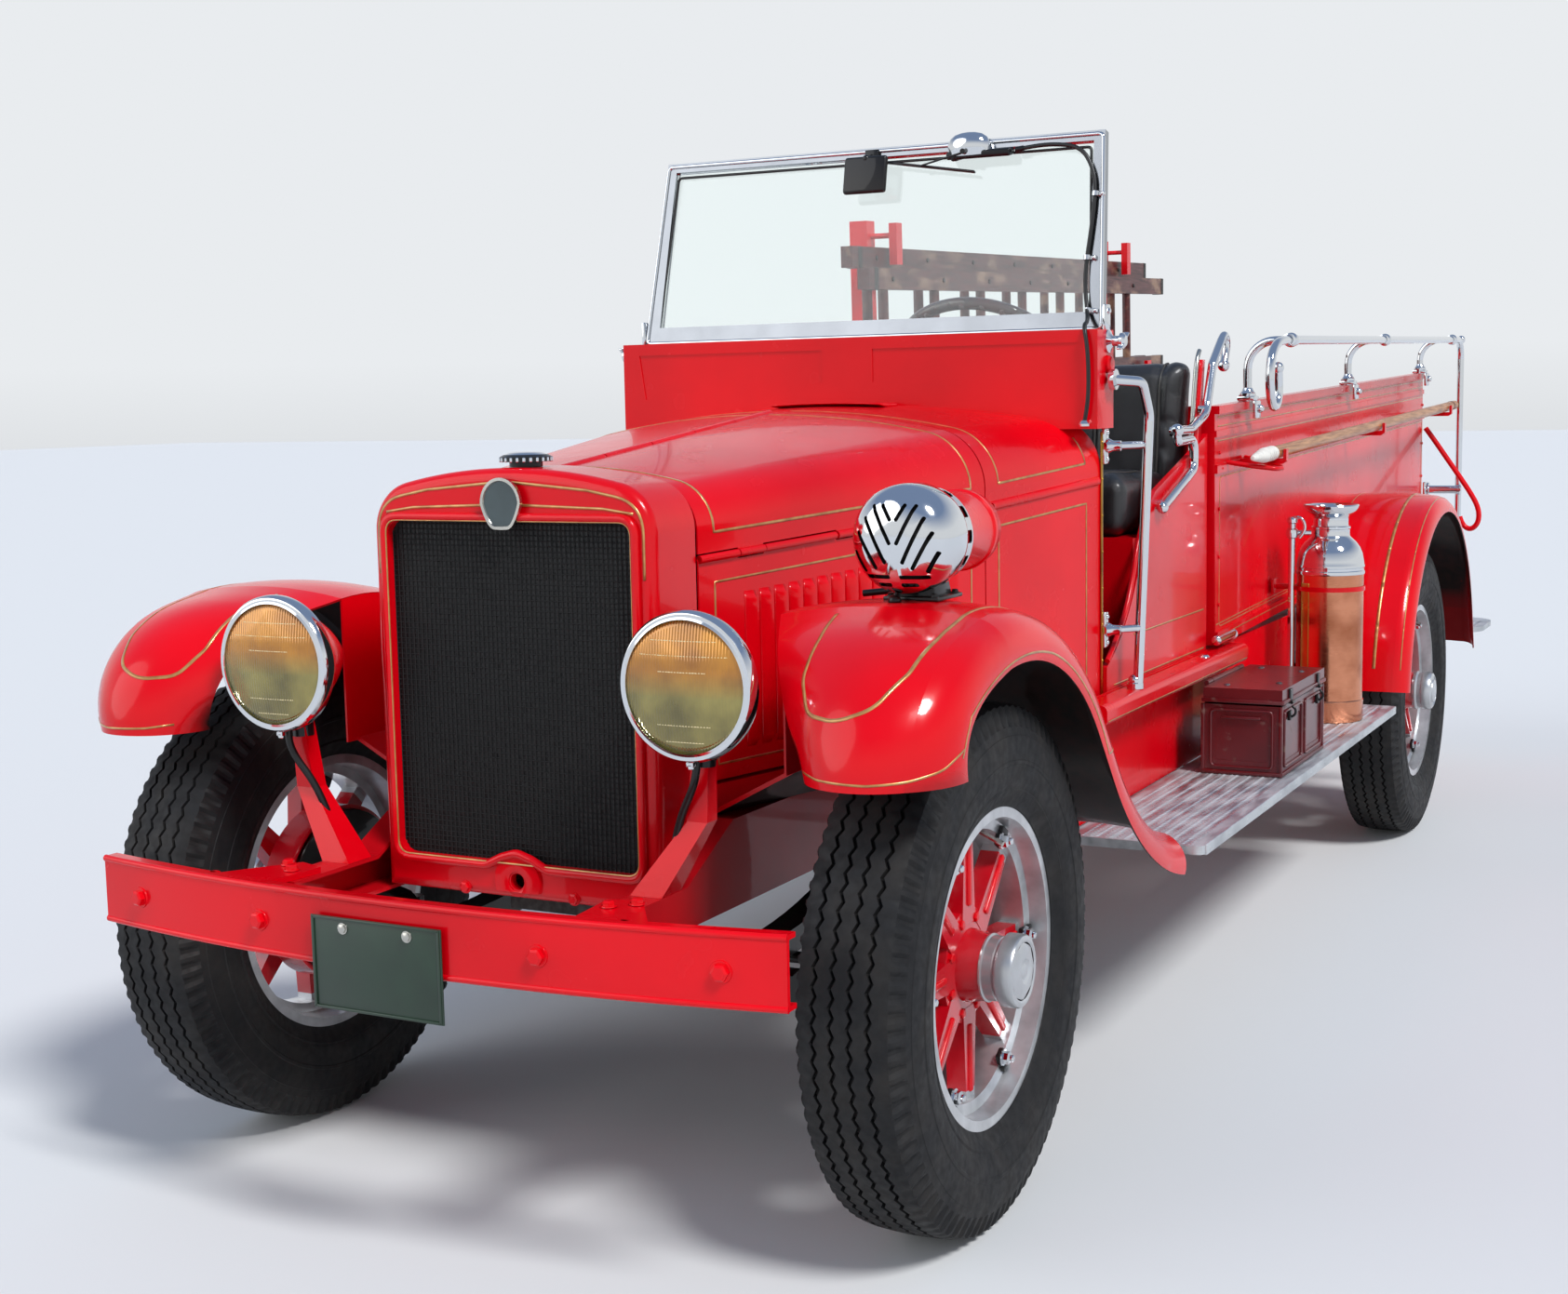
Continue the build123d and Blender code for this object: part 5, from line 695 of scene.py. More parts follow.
def buildTyre(name, x, along):
    steps = tyre["steps"]
    bm = bmesh.new()
    profile = tyreProfile(tyre)
    points = [bm.verts.new((a * mm, 0, r * mm)) for a, r in profile]
    edges = [bm.edges.new(pair) for pair in zip(points, points[1:] + points[:1])]
    bmesh.ops.spin(bm, geom=points + edges, cent=(0, 0, 0), axis=(1, 0, 0), angle=math.tau, steps=steps,
                   use_merge=True)
    for v in bm.verts:
        across, radius = v.co.x / mm, math.hypot(v.co.y, v.co.z) / mm
        turn = round(math.atan2(v.co.y, v.co.z) / math.tau * steps) % steps
        if 0 < abs(across) < tyre["ribsTo"] and radius > 420:
            wave = abs(turn % 4 - 2) - 1
            v.co.x += wave * tyre["zigzag"] * mm
        if abs(across) > tyre["notchFrom"] and radius > 400 and turn % 4 in (1, 2):
            share = 1.0 if abs(across) > tyre["notchEdge"] and radius > 408 else 0.35
            keep = 1 - share * tyre["notchDepth"] / radius
            v.co.y *= keep
            v.co.z *= keep
            v.co.x *= 1 - share * 0.03
    bmesh.ops.translate(bm, verts=bm.verts, vec=spot(x, along, hubHeight))
    piece = makePiece("tyreMoulded_" + name, bm, rubber, "wheel_" + name, 24)
    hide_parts("tyre_" + name)


for name, (x, along, _) in wheels.items():
    buildTyre(name, x, along)
print("tyres are moulded")


# Pinstripes: gold lines that follow the bonnet, cowl, shell, fenders and seat sides
stripe = {"width": 5.0, "sideWidth": 4, "cowlWidth": 4.5, "seamGap": 45, "rearGap": 62, "beltGap": 42, "noseGap": 38}
bonnetSpan = (-116, 684)
cowlSpan = (690, 1130)
bonnetEnds = ((281, 1222, 1262, 1112), (471, 1288, 1348, 1155))  # half width, corner, top and belt, front and rear
cowlEnds = ((471, 1288, 1348, 1155), (560, 1304, 1362, 1190))


def outlineAt(span, ends, along):
    t = (along - span[0]) / (span[1] - span[0])
    return [a + (b - a) * t for a, b in zip(*ends)]


def archRun(span, ends, along, side, low):
    half, corner, top, belt = outlineAt(span, ends, along)
    return [spot(side * half, along, belt + low), spot(side * half, along, corner), spot(side * 22, along, top)]


def panelRun(span, ends, first, last, side, low, bottom):
    # a rectangle on the side below the belt
    places = ((first, None), (last, None), (last, bottom), (first, bottom))
    run = []
    for along, z in places:
        half, _, _, belt = outlineAt(span, ends, along)
        run.append(spot(side * half, along, belt + low if z is None else z))
    return run


for label, side in (("left", 1), ("right", -1)):
    slant, flat = (-side * 0.62, 0, -0.78), (-side, 0, 0)
    gap, low = stripe["seamGap"], stripe["beltGap"]
    first, last = bonnetSpan[0] + stripe["noseGap"], bonnetSpan[1] - gap
    top, panel = f"bonnet_top_{label}", f"bonnet_side_{label}"
    frontArch, rearArch = (archRun(bonnetSpan, bonnetEnds, a, side, low) for a in (first, last))
    topRun = frontArch[::-1] + rearArch
    paintLines(f"bonnetTopStripe_{label}", [(topRun, slant, False)], [top], top, stripe["width"])
    sideRun = panelRun(bonnetSpan, bonnetEnds, first, last, side, -low, 762)
    paintLines(f"bonnetSideStripe_{label}", [(sideRun, flat, True)], [panel], panel, stripe["sideWidth"])
    first, last = cowlSpan[0] + gap, cowlSpan[1] - stripe["rearGap"]
    upperRun = archRun(cowlSpan, cowlEnds, first, side, low)
    half, _, _, belt = outlineAt(cowlSpan, cowlEnds, last)
    rearRun = [spot(side * half, last, belt + low), spot(side * half, last, 1282)]
    bottomRun = [upperRun[0], rearRun[0]]
    lowerRun = panelRun(cowlSpan, cowlEnds, first, last, side, -low, 728)
    paintLines(f"cowlStripe_{label}", [(upperRun, slant, False), (rearRun, flat, False), (bottomRun, flat, False),
                                       (lowerRun, flat, True)], ["cowl"], "vehicle", stripe["cowlWidth"])

# Shell: a line round the arch and a bowed one over the opening
archSide = [spot(265, -262, 1090), spot(265, -262, 1214), spot(160, -262, 1234), spot(0, -262, 1248)]
archLine = roundedRun(archSide + [Vector((-p.x, p.y, p.z)) for p in archSide[-2::-1]], 62, 8)
bowSide = [spot(247, -262, 1196), spot(190, -262, 1204), spot(0, -262, 1210)]
bowLine = bowSide + [Vector((-p.x, p.y, p.z)) for p in bowSide[-2::-1]]
paintLines("shellStripe", [(archLine, (0, 1, 0), False), (bowLine, (0, 1, 0), False)], ["radiator_shell"], "vehicle",
           stripe["cowlWidth"])

# Front fenders: a loop on the crown and a line along the rolled edge
fender = {"crownCentre": (-81, 492), "loopWidth": 6, "edgeWidth": 3.5, "edge": 860, "nearRadius": 471,
          "farRadius": 484, "arc": (62, 148)}


def fenderArc(x, steps=30):
    # the rolled edge over the wheel; its radius grows over the first half of the arc
    along, z = fender["crownCentre"]
    start, end = fender["arc"]
    first, grown = fender["nearRadius"], fender["farRadius"] - fender["nearRadius"]
    places = []
    for i in range(steps + 1):
        angle = math.radians(start + (end - start) * i / steps)
        radius = first + grown * min(1, 2 * i / steps)
        places.append(spot(x, along - radius * math.cos(angle), z + radius * math.sin(angle)))
    return places


for label, side in (("left", 1), ("right", -1)):
    loop = [(768, 60, 1046), (768, -120, 1050), (772, -260, 1010), (765, -340, 960), (735, -395, 905),
            (680, -412, 885), (620, -392, 905), (590, -345, 952), (584, -270, 1005), (568, -180, 1034)]
    run = roundedRun([spot(side * x, a, z) for x, a, z in loop], 60)
    paintLines(f"fenderLoop_{label}", [(run, (0, 0.55, -0.83), False)], ["front_fenders"], "vehicle",
               fender["loopWidth"])
    rim = side * fender["edge"]
    edge = [spot(rim, a, z) for a, z in ((-330, 850), (-318, 880), (-303, 907))]
    edge += fenderArc(rim)
    tail = [spot(rim, 470, 755), spot(rim, 590, 655), spot(rim, 700, 578)]
    nose = [spot(side * x, a, z) for x, a, z in ((842, -330, 862), (838, -400, 838), (800, -440, 826),
                                               (740, -452, 822), (660, -452, 824), (612, -446, 832))]
    paintLines(f"fenderEdge_{label}", [(edge + tail, (-side, 0, 0), False)], ["front_fenders"], "vehicle",
               fender["edgeWidth"])
    paintLines(f"fenderNoseEdge_{label}", [(roundedRun(nose, 50), (-side * 0.35, 0.93, 0), False)],
               ["front_fenders"], "vehicle", fender["edgeWidth"])
print("stripes are painted")


# Radiator: beads, crank boss, stone guard and a bare badge plate
shellTrim = {"bead": 7.5, "front": -266, "half": 251, "low": 597, "high": 1189, "line": 1.6, "wirePitch": 9,
             "wire": 1.1}
front, half, low, high = (shellTrim[k] for k in ("front", "half", "low", "high"))
beadRun = [spot(-half, front, low), spot(-62, front, low), spot(-30, front, low + 16), spot(0, front, low + 25),
           spot(30, front, low + 16), spot(62, front, low), spot(half, front, low), spot(half, front, high),
           spot(-half, front, high)]
makeTube("shellBead", roundedRun(beadRun, 30, 8, True), shellTrim["bead"], redEnamel, cyclic=True, sides=5)
lineRun = [spot(x, front - 3.5, z) for x, z in ((-245, 604), (-245, 1183), (245, 1183), (245, 604))]
makeTube("openingLine", roundedRun(lineRun, 24, 8, True), shellTrim["line"], goldBronze, cyclic=True, sides=2)
bm = bmesh.new()
boss = frameAt(spot(0, -262, 573), (0, -1, 0))
addTurned(bm, ((17, 0), (17, 6), (21, 8), (34, 7.5), (46, 5.5), (49, 0)), boss, 40)
bmesh.ops.bisect_plane(bm, geom=bm.verts[:] + bm.edges[:] + bm.faces[:], plane_co=spot(0, -262, 555),
                       plane_no=(0, 0, -1), clear_outer=True)
makePiece("crankBoss", bm, redEnamel)
bm = bmesh.new()
pitch = shellTrim["wirePitch"]
for i in range(-27, 28):  # the upright wires, then the level ones
    addRod(bm, spot(i * pitch, -251.6, 604), spot(i * pitch, -251.6, 1186), shellTrim["wire"], 4)
for i in range(66):
    z = 600 + i * pitch
    addRod(bm, spot(-247, -250.8, z), spot(247, -250.8, z), shellTrim["wire"], 4)
makePiece("stoneGuard", bm, blackAndSlotShade)

# Badge plate: round above, squarer and drawn in below, with a raised rim round its bare field
badge = {"halfWidth": 40, "halfHeight": 43, "square": 0.4, "taper": 0.3, "thickness": 7, "rim": 5, "recess": 2.5}
bm = bmesh.new()
made = bmesh.ops.create_circle(bm, cap_ends=True, segments=40, radius=1.0)
for vert in made["verts"]:
    x, z = vert.co.x, vert.co.y
    if z < 0:
        x = math.copysign(abs(x) ** badge["square"], x) * (1 + badge["taper"] * z)
    vert.co = Vector((x * badge["halfWidth"] * mm, 0, z * badge["halfHeight"] * mm))
grown = bmesh.ops.extrude_face_region(bm, geom=bm.faces[:])
moved = [v for v in grown["geom"] if isinstance(v, bmesh.types.BMVert)]
bmesh.ops.translate(bm, verts=moved, vec=(0, -badge["thickness"] * mm, 0))
faceFront = [f for f in bm.faces if all(v in moved for v in f.verts)]
bmesh.ops.inset_region(bm, faces=faceFront, thickness=badge["rim"] * mm, depth=0.0)
bmesh.ops.inset_region(bm, faces=faceFront, thickness=0.0012, depth=-badge["recess"] * mm)
for face in faceFront:
    face.material_index = 1
bmesh.ops.translate(bm, verts=bm.verts, vec=spot(0, -271, 1212))
makePiece("badgePlate", bm, [nickelPlate, slateEnamel])

# Filler cap: a ribbed skirt under its flat top
capRib = {"count": 24, "radius": 43.5, "middle": 12.5}
bm = bmesh.new()
cap = frameAt(spot(0, -198, 1270), (0, 0, 1))
for i in range(capRib["count"]):
    turn = cap @ Matrix.Rotation(math.tau * i / capRib["count"], 4, "Z")
    place = turn @ Matrix.Translation((capRib["radius"] * mm, 0, capRib["middle"] * mm))
    addBlock(bm, (4, 5, 8), place, 1.2, 1)
addTurned(bm, ((0, 25.5), (20, 25), (30, 23.6), (37, 20.6), (36, 20)), cap, 40)
makePiece("capRibs", bm, chromePlate)
print("radiator is dressed")


# Headlamps: fluted amber lenses, prism bars, rims, bowl bands, clamps and conduits
lamp = {"x": 407, "z": 941, "front": -386, "radius": 103.5, "bulge": 12, "flutePitch": 5.2, "fluteDepth": 0.9,
        "glass": 3, "prism": 1.1, "conduit": 6.5}
lensBars = ((0.69, 0.55), (0.47, 0.74), (0.23, 0.4), (-0.57, 0.45), (-0.82, 0.32))  # height and half width


def lensFront(x, z):
    # the lens's front face, forward of the rim
    reach = (x * x + z * z) / lamp["radius"] ** 2
    return lamp["bulge"] * (1 - reach)


def fluteWave(x):
    return lamp["fluteDepth"] * abs(math.sin(math.pi * x / lamp["flutePitch"]))


for label, side in (("left", 1), ("right", -1)):
    lampX, lampZ = side * lamp["x"], lamp["z"]
    centre = spot(lampX, lamp["front"] + 2, lampZ)
    bm = bmesh.new()
    strips = int(2 * lamp["radius"] / (lamp["flutePitch"] / 4))
    for i in range(strips):
        pair = []
        for k in (0, 1):
            x = -lamp["radius"] + 2 * lamp["radius"] * (i + k) / strips
            pair.append((x, math.sqrt(max(lamp["radius"] ** 2 - x * x, 0.01))))
        grid = bmesh.ops.create_grid(bm, x_segments=1, y_segments=18, size=1.0)["verts"]
        for vert in grid:
            x, tall = pair[0 if vert.co.x < 0 else 1]
            z = vert.co.y * tall
            vert.co = centre + Vector((x, -lensFront(x, z) - fluteWave(x), z)) * mm
    item = makePiece(f"lens_{label}", bm, amberGlass, angle=60, outward=False)
    addThickness(item, lamp["glass"])
    if side == 1:
        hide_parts("headlamp_lenses")
    bm = bmesh.new()
    # painted highlight: the prism bars are cream rods that stand for light caught on the lens prisms
    for height, width in lensBars:
        z = height * lamp["radius"]
        ends = width * lamp["radius"]
        run = [centre + Vector((x, -lensFront(x, z) - 1.4, z)) * mm for x in (-ends, -ends / 2, 0, ends / 2, ends)]
        for a, b in zip(run, run[1:]):
            addRod(bm, a, b, lamp["prism"], 6)
    makePiece(f"lensBars_{label}", bm, prismHighlight)
    bm = bmesh.new()
    axis = frameAt(spot(lampX, lamp["front"], lampZ), (0, -1, 0))
    addTurned(bm, ((108, -22), (117.6, -21), (118.5, -14), (117.8, -4), (114, 1.4), (108.5, 2.6), (104.5, 1.2),
                   (103.8, -1)), axis, 72)
    addBlock(bm, (13, 16, 9), axis @ Matrix.Translation((0, -0.1175, -0.013)), 1.5)
    addBolt(bm, spot(lampX, lamp["front"] + 13, lampZ - 124), (0, 0, -1), 8, 6)
    makePiece(f"lampRim_{label}", bm, chromePlate)
    bm = bmesh.new()
    addTurned(bm, ((106.5, -27), (109, -26), (109, -24), (106.5, -23)), axis, 60)
    addBall(bm, spot(lampX, lamp["front"] + 168, lampZ), 13, scale=(1, 0.6, 1))
    makePiece(f"bowlBand_{label}", bm, redEnamel)
    bm = bmesh.new()
    addBlock(bm, (44, 46, 12), at(lampX - side * 4, -322, lampZ - 88), 3)
    addRod(bm, spot(lampX - side * 4, -322, lampZ - 94), spot(lampX - side * 6, -322, lampZ - 132), 19, 16)
    addRod(bm, spot(lampX, -348, lampZ - 96), spot(lampX, -352, lampZ - 118), 9, 12)
    addBolt(bm, spot(lampX + side * 14, -322, lampZ - 112), (side, 0, 0), 15, 7)
    makePiece(f"lampClamp_{label}", bm, blackEnamel)
    conduit = [spot(side * x, a, z) for x, a, z in ((407, -350, 842), (408, -356, 812), (398, -352, 778),
                                                    (370, -340, 735), (352, -332, 690), (340, -322, 640),
                                                    (330, -300, 604))]
    makeTube(f"lampConduit_{label}", conduit, lamp["conduit"], blackEnamel, kind="NURBS", sides=4)
print("headlamps are dressed")


# Siren: a domed head with chevron slots and a slotted collar, a red motor and a dark pedestal
siren = {"x": 650, "z": 1151, "front": -150, "slot": 6.4, "collarSlots": 12, "conduit": 6}
chevrons = (((20, 58), (4, 31)), ((37, 57), (5, -6)), ((51, 38), (14, -36)), ((64, 15), (30, -45)),
            ((72, -16), (52, -50)))  # outer and inner end of each slot, mirrored about the middle
bars = (((8, -57), (54, -57)), ((8, -70), (34, -70)))


def carve(item, bm):
    # cuts the blocks in bm out of the piece
    bmesh.ops.recalc_face_normals(bm, faces=bm.faces)
    cutter = meshObject("cutter", bm)
    step = item.modifiers.new("carve", "BOOLEAN")
    step.object, step.solver = cutter, "EXACT"
    bakeModifiers(item)
    finishMesh(item.data, 35)
    bpy.data.objects.remove(cutter)


sirenAxis = frameAt(spot(siren["x"], siren["front"], siren["z"]), (0, 1, 0), (1, 0, 0))
bm = bmesh.new()
addTurned(bm, ((0, 0), (30, 1), (56, 6), (74, 18), (85, 36), (88, 58), (88, 92), (85, 104), (80, 108), (80, 138),
               (76, 138), (76, 104), (82, 90), (83, 58), (80, 38), (70, 23), (54, 12), (30, 7), (0, 6)),
          sirenAxis, 64)
sirenHead = makePiece("sirenHead", bm, chromePlate)
bm = bmesh.new()
for outer, inner in chevrons + bars:
    for side in (1, -1):
        a = spot(siren["x"] + side * outer[0], siren["front"] + 14, siren["z"] + outer[1])
        b = spot(siren["x"] + side * inner[0], siren["front"] + 14, siren["z"] + inner[1])
        place = frameAt((a + b) / 2, (0, 1, 0), (b - a))
        addBlock(bm, ((b - a).length / mm, siren["slot"], 60), place, 2.4, 2)
for i in range(siren["collarSlots"]):
    turn = Matrix.Rotation(math.tau * i / siren["collarSlots"], 4, "Z")
    addBlock(bm, (24, 21, 18), sirenAxis @ turn @ Matrix.Translation((0.079, 0, 0.124)), 2, 1)
carve(sirenHead, bm)
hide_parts("siren")
bm = bmesh.new()
# painted shade: a matt near-black core inside the head makes the slots read dark
addTurned(bm, ((0, 16), (50, 18), (68, 30), (70, 128), (0, 128)), sirenAxis, 40)
makePiece("sirenStator", bm, blackAndSlotShade)
bm = bmesh.new()
addTurned(bm, ((0, 134), (74, 134), (76, 140), (68, 146), (66, 152), (66, 262), (69, 266), (69, 274), (66, 278),
               (64, 300), (54, 326), (34, 340), (14, 344), (0, 345)), sirenAxis, 56)
for i in range(4):
    angle = math.tau * (i + 0.5) / 4
    addBolt(bm, sirenAxis @ Vector((math.cos(angle) * 0.05, math.sin(angle) * 0.05, 0.33)), (0, 1, 0), 9, 6)
makePiece("sirenMotor", bm, redEnamel)
bm = bmesh.new()
base = spot(siren["x"], -32, 1053)
stand = Matrix.Translation(base + Vector((0, 0, 0.031))) @ Matrix.Rotation(math.pi / 4, 4, "Z")
made = bmesh.ops.create_cone(bm, cap_ends=True, segments=4, radius1=0.052, radius2=0.038, depth=0.062, matrix=stand)
bmesh.ops.bevel(bm, geom=list({e for v in made["verts"] for e in v.link_edges}), offset=0.004, offset_type="OFFSET",
                segments=2, profile=0.5, affect="EDGES", clamp_overlap=True, material=-1)
addBlock(bm, (96, 104, 7), Matrix.Translation(base + Vector((0, 0, 0.001))), 2.5)
for x in (-38, 38):
    for a in (-42, 42):
        addBolt(bm, base + Vector((x, a, 4)) * mm, (0, 0, 1), 10, 6)
addRod(bm, spot(siren["x"] - 16, -96, 1078), spot(siren["x"] - 16, -108, 1050), 3.5, 10)
addBall(bm, spot(siren["x"] - 16, -109, 1054), 11, scale=(1, 1, 0.8))
makePiece("sirenPedestal", bm, blackEnamel)
conduit = [spot(650, 60, 1094), spot(640, 66, 1080), spot(610, 72, 1062), spot(560, 70, 1052), spot(500, 60, 1046)]
makeTube("sirenConduit", conduit, siren["conduit"], blackEnamel, kind="NURBS", sides=4)
print("siren is made")


# Bonnet sides: pressed louvres that open to the rear
louvre = {"first": 6, "pitch": 38, "count": 16, "low": 782, "drop": 68, "width": 27, "height": 9, "round": 13,
          "sheet": 1.2}
for label, side in (("left", 1), ("right", -1)):
    tree = treeOf(f"bonnet_side_{label}")
    bm = bmesh.new()
    towards = Vector((-side, 0, 0))
    for i in range(louvre["count"]):
        along = louvre["first"] + i * louvre["pitch"]
        half, _, _, belt = outlineAt(bonnetSpan, bonnetEnds, along)
        high = belt - louvre["drop"]
        middle = (louvre["low"] + high) / 2
        place, normal, _, _ = tree.ray_cast(spot(side * (half + 60), along, middle), towards, 0.3)
        if place is None:
            print("a louvre missed the bonnet side", label, along)
            continue
        normal = normal if normal.dot(towards) < 0 else -normal
        matrix = frameAt(place, normal, (0, 1, 0))
        grid = bmesh.ops.create_grid(bm, x_segments=7, y_segments=18, size=1.0)["verts"]
        tall = (high - louvre["low"]) / 2
        up = matrix.inverted().to_3x3() @ Vector((0, 0, 1))
        sign = 1 if up.y > 0 else -1
        for vert in grid:
            u, v = (vert.co.x + 1) / 2, vert.co.y
            past = max(0, (abs(v) * tall - (tall - louvre["round"])) / louvre["round"])
            end = math.sqrt(max(0, 1 - past ** 2))
            rise = math.sin(min(1, u / 0.86) * math.pi / 2) if u < 0.9 else 1 - ((u - 0.9) / 0.1) * 1.15
            lift = louvre["height"] * rise * end - 0.4
            vert.co = matrix @ (Vector(((u - 0.5) * louvre["width"], sign * v * tall, lift)) * mm)
    item = makePiece(f"louvres_{label}", bm, redEnamel, f"bonnet_side_{label}", 40, outward=False)
    addThickness(item, louvre["sheet"])
print("louvres are pressed")


# Bumper: rolled edges, coach bolts and the blank number plate
bumper = {"half": 658, "sweep": 65, "front": -612, "low": 506, "high": 619, "roll": 6}


def bumperFront(x):
    # the front curve's distance behind the front axle at a given x
    radius = (bumper["half"] ** 2 + bumper["sweep"] ** 2) / (2 * bumper["sweep"])
    return bumper["front"] + radius - math.sqrt(radius ** 2 - x ** 2)


bumperStations = [bumper["half"] * i / 12 for i in range(-12, 13)]
for name, z in (("bumperEdgeTop", bumper["high"] - 4), ("bumperEdgeLow", bumper["low"] + 4)):
    makeTube(name, [spot(x, bumperFront(x) + 3.2, z) for x in bumperStations], bumper["roll"], redEnamel, sides=5)
bm = bmesh.new()
for x in (-560, -268, 268, 560):
    addBolt(bm, spot(x, bumperFront(x) - 0.5, 560), (x * 0.0003, -1, 0), 24, 12)
for x, a, z in ((-312, -470, 612), (312, -470, 612), (-398, -560, 612), (398, -560, 612), (-345, -440, 612),
                (345, -440, 612)):
    addBolt(bm, spot(x, a, z - 2), (0, 0, 1), 18, 9)
for x in (-111, 111):
    addBolt(bm, spot(x, -262, 553), (0, -1, 0), 16, 7)
makePiece("bumperBolts", bm, redEnamel)
plate = {"width": 252, "height": 150, "x": -20, "z": 512}
bm = bmesh.new()
front = bumperFront(plate["x"]) - 7
addBlock(bm, (plate["width"], 3, plate["height"]), at(plate["x"], front, plate["z"]), 1.2, 2)
for dx, dz, w, h in ((0, 72, 246, 5), (0, -72, 246, 5), (121, 0, 5, 148), (-121, 0, 5, 148)):
    addBlock(bm, (w, 3.4, h), at(plate["x"] + dx, front - 1.8, plate["z"] + dz), 1.4, 2)
for x in (-62, 62):
    addBolt(bm, spot(plate["x"] + x, front - 1.5, plate["z"] + 58), (0, -1, 0), 13, 5, part=1)
    addBlock(bm, (18, 8, 26), at(plate["x"] + x, front + 5, plate["z"] + 50), 1, 1, part=1)
makePiece("numberPlate", bm, [plateGreen, nickelPlate])
print("bumper is dressed")


# Windshield: edge and glazing beads, mirror, wiper motor with its clipped hose, and the pivots at its foot
shield = {"foot": 1131, "footZ": 1506, "length": 430, "lean": 11.6, "footHalf": 563, "topHalf": 540, "edge": 4.5,
          "glazing": 3.2, "hose": 4.6}
leanTan = math.tan(math.radians(shield["lean"]))


def onShield(x, z, forward=0.0):
    return spot(x, shield["foot"] + (z - shield["footZ"]) * leanTan - forward, z)


def frameRun(inset, forward):
    # a rectangle in the plane of the windshield, inset from its outline
    low, high = shield["footHalf"], shield["topHalf"]
    foot = shield["footZ"]
    top = foot + shield["length"] * math.cos(math.radians(shield["lean"]))
    return [onShield(-low + inset, foot + inset, forward), onShield(low - inset, foot + inset, forward),
            onShield(high - inset, top - inset, forward), onShield(-high + inset, top - inset, forward)]


makeTube("shieldEdge", roundedRun(frameRun(3.5, 1.5), 12, 5, True), shield["edge"], chromePlate, cyclic=True,
         sides=4)
makeTube("shieldGlazing", roundedRun(frameRun(30, -3), 10, 5, True), shield["glazing"], hoseRubber, cyclic=True)
bm = bmesh.new()
middle = onShield(-4, 1868, 34)
place = frameAt(middle, (0, -1, 0.2), (1, 0, 0))
addBlock(bm, (104, 84, 16), place, 7, 3)
addRod(bm, middle + Vector((0, 0, 0.03)), onShield(-4, 1914, 4), 5, 10)
addBall(bm, middle + Vector((0, 0.006, 0.036)), 9)
addBlock(bm, (34, 22, 8), frameAt(onShield(-4, 1916, 6), (0, -1, 0.2), (1, 0, 0)), 2)
makePiece("mirrorBody", bm, blackEnamel)
bm = bmesh.new()
addBlock(bm, (94, 74, 2), frameAt(middle + Vector((0, 0.009, -0.0018)), (0, 1, -0.2), (1, 0, 0)), 0.8)
makePiece("mirrorGlass", bm, mirrorSilver)
bm = bmesh.new()  # the motor's dome is turned round and then flattened
motor = frameAt(onShield(236, 1912, 16), (0, -0.2, 1), (1, 0, 0))
addTurned(bm, ((50, -14), (50, 2), (48, 14), (42, 26), (31, 35), (16, 39.5), (0, 41)), motor, 40)
for vert in bm.verts:
    vert.co = motor @ (Matrix.Diagonal((1, 0.62, 0.86, 1)) @ (motor.inverted() @ vert.co))
makePiece("wiperDome", bm, chromePlate)
bm = bmesh.new()
addBlock(bm, (150, 34, 17), frameAt(onShield(262, 1899, 16), (0, -0.2, 1), (1, 0, 0)), 5, 3)
addBlock(bm, (16, 44, 24), frameAt(onShield(206, 1900, 12), (0, -0.2, 1), (1, 0, 0)), 4, 2)
addRod(bm, onShield(236, 1902, 30), onShield(236, 1902, 56), 6, 12)
addRod(bm, onShield(344, 1901, 16), onShield(362, 1903, 15), 6.5, 12)
makePiece("wiperMotor", bm, blackEnamel)
bm = bmesh.new()
addRod(bm, onShield(236, 1900, 52), onShield(120, 1880, 22), 2.2, 8)
addBlock(bm, (250, 5, 11), frameAt(onShield(128, 1880, 13), (0, -1, 0.2), (1, 0, -0.17)), 1.5, 1)
makePiece("wiperBlade", bm, blackEnamel)
hoseRoute = [onShield(352, 1902, 15), onShield(380, 1906, 14), onShield(430, 1908, 12), onShield(492, 1898, 10),
             onShield(524, 1845, 9), onShield(530, 1790, 9), onShield(525, 1710, 9), onShield(519, 1645, 9),
             onShield(521, 1590, 9), onShield(530, 1545, 10), spot(540, 1098, 1522), spot(550, 1046, 1516),
             spot(560, 1040, 1470), spot(563, 1040, 1410), spot(561, 1040, 1350), spot(553, 1040, 1313)]
makeTube("wiperHose", hoseRoute, shield["hose"], hoseRubber, kind="NURBS", sides=5, resolution=10)
bm = bmesh.new()
for z, x in ((1795, 530), (1660, 520), (1548, 530)):
    ring = frameAt(onShield(x, z, 9), (0, 0.2, 1))
    addTurned(bm, ((5.2, -5), (7.6, -5), (7.6, 5), (5.2, 5)), ring, 20, closed=True)
    addBlock(bm, (22, 5, 9), Matrix.Translation(onShield(x + 9, z, 4)), 1.2, 1)
    addBall(bm, onShield(x + 15, z, 8), 4.5, rings=6)
addTurned(bm, ((4.8, 0), (12, 0), (12, 5), (7, 12), (4.8, 12)), frameAt(spot(553, 1040, 1306), (0, 0, 1)), 20)
makePiece("hoseClips", bm, chromePlate)
bm = bmesh.new()
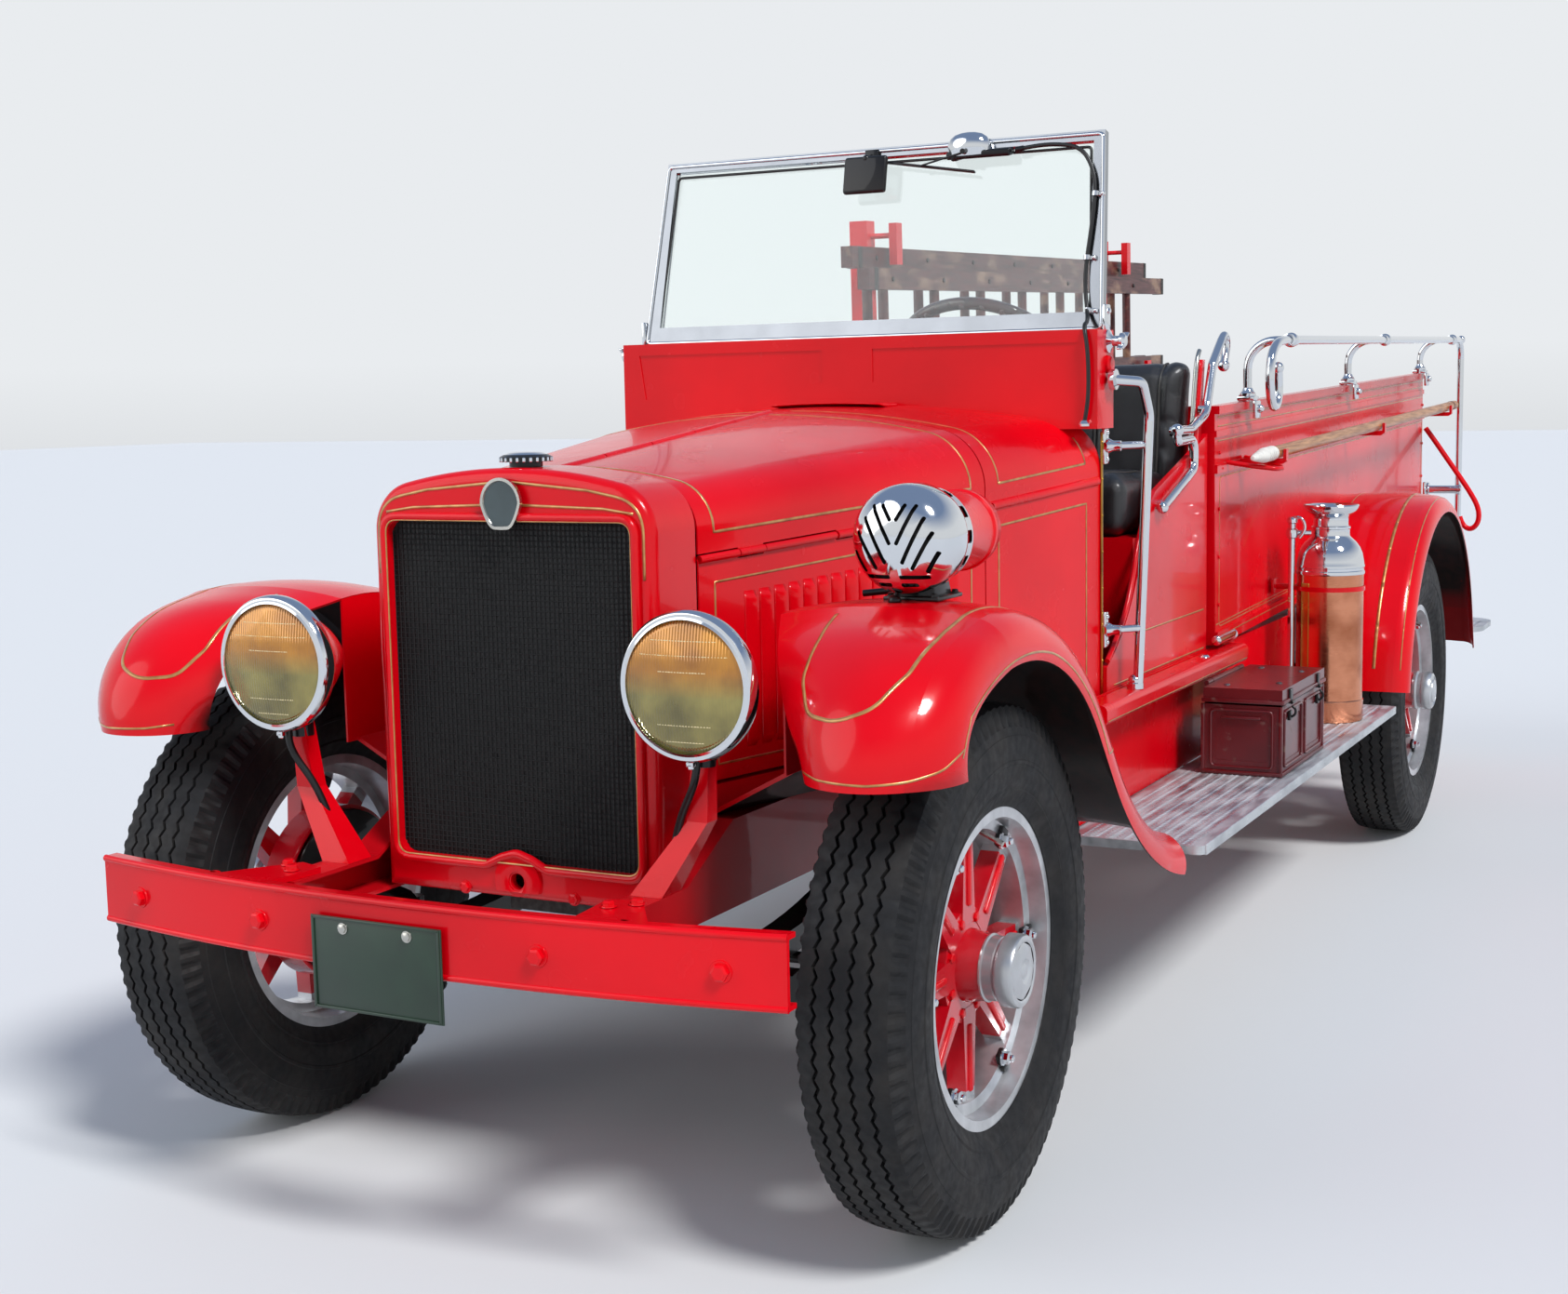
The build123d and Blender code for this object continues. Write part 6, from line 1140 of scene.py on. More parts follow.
for side in (1, -1):
    pivot = frameAt(spot(side * 578, 1118, 1482), (side, 0, 0))
    addTurned(bm, ((0, 0), (24, 0), (24, 4), (17, 7), (11, 12), (11, 26), (17, 29), (17, 35), (11, 40), (0, 41)),
              pivot, 32)
    for turn in (0.6, 0.6 + math.pi):
        wing = pivot @ Matrix.Rotation(turn, 4, "Z") @ Matrix.Translation((0.02, 0, 0.033))
        addBlock(bm, (22, 5, 13), wing, 2.4, 3)
    addBlock(bm, (9, 30, 64), at(side * 568, 1141, 1528), 3, 2)
    addBolt(bm, spot(side * 572, 1141, 1546), (side, 0, 0), 11, 5)
makePiece("shieldPivots", bm, chromePlate)
bm = bmesh.new()
for side in (1, -1):
    boss = frameAt(spot(side * 578, 1118, 1434), (side, 0, 0))
    addTurned(bm, ((0, 0), (19, 0), (19, 6), (14, 11), (0, 12)), boss, 28)
makePiece("pivotBosses", bm, redEnamel)
print("windshield is dressed")


# Cowl: vent flap, brass edge strips, castings for the grab rails, and the dashboard
vent = {"halfWidth": 132, "middle": 985, "halfLength": 50, "lip": 7.0, "sheet": 2.2}
cowlTree = treeOf("cowl")


def onCowl(x, along, lift=0.0):
    place, normal, _, _ = cowlTree.ray_cast(spot(x, along, 1700), Vector((0, 0, -1)), 0.7)
    if place is None:
        return spot(x, along, 1360)
    return place + (normal if normal.z > 0 else -normal) * lift * mm


bm = bmesh.new()
grid = bmesh.ops.create_grid(bm, x_segments=16, y_segments=10, size=1.0)["verts"]
for vert in grid:
    x, y = vert.co.x, vert.co.y
    vert.co = onCowl(x * vent["halfWidth"], vent["middle"] + y * vent["halfLength"],
                     1.0 + vent["lip"] * max(0, -y) ** 2)
item = makePiece("ventFlap", bm, redEnamel, outward=False)
addThickness(item, vent["sheet"])
edge = item.modifiers.new("edge", "BEVEL")
edge.width, edge.segments = 0.0008, 2
makeTube("ventHinge", [onCowl(x, 1036, 1.5) for x in range(-128, 129, 32)], 3.4, redEnamel, sides=4)
for label, side in (("left", 1), ("right", -1)):
    bm = bmesh.new()
    addBlock(bm, (4, 9, 592), at(side * 562, 1127, 996), 1.5, 2)
    for i in range(8):
        addBall(bm, spot(side * 564, 1127, 724 + i * 78), 3.2, scale=(0.5, 1, 1), rings=5)
    makePiece(f"brassStrip_{label}", bm, brassStrip)
    bm = bmesh.new()
    for z in (1262, 868):
        addBlock(bm, (10, 24, 78), at(side * 566, 1138, z), 4, 3)
        stub = frameAt(spot(side * 570, 1138, z), (side, 0.1, 0))
        addTurned(bm, ((0, 0), (16, 0), (16, 5), (11, 14), (11, 30), (0, 31)), stub, 24)
        for dz in (-28, 28):
            addBall(bm, spot(side * 571, 1138, z + dz), 6, scale=(0.7, 1, 1), rings=6)
    makePiece(f"railCastings_{label}", bm, chromePlate)
bm = bmesh.new()
addBlock(bm, (560, 8, 128), at(0, 1146, 1404), 3, 2)
makePiece("dashPanel", bm, blackEnamel)
bm = bmesh.new()
for x, radius in ((-150, 42), (-40, 34), (60, 34)):
    dial = frameAt(spot(x, 1149, 1404), (0, 1, 0), (1, 0, 0))
    addTurned(bm, ((radius, 0), (radius + 6, 0), (radius + 6, 6), (radius + 2, 9), (radius - 2, 6), (radius - 2, 3)),
              dial, 36)
    addTurned(bm, ((0, 3), (radius, 3)), dial, 36, part=1)
    for i in range(11):
        turn = dial @ Matrix.Rotation(math.radians(-130 + 26 * i), 4, "Z")
        addBlock(bm, (1.6, 7, 0.8), turn @ Matrix.Translation((0, (radius - 8) * mm, 0.0036)), 0, part=2)
    hand = dial @ Matrix.Rotation(0.7, 4, "Z") @ Matrix.Translation((0, radius * 0.3 * mm, 0.005))
    addBlock(bm, (2, radius * 0.8, 1), hand, 0, part=2)
for x in (120, 150, 180):
    addTurned(bm, ((0, 0), (5, 0), (5, 14), (9, 18), (9, 24), (0, 26)), frameAt(spot(x, 1150, 1396), (0, 1, 0)), 20)
makePiece("dashDials", bm, [nickelPlate, blackAndSlotShade, whiteWrap])
print("cowl is dressed")


# Controls: horn button and levers on the column, pedals, gear and brake levers
column = frameAt(spot(210, 1365, 1432), (0, math.cos(math.radians(45)), math.sin(math.radians(45))), (1, 0, 0))
bm = bmesh.new()
addTurned(bm, ((0, 24), (11, 23), (15, 19), (15, 12), (34, 10), (37, 6), (37, -4)), column, 36)
for angle, reach in ((0.5, 92), (2.5, 84)):
    tip = column @ Vector((math.cos(angle) * reach * mm, math.sin(angle) * reach * mm, 0.016))
    addRod(bm, column @ Vector((0, 0, 0.015)), tip, 3.5, 10)
    addBall(bm, tip, 9, rings=8)
for k in range(4):
    turn = column @ Matrix.Rotation(math.radians(45 + 90 * k), 4, "Z")
    for reach in (52, 190):
        addBall(bm, turn @ Vector((reach * mm, 0, 0.002)), 4.5, rings=6)
makePiece("hornAndLevers", bm, nickelPlate, "steering_wheel")
bm = bmesh.new()
for i in range(28):
    turn = column @ Matrix.Rotation(math.tau * i / 28, 4, "Z")
    addBall(bm, turn @ Vector((0.206, 0, -0.0105)), 8, rings=6)
makePiece("rimGrips", bm, ebonite, "steering_wheel")
bm = bmesh.new()
for x in (110, 300, 390):
    pad = frameAt(spot(x, 1020, 862), (0, 0.8, 0.6), (1, 0, 0))
    addBlock(bm, (64, 74, 8), pad, 3, 2)
    for k in range(5):
        addBlock(bm, (58, 5, 4), pad @ Matrix.Translation((0, (k - 2) * 0.013, 0.005)), 1, 1)
    addRod(bm, spot(x, 1014, 856), spot(x, 900, 790), 8, 12)
makePiece("pedals", bm, castIron)
bm = bmesh.new()
addTurned(bm, ((0, 30), (20, 28), (32, 16), (38, 0)), frameAt(spot(0, 1190, 697), (0, 0, 1)), 28)
addRod(bm, spot(0, 1190, 720), spot(10, 1290, 1030), 8, 14, second=6)
addBall(bm, spot(11, 1294, 1046), 24)
addRod(bm, spot(-90, 1160, 697), spot(-92, 1200, 1040), 7, 12)
addRod(bm, spot(-92, 1200, 1040), spot(-92, 1214, 1130), 12, 14)
addRod(bm, spot(-84, 1185, 1050), spot(-84, 1200, 1118), 3, 8)
makePiece("floorLevers", bm, blackEnamel)
print("controls are in")


# Seat: pressure-filled hide over springs, with sewn flutes, welts and side trims
seat = {"voxel": 0.009, "pressure": 4.0, "cap": 16, "frames": 20, "fill": 0.8, "fluteWidth": 159, "fluteDepth": 9,
        "fluteSoft": 13.0, "welt": 4.2, "trim": 5.5, "bead": 6, "panel": 6}


def quilt(item, facing):
    # presses the sewn channels into the face that looks outward
    pitch = seat["fluteWidth"]
    for vert in item.data.vertices:
        phase = vert.co.x / mm / pitch
        gap = abs(phase - round(phase)) * pitch
        share = math.exp(-(gap / seat["fluteSoft"]) ** 2)
        normal = vert.normal
        hold = max(0.0, normal.dot(facing))
        vert.co -= normal * (share * seat["fluteDepth"] * mm * min(1.0, hold * 1.6))


def padMesh(name, corners, inset, crown):
    # a rounded block: corners are (along, z) of its side outline
    bm = bmesh.new()
    verts = [bm.verts.new(spot(-558 + inset, a, z)) for a, z in corners]
    face = bm.faces.new(verts)
    grown = bmesh.ops.extrude_face_region(bm, geom=[face])
    bmesh.ops.translate(bm, verts=[v for v in grown["geom"] if isinstance(v, bmesh.types.BMVert)],
                        vec=((1116 - 2 * inset) * mm, 0, 0))
    bmesh.ops.recalc_face_normals(bm, faces=bm.faces)
    bmesh.ops.bevel(bm, geom=bm.edges[:], offset=crown * mm, offset_type="OFFSET", segments=3, profile=0.5,
                    affect="EDGES", clamp_overlap=True, material=-1)
    return meshObject(name, bm)


def makePad(name, corners, facing, inset=9, crown=30):
    item = padMesh(name, corners, inset, crown)
    remesh = item.modifiers.new("remesh", "REMESH")
    remesh.mode, remesh.voxel_size = "VOXEL", seat["voxel"]
    bakeModifiers(item)
    before = [v.co.copy() for v in item.data.vertices]
    cloth = item.modifiers.new("cloth", "CLOTH")
    cloth.settings.quality = 3
    cloth.settings.use_pressure = True
    cloth.settings.uniform_pressure_force = seat["pressure"]
    cloth.settings.effector_weights.gravity = 0
    cloth.point_cache.frame_start, cloth.point_cache.frame_end = 1, seat["frames"]
    for step in range(1, seat["frames"] + 1):
        bpy.context.scene.frame_set(step)
    bakeModifiers(item)
    for vert, old in zip(item.data.vertices, before):
        move = vert.co - old
        if move.length > seat["cap"] * mm:
            vert.co = old + move.normalized() * seat["cap"] * mm
    bpy.context.scene.frame_set(1)
    item.data.update()
    quilt(item, Vector(facing).normalized())
    item.data.update()
    smooth = item.modifiers.new("smooth", "SMOOTH")
    smooth.factor, smooth.iterations = 0.5, 2
    finer = item.modifiers.new("finer", "SUBSURF")
    finer.levels = finer.render_levels = 1
    bakeModifiers(item)
    item.data.materials.clear()
    item.data.materials.append(blackHide)
    for face in item.data.polygons:
        face.use_smooth = True
    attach(item, "vehicle")
    return item


cushion = makePad("cushionHide", ((1342, 1058), (1344, 1186), (1768, 1172), (1762, 1058)), (0, -0.25, 1))
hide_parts("seat_cushion")
squab = makePad("squabHide", ((1785, 1064), (1834, 1458), (1910, 1458), (1882, 1064)), (0, -1, 0.12))
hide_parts("seat_back")


def pipingRun(tree, places, towards):
    # points of a sewn piping on the finished hide
    run = []
    for place in places:
        hit = tree.ray_cast(place, Vector(towards), 0.5)[0]
        if hit is not None:
            run.append(hit - Vector(towards) * seat["welt"] * 0.4 * mm)
    return run


def meshTree(item):
    bm = bmesh.new()
    bm.from_mesh(item.data)
    tree = BVHTree.FromBMesh(bm)
    bm.free()
    return tree


squabTree, cushionTree = meshTree(squab), meshTree(cushion)
for i in range(-3, 4):
    x = i * seat["fluteWidth"]
    up = pipingRun(squabTree, [spot(x, 1700, z) for z in range(1130, 1462, 22)], (0, 1, 0))
    over = pipingRun(squabTree, [spot(x, a, 1600) for a in range(1852, 1900, 12)], (0, 0, -1))
    flat = pipingRun(cushionTree, [spot(x, a, 1300) for a in range(1362, 1780, 26)], (0, 0, -1))
    front = pipingRun(cushionTree, [spot(x, 1250, z) for z in range(1075, 1176, 14)], (0, 1, 0))
    for name, run in ((f"squabPiping_{i + 3}", up + over), (f"cushionPiping_{i + 3}", front + flat)):
        if len(run) > 2:
            # painted highlight: the piping is drawn in a paler hide
            makeTube(name, run, seat["welt"] * 0.75, pipingHighlight, kind="NURBS", resolution=3)
for label, side in (("left", 1), ("right", -1)):
    trim = [spot(side * 563, a, z) for a, z in ((1782, 1210), (1800, 1290), (1822, 1390), (1838, 1452), (1862, 1472))]
    makeTube(f"sideWelt_{label}", trim, seat["trim"], nickelPlate, kind="NURBS", sides=4)
    bm = bmesh.new()
    wing = bmesh.ops.create_grid(bm, x_segments=1, y_segments=12, size=1.0)["verts"]
    for vert in wing:
        t = (vert.co.y + 1) / 2
        a = 1788 + 62 * t + (34 + 22 * (1 - t)) * (1 if vert.co.x > 0 else 0) + 6
        vert.co = spot(side * 566, a, 1214 + 236 * t)
    addThickness(makePiece(f"squabPanel_{label}", bm, redEnamel, outward=False), seat["panel"])
    ledge = [spot(side * 571, a, z) for a, z in ((1136, 800), (1230, 860), (1300, 940), (1345, 1040), (1400, 1104))]
    makeTube(f"seatSideBead_{label}", ledge, seat["bead"], redEnamel, kind="NURBS", sides=4)
    stripes = [spot(side * 574, a, z) for a, z in ((1180, 742), (1880, 742), (1880, 838), (1320, 838))]
    inward = (-side, 0, 0)
    paintLines(f"seatSideStripe_{label}", [(stripes[:2], inward, False), (stripes[3:1:-1], inward, False)],
               ["seat_box"], "vehicle", stripe["sideWidth"])
print("seat is upholstered")


# Hose body: coach lines, rivets, and the stripes of the rear fenders
bed = {"front": 1940, "foot": 740, "tilt": 1.8, "side": 585, "broadLine": 3.4, "fineLine": 3, "archLine": 9}
bodyRise = math.sin(math.radians(bed["tilt"]))


def onBody(along, height, x):
    return spot(x, along, bed["foot"] + height + (along - bed["front"]) * bodyRise)


arch = {"along": 3420, "z": 430, "radius": 620, "start": 166, "end": 22, "slice": 12}


def archRuns(side, x, lift):
    # short runs round the rear fender, each looking straight at the axle
    runs = []
    angle = arch["start"]
    while angle > arch["end"]:
        stop = max(angle - arch["slice"], arch["end"])
        places = []
        for k in range(5):
            turn = math.radians(angle + (stop - angle) * k / 4)
            reach = arch["radius"] + lift
            places.append(spot(side * x, arch["along"] + reach * math.cos(turn), arch["z"] + reach * math.sin(turn)))
        middle = math.radians((angle + stop) / 2)
        runs.append((places, (0, -math.cos(middle), -math.sin(middle)), False))
        angle = stop
    return runs


for label, side in (("left", 1), ("right", -1)):
    flat = (-side, 0, 0)
    x = side * bed["side"]
    lines = [([onBody(1952, h, x), onBody(4728, h, x)], flat, False) for h in (569, 546, 510)]
    paintLines(f"bodyLine_{label}", lines, ["hose_body"], "vehicle", bed["broadLine"])
    loop = [onBody(a, h, x) for a, h in ((1972, 420), (4712, 420), (4712, 44), (1972, 44))]
    lower = [([onBody(1945, h, side * 590), onBody(2760, h, side * 590)], flat, False) for h in (52, 22)]
    paintLines(f"bodyLoop_{label}", [(roundedRun(loop, 18, 4, True), flat, True)] + lower, ["hose_body"], "vehicle",
               bed["fineLine"])
    paintLines(f"archStripe_{label}", archRuns(side, 800, -4), ["rear_fenders"], "vehicle", bed["archLine"])
    thin = archRuns(side, 640, -4) + archRuns(side, 872, -18)
    paintLines(f"archThin_{label}", thin, ["rear_fenders"], "vehicle", bed["fineLine"])
    ledgeLine = [([spot(side * 641, 940, 701), spot(side * 641, 2040, 701)], flat, False)]
    paintLines(f"ledgeLine_{label}", ledgeLine, ["step_aprons"], "vehicle", bed["fineLine"])
    bm = bmesh.new()
    for i in range(24):
        addBall(bm, onBody(1975 + i * 119, 441, side * 592), 3.6, scale=(0.6, 1, 1), rings=5)
    for a in (1965, 4716):
        for h in (100, 220, 340, 480):
            addBolt(bm, onBody(a, h, side * 585.5), (side, 0, 0), 9, 4, washer=False)
    makePiece(f"bodyRivets_{label}", bm, redEnamel)
print("body is lined")


# Hand rail: ball joints with collars, square feet and the rolled front end
rail = {"x": 698, "front": 2205, "z": 1499, "slope": 0.0167, "stations": (2225, 3430, 4640), "joint": 19,
        "scroll": 11.5, "curl": 10.5}
bm = bmesh.new()
for along in rail["stations"]:
    joint = spot(rail["x"], along, rail["z"] + (along - rail["front"]) * rail["slope"])
    addBall(bm, joint, rail["joint"], rings=12)
    for way in (-1, 1):
        collar = ((12.5, way * 30), (16, way * 29), (16, way * 21), (12.5, way * 20))
        addTurned(bm, collar, frameAt(joint, (0, 1, 0)), 20, closed=True)
    foot = onBody(along, 597, 588)
    addBlock(bm, (46, 46, 12), Matrix.Translation(foot + Vector((0, 0, 0.007))), 3, 2)
    addBlock(bm, (10, 46, 46), Matrix.Translation(foot + Vector((0.024, 0, -0.022))), 3, 2)
    addBall(bm, foot + Vector((0.032, 0, -0.02)), 11, rings=8)
    addTurned(bm, ((12, 14), (20, 14), (20, 20), (15, 26), (12, 34)), frameAt(foot, (0, 0, 1)), 24)
addBall(bm, spot(rail["x"], 4838, 1543), 15)
flange = frameAt(spot(rail["x"], 4838, 501), (0, 0, 1))
addTurned(bm, ((12.5, 0), (28, 0), (28, 5), (20, 9), (15, 18), (12.5, 18)), flange, 28)
makePiece("railJoints", bm, chromePlate)
scroll = [spot(rail["x"], a, z) for a, z in ((2215, 1499), (2150, 1498), (2080, 1490), (2028, 1462), (2012, 1412),
                                             (2018, 1360), (2050, 1328), (2090, 1338), (2104, 1378), (2094, 1424))]
makeTube("railScroll", scroll, rail["scroll"], chromePlate, kind="NURBS", sides=6)
bm = bmesh.new()
for place in ((rail["x"], 2093, 1428), (615, 1192, 752), (-615, 1192, 752)):
    addBall(bm, spot(*place), 15)
addRod(bm, spot(600, 1900, 757), spot(600, 2046, 760), 11, 16)
for a in (1896, 2050):
    addBall(bm, spot(600, a, 758.5), 13, scale=(1, 0.5, 1), rings=8)
addTurned(bm, ((0, 6), (9, 5), (13, 1), (14, -1)), frameAt(spot(608, 1760, 735), (0, 0, 1)), 24)
for side in (1, -1):
    for along, z, radius in ((1592, 1284, 16), (1480, 1112, 14), (1990, 1436, 15)):
        addBall(bm, spot(side * 588, along, z), radius)
makePiece("railKnobs", bm, chromePlate)
for label, side in (("left", 1), ("right", -1)):
    curl = [spot(side * 588, a, z) for a, z in ((1955, 1488), (1978, 1506), (2000, 1512), (2014, 1494), (2008, 1464),
                                               (1990, 1438))]
    makeTube(f"seatRailCurl_{label}", curl, rail["curl"], chromePlate, kind="NURBS", sides=6)
print("rail is dressed")


# Pike pole: taped tip, grooved butt and bent hook rod; then the stay and the grip at the body's rear corner
pole = {"x": 684, "along": 2000, "z": 1212, "tilt": 1.9, "tapeStart": -84, "tapePitch": 17, "hookRod": 6, "stay": 9.5}
tilt = math.radians(pole["tilt"])
poleAxis = frameAt(spot(pole["x"], pole["along"], pole["z"]), (0, math.cos(tilt), math.sin(tilt)), (1, 0, 0))
wrap = [(0, -96), (5, -95), (6.5, -90)]
for i in range(11):
    h = pole["tapeStart"] + i * pole["tapePitch"]
    reach = min(17.6, 7.4 + max(0, h - pole["tapeStart"]) * 0.115)
    wrap += [(reach, h), (reach + 1.3, h + 6), (reach + 0.9, h + 12)]
wrap += [(17.2, 104), (16, 106)]
bm = bmesh.new()
addTurned(bm, wrap, poleAxis, 28)
for i in range(5):
    ring = poleAxis @ Matrix.Translation((0, 0, 0.018 + i * 0.018)) @ Matrix.Rotation(0.35, 4, "X")
    addTurned(bm, ((17.2, -2), (19, -2), (19, 2), (17.2, 2)), ring, 28, closed=True)
makePiece("poleWrap", bm, whiteWrap)
bm = bmesh.new()
addTurned(bm, ((16.6, 2716), (17.2, 2718), (17.2, 2728), (16.6, 2730)), poleAxis, 32)
makePiece("poleGroove", bm, ladderWood)
hookRun = [spot(x, a, z) for x, a, z in ((590, 2016, 1196), (650, 2022, 1186), (708, 2040, 1178), (716, 2072, 1178),
                                         (706, 2104, 1180), (650, 2160, 1190), (590, 2196, 1202))]
makeTube("poleHookRod", roundedRun(hookRun, 18, 4), pole["hookRod"], redEnamel, sides=5)
stayRun = [spot(x, 4752, z) for x, z in ((592, 1222), (615, 1191), (684, 1090), (751, 993), (786, 930), (788, 876),
                                         (760, 846), (728, 866), (720, 897))]
makeTube("rearStay", stayRun, pole["stay"], redEnamel, kind="NURBS", sides=6)
bm = bmesh.new()
addRod(bm, spot(598, 4780, 994), spot(712, 4780, 994), 15, 20)
addTurned(bm, ((0, 8), (14, 7), (19, 2), (19, -6), (15, -8)), frameAt(spot(712, 4780, 994), (1, 0, 0)), 24)
addTurned(bm, ((15, 0), (26, 0), (26, 6), (15, 8)), frameAt(spot(598, 4780, 994), (1, 0, 0)), 24)
addBlock(bm, (10, 60, 60), at(594, 4758, 994), 3, 2)
makePiece("rearGrip", bm, chromePlate)
print("pole is dressed")


# Ladders: iron shoes on the stile ends, and a bolt at each rung
ladder = {"foot": 625, "stile": 60, "firstRung": 130, "rungPitch": 370, "shoe": 20}
bm = bmesh.new()
for x, front, rear, depth in ((-565, 335, 3045, 425), (-478, 255, 2995, 360)):
    for base in (ladder["foot"], ladder["foot"] + depth - ladder["stile"]):
        for a in (front + ladder["shoe"], rear - ladder["shoe"]):
            addBlock(bm, (39, 26, 62), Matrix.Translation(onBody(bed["front"] + a, base + 30, x)), 1.5, 1)
        rungs = int((rear - front - 200) / ladder["rungPitch"]) + 1
        for i in range(rungs):
            along = bed["front"] + front + ladder["firstRung"] + ladder["rungPitch"] * i
            place = onBody(along, base + 30, x)
            for side in (1, -1):
                addBolt(bm, place + Vector((side * 0.018, 0, 0)), (side, 0, 0), 13, 5, washer=False)
makePiece("ladderIrons", bm, castIron)
print("ladders are dressed")


# Extinguisher: spun copper body, plated dome, neck and ring, with its discharge rod, plaque and strap
can = {"x": 745, "along": 2500, "z": 480.3, "skin": 88.8, "plaqueTurn": -0.62, "plaqueHalf": 0.17, "plaqueZ": 258,
       "plaqueHigh": 118, "plaqueSheet": 1.2, "strapZ": 360}
bottle = frameAt(spot(can["x"], can["along"], can["z"]), (0, 0, 1), (0, -1, 0))
bm = bmesh.new()
addTurned(bm, ((0, 0), (84, 0), (89, 1.5), (90.5, 5), (90.5, 50), (91.2, 53), (91.2, 57), (88.4, 60), (88, 64),
               (88, 400), (86, 402), (0, 403)), bottle, 72)
extinguisher = makePiece("bottleBody", bm, spunCopper)
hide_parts("extinguisher")
bm = bmesh.new()
addTurned(bm, ((86, 396), (90.5, 398), (91.5, 402), (90.5, 407), (88.6, 409), (88.6, 415), (90.4, 417), (90.8, 421),
               (89, 425), (88, 434), (84, 455), (77, 471), (67, 484), (57, 493), (51, 499), (50, 503), (50, 518),
               (52, 520), (52, 525), (47, 527), (46, 531), (46, 548), (50, 554), (58, 560), (68, 568), (72, 576),
               (73.5, 581), (71.5, 584.6), (67.5, 583.5), (65.5, 577), (57, 567), (46, 561), (20, 560), (0, 560)),
          bottle, 72)
makePiece("bottleDome", bm, chromePlate)
bm = bmesh.new()
grid = bmesh.ops.create_grid(bm, x_segments=10, y_segments=24, size=1.0)["verts"]
for vert in grid:
    turn = can["plaqueTurn"] + vert.co.x * can["plaqueHalf"]
    h = can["plaqueZ"] + vert.co.y * can["plaqueHigh"]
    vert.co = bottle @ (Vector((math.cos(turn) * can["skin"], math.sin(turn) * can["skin"], h)) * mm)
addThickness(makePiece("bottlePlaque", bm, brassStrip, outward=False), can["plaqueSheet"])
bm = bmesh.new()
addRod(bm, spot(655, 2440, 481), spot(655, 2440, 985), 9, 20)
addTurned(bm, ((9, 0), (20, 0), (20, 5), (13, 9), (12, 24), (9, 26)), frameAt(spot(655, 2440, 481), (0, 0, 1)), 28)
addTurned(bm, ((9, 0), (15, 3), (17, 14), (15, 24), (10, 28), (10, 40), (14, 43), (14, 52), (9, 58), (0, 59)),
          frameAt(spot(655, 2440, 975), (0, 0, 1)), 28)
addRod(bm, spot(655, 2440, 990), spot(700, 2462, 990), 7, 14)
makePiece("dischargeRod", bm, chromePlate)
handle = [spot(x, 2436, z) for x, z in ((655, 1030), (676, 1036), (690, 1018), (690, 994), (676, 978))]
makeTube("valveHandle", handle, 4.5, chromePlate, kind="NURBS", sides=4)
bm = bmesh.new()
strap = bottle @ Matrix.Translation((0, 0, can["strapZ"] * mm))
addTurned(bm, ((89, -6), (92.4, -6), (92.4, 6), (89, 6)), strap, 60, closed=True)
addBlock(bm, (70, 20, 14), at(628, 2500, 840), 2, 2)
addBlock(bm, (10, 60, 42), at(596, 2500, 840), 3, 2)
makePiece("bottleStrap", bm, redEnamel)
print("extinguisher is made")


# Toolbox: pressed frames, corner and foot trims, the lid's lip and screws, hasps over staples
box = {"inner": 650, "outer": 835, "front": 1600, "rear": 2020, "bead": 3.2, "frameHalf": 84, "hasps": (1668, 1948),
       "staple": 3}
left, right = box["inner"] + 20, box["outer"] - 20
frames = [("boxFrontFrame", [spot(x, box["front"] - 1.5, z) for x, z in ((left, 500), (right, 500), (right, 634),
                                                                        (left, 634))])]
for i, middle in enumerate((1709, 1911)):
    near, far = middle - box["frameHalf"], middle + box["frameHalf"]
    frames.append((f"boxSideFrame_{i}", [spot(box["outer"] + 1.5, a, z) for a, z in ((near, 502), (far, 502),
                                                                                    (far, 632), (near, 632))]))
for name, run in frames:
    makeTube(name, roundedRun(run, 12, 4, True), box["bead"], oxidePaint, cyclic=True, sides=4)
bm = bmesh.new()
addBlock(bm, (92, 7, 7), at(742, 1597, 617), 2.4, 3)
for x, a in ((box["inner"] + 1, box["front"] + 1), (box["outer"] - 1, box["front"] + 1),
             (box["outer"] - 1, box["rear"] - 1)):
    addBlock(bm, (9, 9, 166), at(x, a, 564), 2.5, 2)
addBlock(bm, (188, 7, 9), at(742.5, 1599, 487), 2, 2)
addBlock(bm, (7, 424, 9), at(836, 1810, 487), 2, 2)
makePiece("boxTrim", bm, oxidePaint)
bm = bmesh.new()
addBlock(bm, (192, 7, 10), at(745, 1596, 656), 2.6, 2)
addBlock(bm, (7, 430, 10), at(839, 1810, 656), 2.6, 2)
makePiece("lidLip", bm, oxidePaint, "toolbox_lid")
bm = bmesh.new()
for x, a in ((694, 1650), (802, 1712), (694, 1968), (802, 1930)):
    addTurned(bm, ((0, 3.4), (5, 3), (8, 0.8), (8.4, -1)), frameAt(spot(x, a, 685.3), (0, 0, 1)), 20)
makePiece("lidScrews", bm, bareSteel, "toolbox_lid")
bm = bmesh.new()
for a in box["hasps"]:
    addBlock(bm, (6, 26, 34), at(840, a, 664), 1.6, 2)
    addRod(bm, spot(845, a - 12, 650), spot(845, a + 12, 650), 4, 12)
makePiece("lidHasps", bm, blackEnamel, "toolbox_lid")
bm = bmesh.new()
for a in box["hasps"]:
    addBlock(bm, (7, 22, 22), at(839, a, 618), 1.6, 2)
makePiece("boxStaples", bm, blackEnamel)
for i, a in enumerate(box["hasps"]):
    run = [spot(x, a, z) for x, z in ((840, 614), (852, 618), (852, 636), (843, 640))]
    makeTube(f"boxStaple_{i}", run, box["staple"], blackEnamel, kind="NURBS", sides=4)
print("toolbox is dressed")


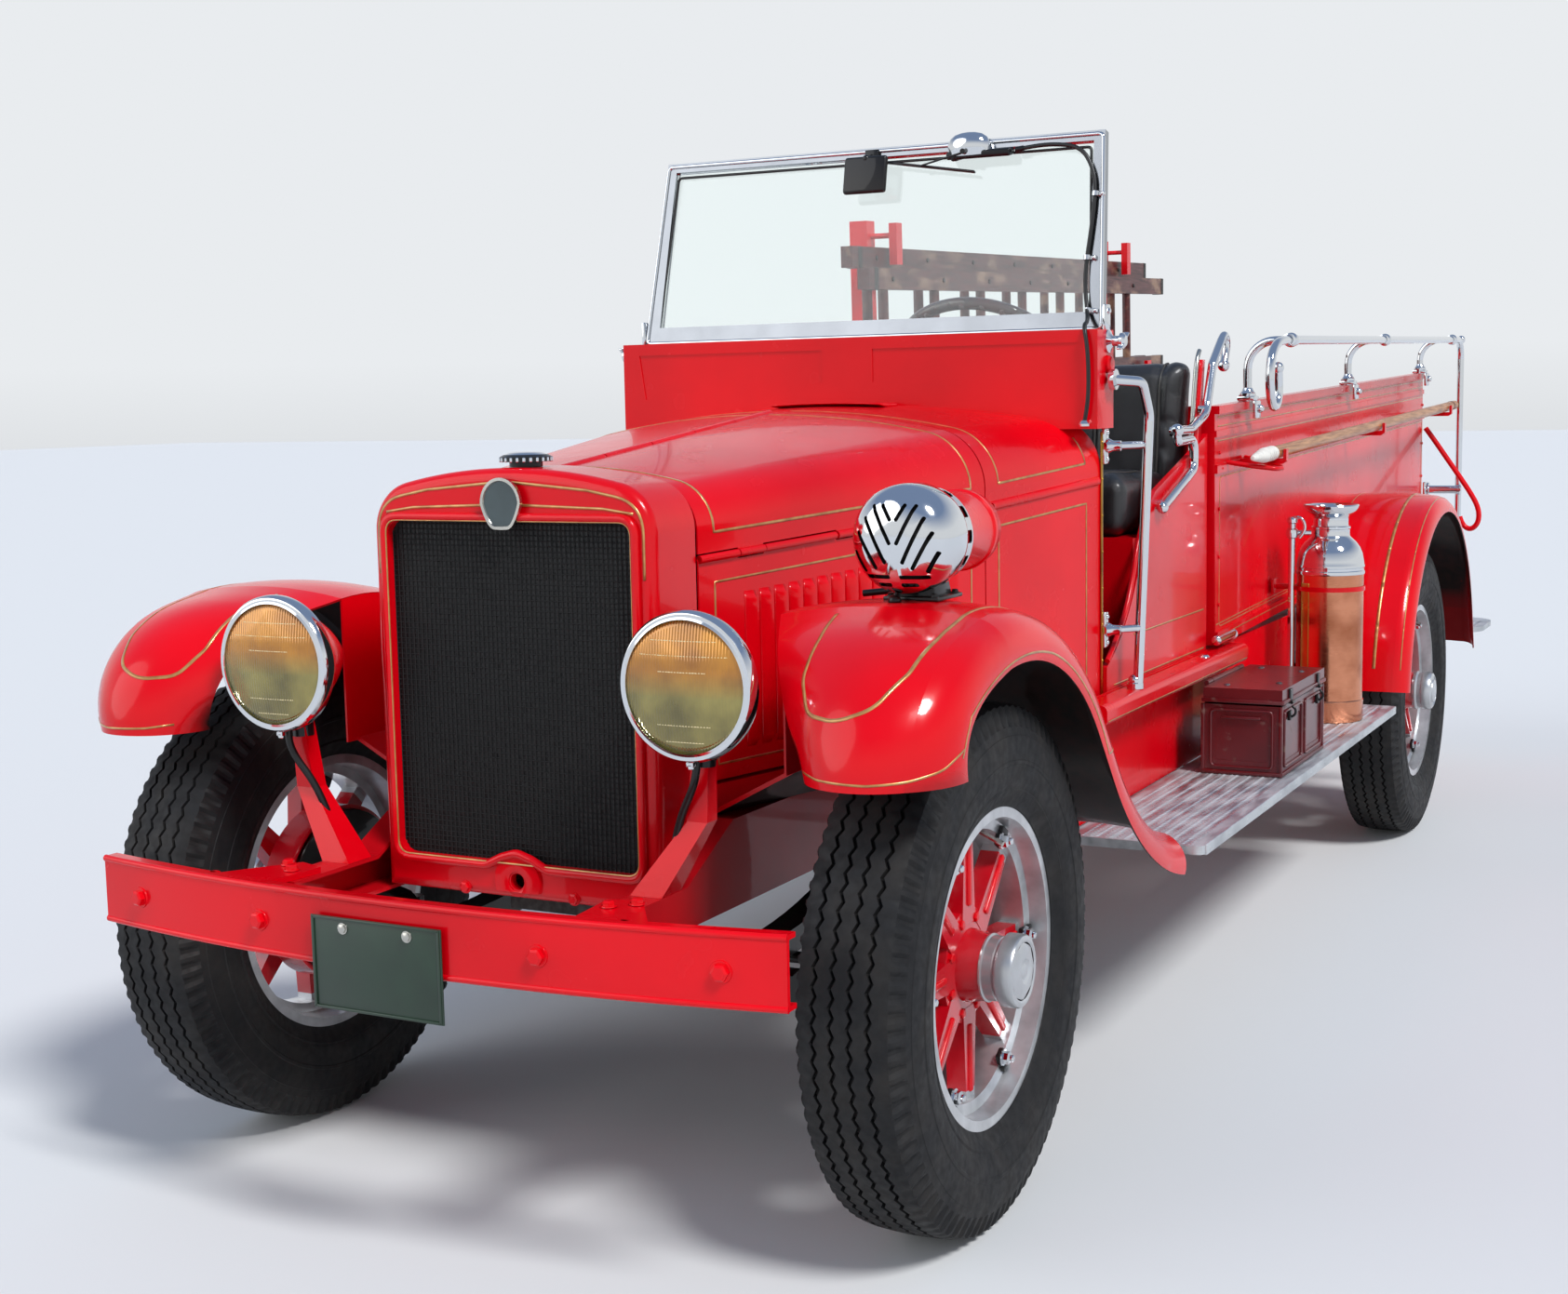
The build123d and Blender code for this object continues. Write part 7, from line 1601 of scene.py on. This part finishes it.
# Tread plate: raised lozenges set two ways, and bright edge strips
tread = {"cell": 30, "half": 8.8, "width": 3.1, "height": 1.5, "turn": 0.72, "sunk": 0.2}


def treadField(name, left, right, front, rear, top):
    bm = bmesh.new()
    cell = tread["cell"]
    across, along = int((right - left) / cell), int((rear - front) / cell)
    margin = (right - left - across * cell) / 2
    size = Matrix.Diagonal((tread["half"] * mm, tread["width"] * mm, tread["height"] * mm, 1))
    for x, a, way in ((0.25, 0.25, 1), (0.75, 0.75, -1), (0.75, 0.25, -1), (0.25, 0.75, 1)):
        place = spot(left + cell * x + margin, front + cell * a, top + tread["height"] / 2 - tread["sunk"])
        matrix = Matrix.Translation(place) @ Matrix.Rotation(way * tread["turn"], 4, "Z") @ size
        bmesh.ops.create_cone(bm, cap_ends=True, segments=6, radius1=1, radius2=0.55, depth=1, matrix=matrix)
    for count, step in ((across, (cell * mm, 0, 0)), (along, (0, cell * mm, 0))):
        first = bm.verts[:] + bm.edges[:] + bm.faces[:]
        for i in range(1, count):
            made = bmesh.ops.duplicate(bm, geom=first)["geom"]
            moved = [v for v in made if isinstance(v, bmesh.types.BMVert)]
            bmesh.ops.translate(bm, verts=moved, vec=Vector(step) * i)
    makePiece(name, bm, plateAluminium, angle=50)


for label, side in (("left", 1), ("right", -1)):
    inner, outer = (594, 862) if side == 1 else (-862, -594)
    treadField(f"boardTread_{label}", inner, outer, 842, 2782, 480)
    bm = bmesh.new()
    addBlock(bm, (7, 1928, 22), at(side * 870, 1811, 471), 2.4, 3)
    for i in range(14):
        addBall(bm, spot(side * 873, 870 + i * 145, 471), 4, scale=(0.5, 1, 1), rings=5)
    makePiece(f"boardEdge_{label}", bm, plateAluminium)
treadField("tailTread", -800, 800, 4612, 4880, 500)
bm = bmesh.new()
addBlock(bm, (1424, 8, 22), at(0, 4980, 491), 2.4, 3)
for x in range(-650, 651, 130):
    addBall(bm, spot(x, 4984, 491), 4, scale=(1, 0.5, 1), rings=5)
makePiece("tailEdge", bm, plateAluminium)
print("tread plates are made")


# Wheels: silver hub caps, rim lugs with wedge clamps, bolts, holes and ribs on the spider, valve stems
hub = {"lugs": 6, "lugRadius": 221, "bolts": 8, "boltRadius": 80, "holeRadius": 83, "ribMiddle": 158}
for name, (x, along, side) in wheels.items():
    body = "wheel_" + name
    axle = frameAt(spot(x, along, hubHeight), (side, 0, 0), (0, 1, 0))
    bm = bmesh.new()
    if "front" in name:
        addTurned(bm, ((53, 62), (56.5, 63), (57, 66), (54, 68), (53.5, 84), (50.5, 87), (50.5, 90), (58, 91),
                       (61, 94), (61, 117), (58.5, 121), (52, 122.5), (48, 121)), axle, 56)
        addTurned(bm, ((49, 120), (40, 124), (22, 125), (18, 122.5), (14, 122), (9, 124.5), (0, 125)), axle, 8)
    else:
        addTurned(bm, ((53, 62), (59, 63), (60, 66), (60, 72), (57, 75), (55, 77), (55, 88), (58, 90), (58.5, 94),
                       (58, 108), (54, 116), (46, 120), (44, 117), (36, 117), (34, 121), (22, 124), (0, 125)),
                  axle, 56)
    makePiece(f"hubCap_{name}", bm, rimSilver, body)
    bm = bmesh.new()
    for i in range(hub["lugs"]):
        turn = axle @ Matrix.Rotation(math.tau * i / hub["lugs"], 4, "Z")
        place = turn @ Matrix.Translation((hub["lugRadius"] * mm, 0, 0.038))
        addBlock(bm, (30, 24, 11), place, 3, 2, part=1)
        addBlock(bm, (12, 28, 8), place @ Matrix.Translation((0.014, 0, 0.004)), 2.5, 2, part=1)
        nut = place @ Vector((-0.003, 0, 0.005))
        addBolt(bm, nut, (side, 0, 0), 20, 13)
        addTurned(bm, ((0, 19), (5, 18.5), (6.5, 16.5), (6.5, 10)), frameAt(nut, (side, 0, 0)), 16)
    makePiece(f"rimLugs_{name}", bm, [chromePlate, blackEnamel], body)
    bm = bmesh.new()
    for i in range(hub["bolts"]):
        angle = math.tau * (i + 0.5) / hub["bolts"]
        reach = hub["boltRadius"] * mm
        place = axle @ Vector((math.cos(angle) * reach, math.sin(angle) * reach, 0.022))
        addBolt(bm, place, (side, 0, 0), 15, 8)
        angle = math.tau * i / hub["bolts"]
        reach = hub["holeRadius"] * mm
        place = axle @ Vector((math.cos(angle) * reach, math.sin(angle) * reach, 0.0221))
        # painted shade: each hole is a near-black disc on the spider
        addTurned(bm, ((0, 0.6), (6, 0.6), (7, 1.4), (8.5, 1.4), (9, -1)), frameAt(place, (side, 0, 0)), 16, part=1)
        rib = axle @ Matrix.Rotation(angle, 4, "Z") @ Matrix.Translation((hub["ribMiddle"] * mm, 0, 0.026))
        addBlock(bm, (116, 13, 9), rib, 4, 3)  # the raised rib down each spoke
    makePiece(f"spiderBolts_{name}", bm, [redEnamel, blackAndSlotShade], body)
    bm = bmesh.new()
    stem = axle @ Matrix.Rotation(math.radians(78), 4, "Z")
    addRod(bm, stem @ Vector((0.224, 0, 0.02)), stem @ Vector((0.206, 0, 0.062)), 4, 10)
    addRod(bm, stem @ Vector((0.208, 0, 0.058)), stem @ Vector((0.203, 0, 0.07)), 5.4, 10)
    makePiece(f"valveStem_{name}", bm, nickelPlate, body)
print("wheels are dressed")
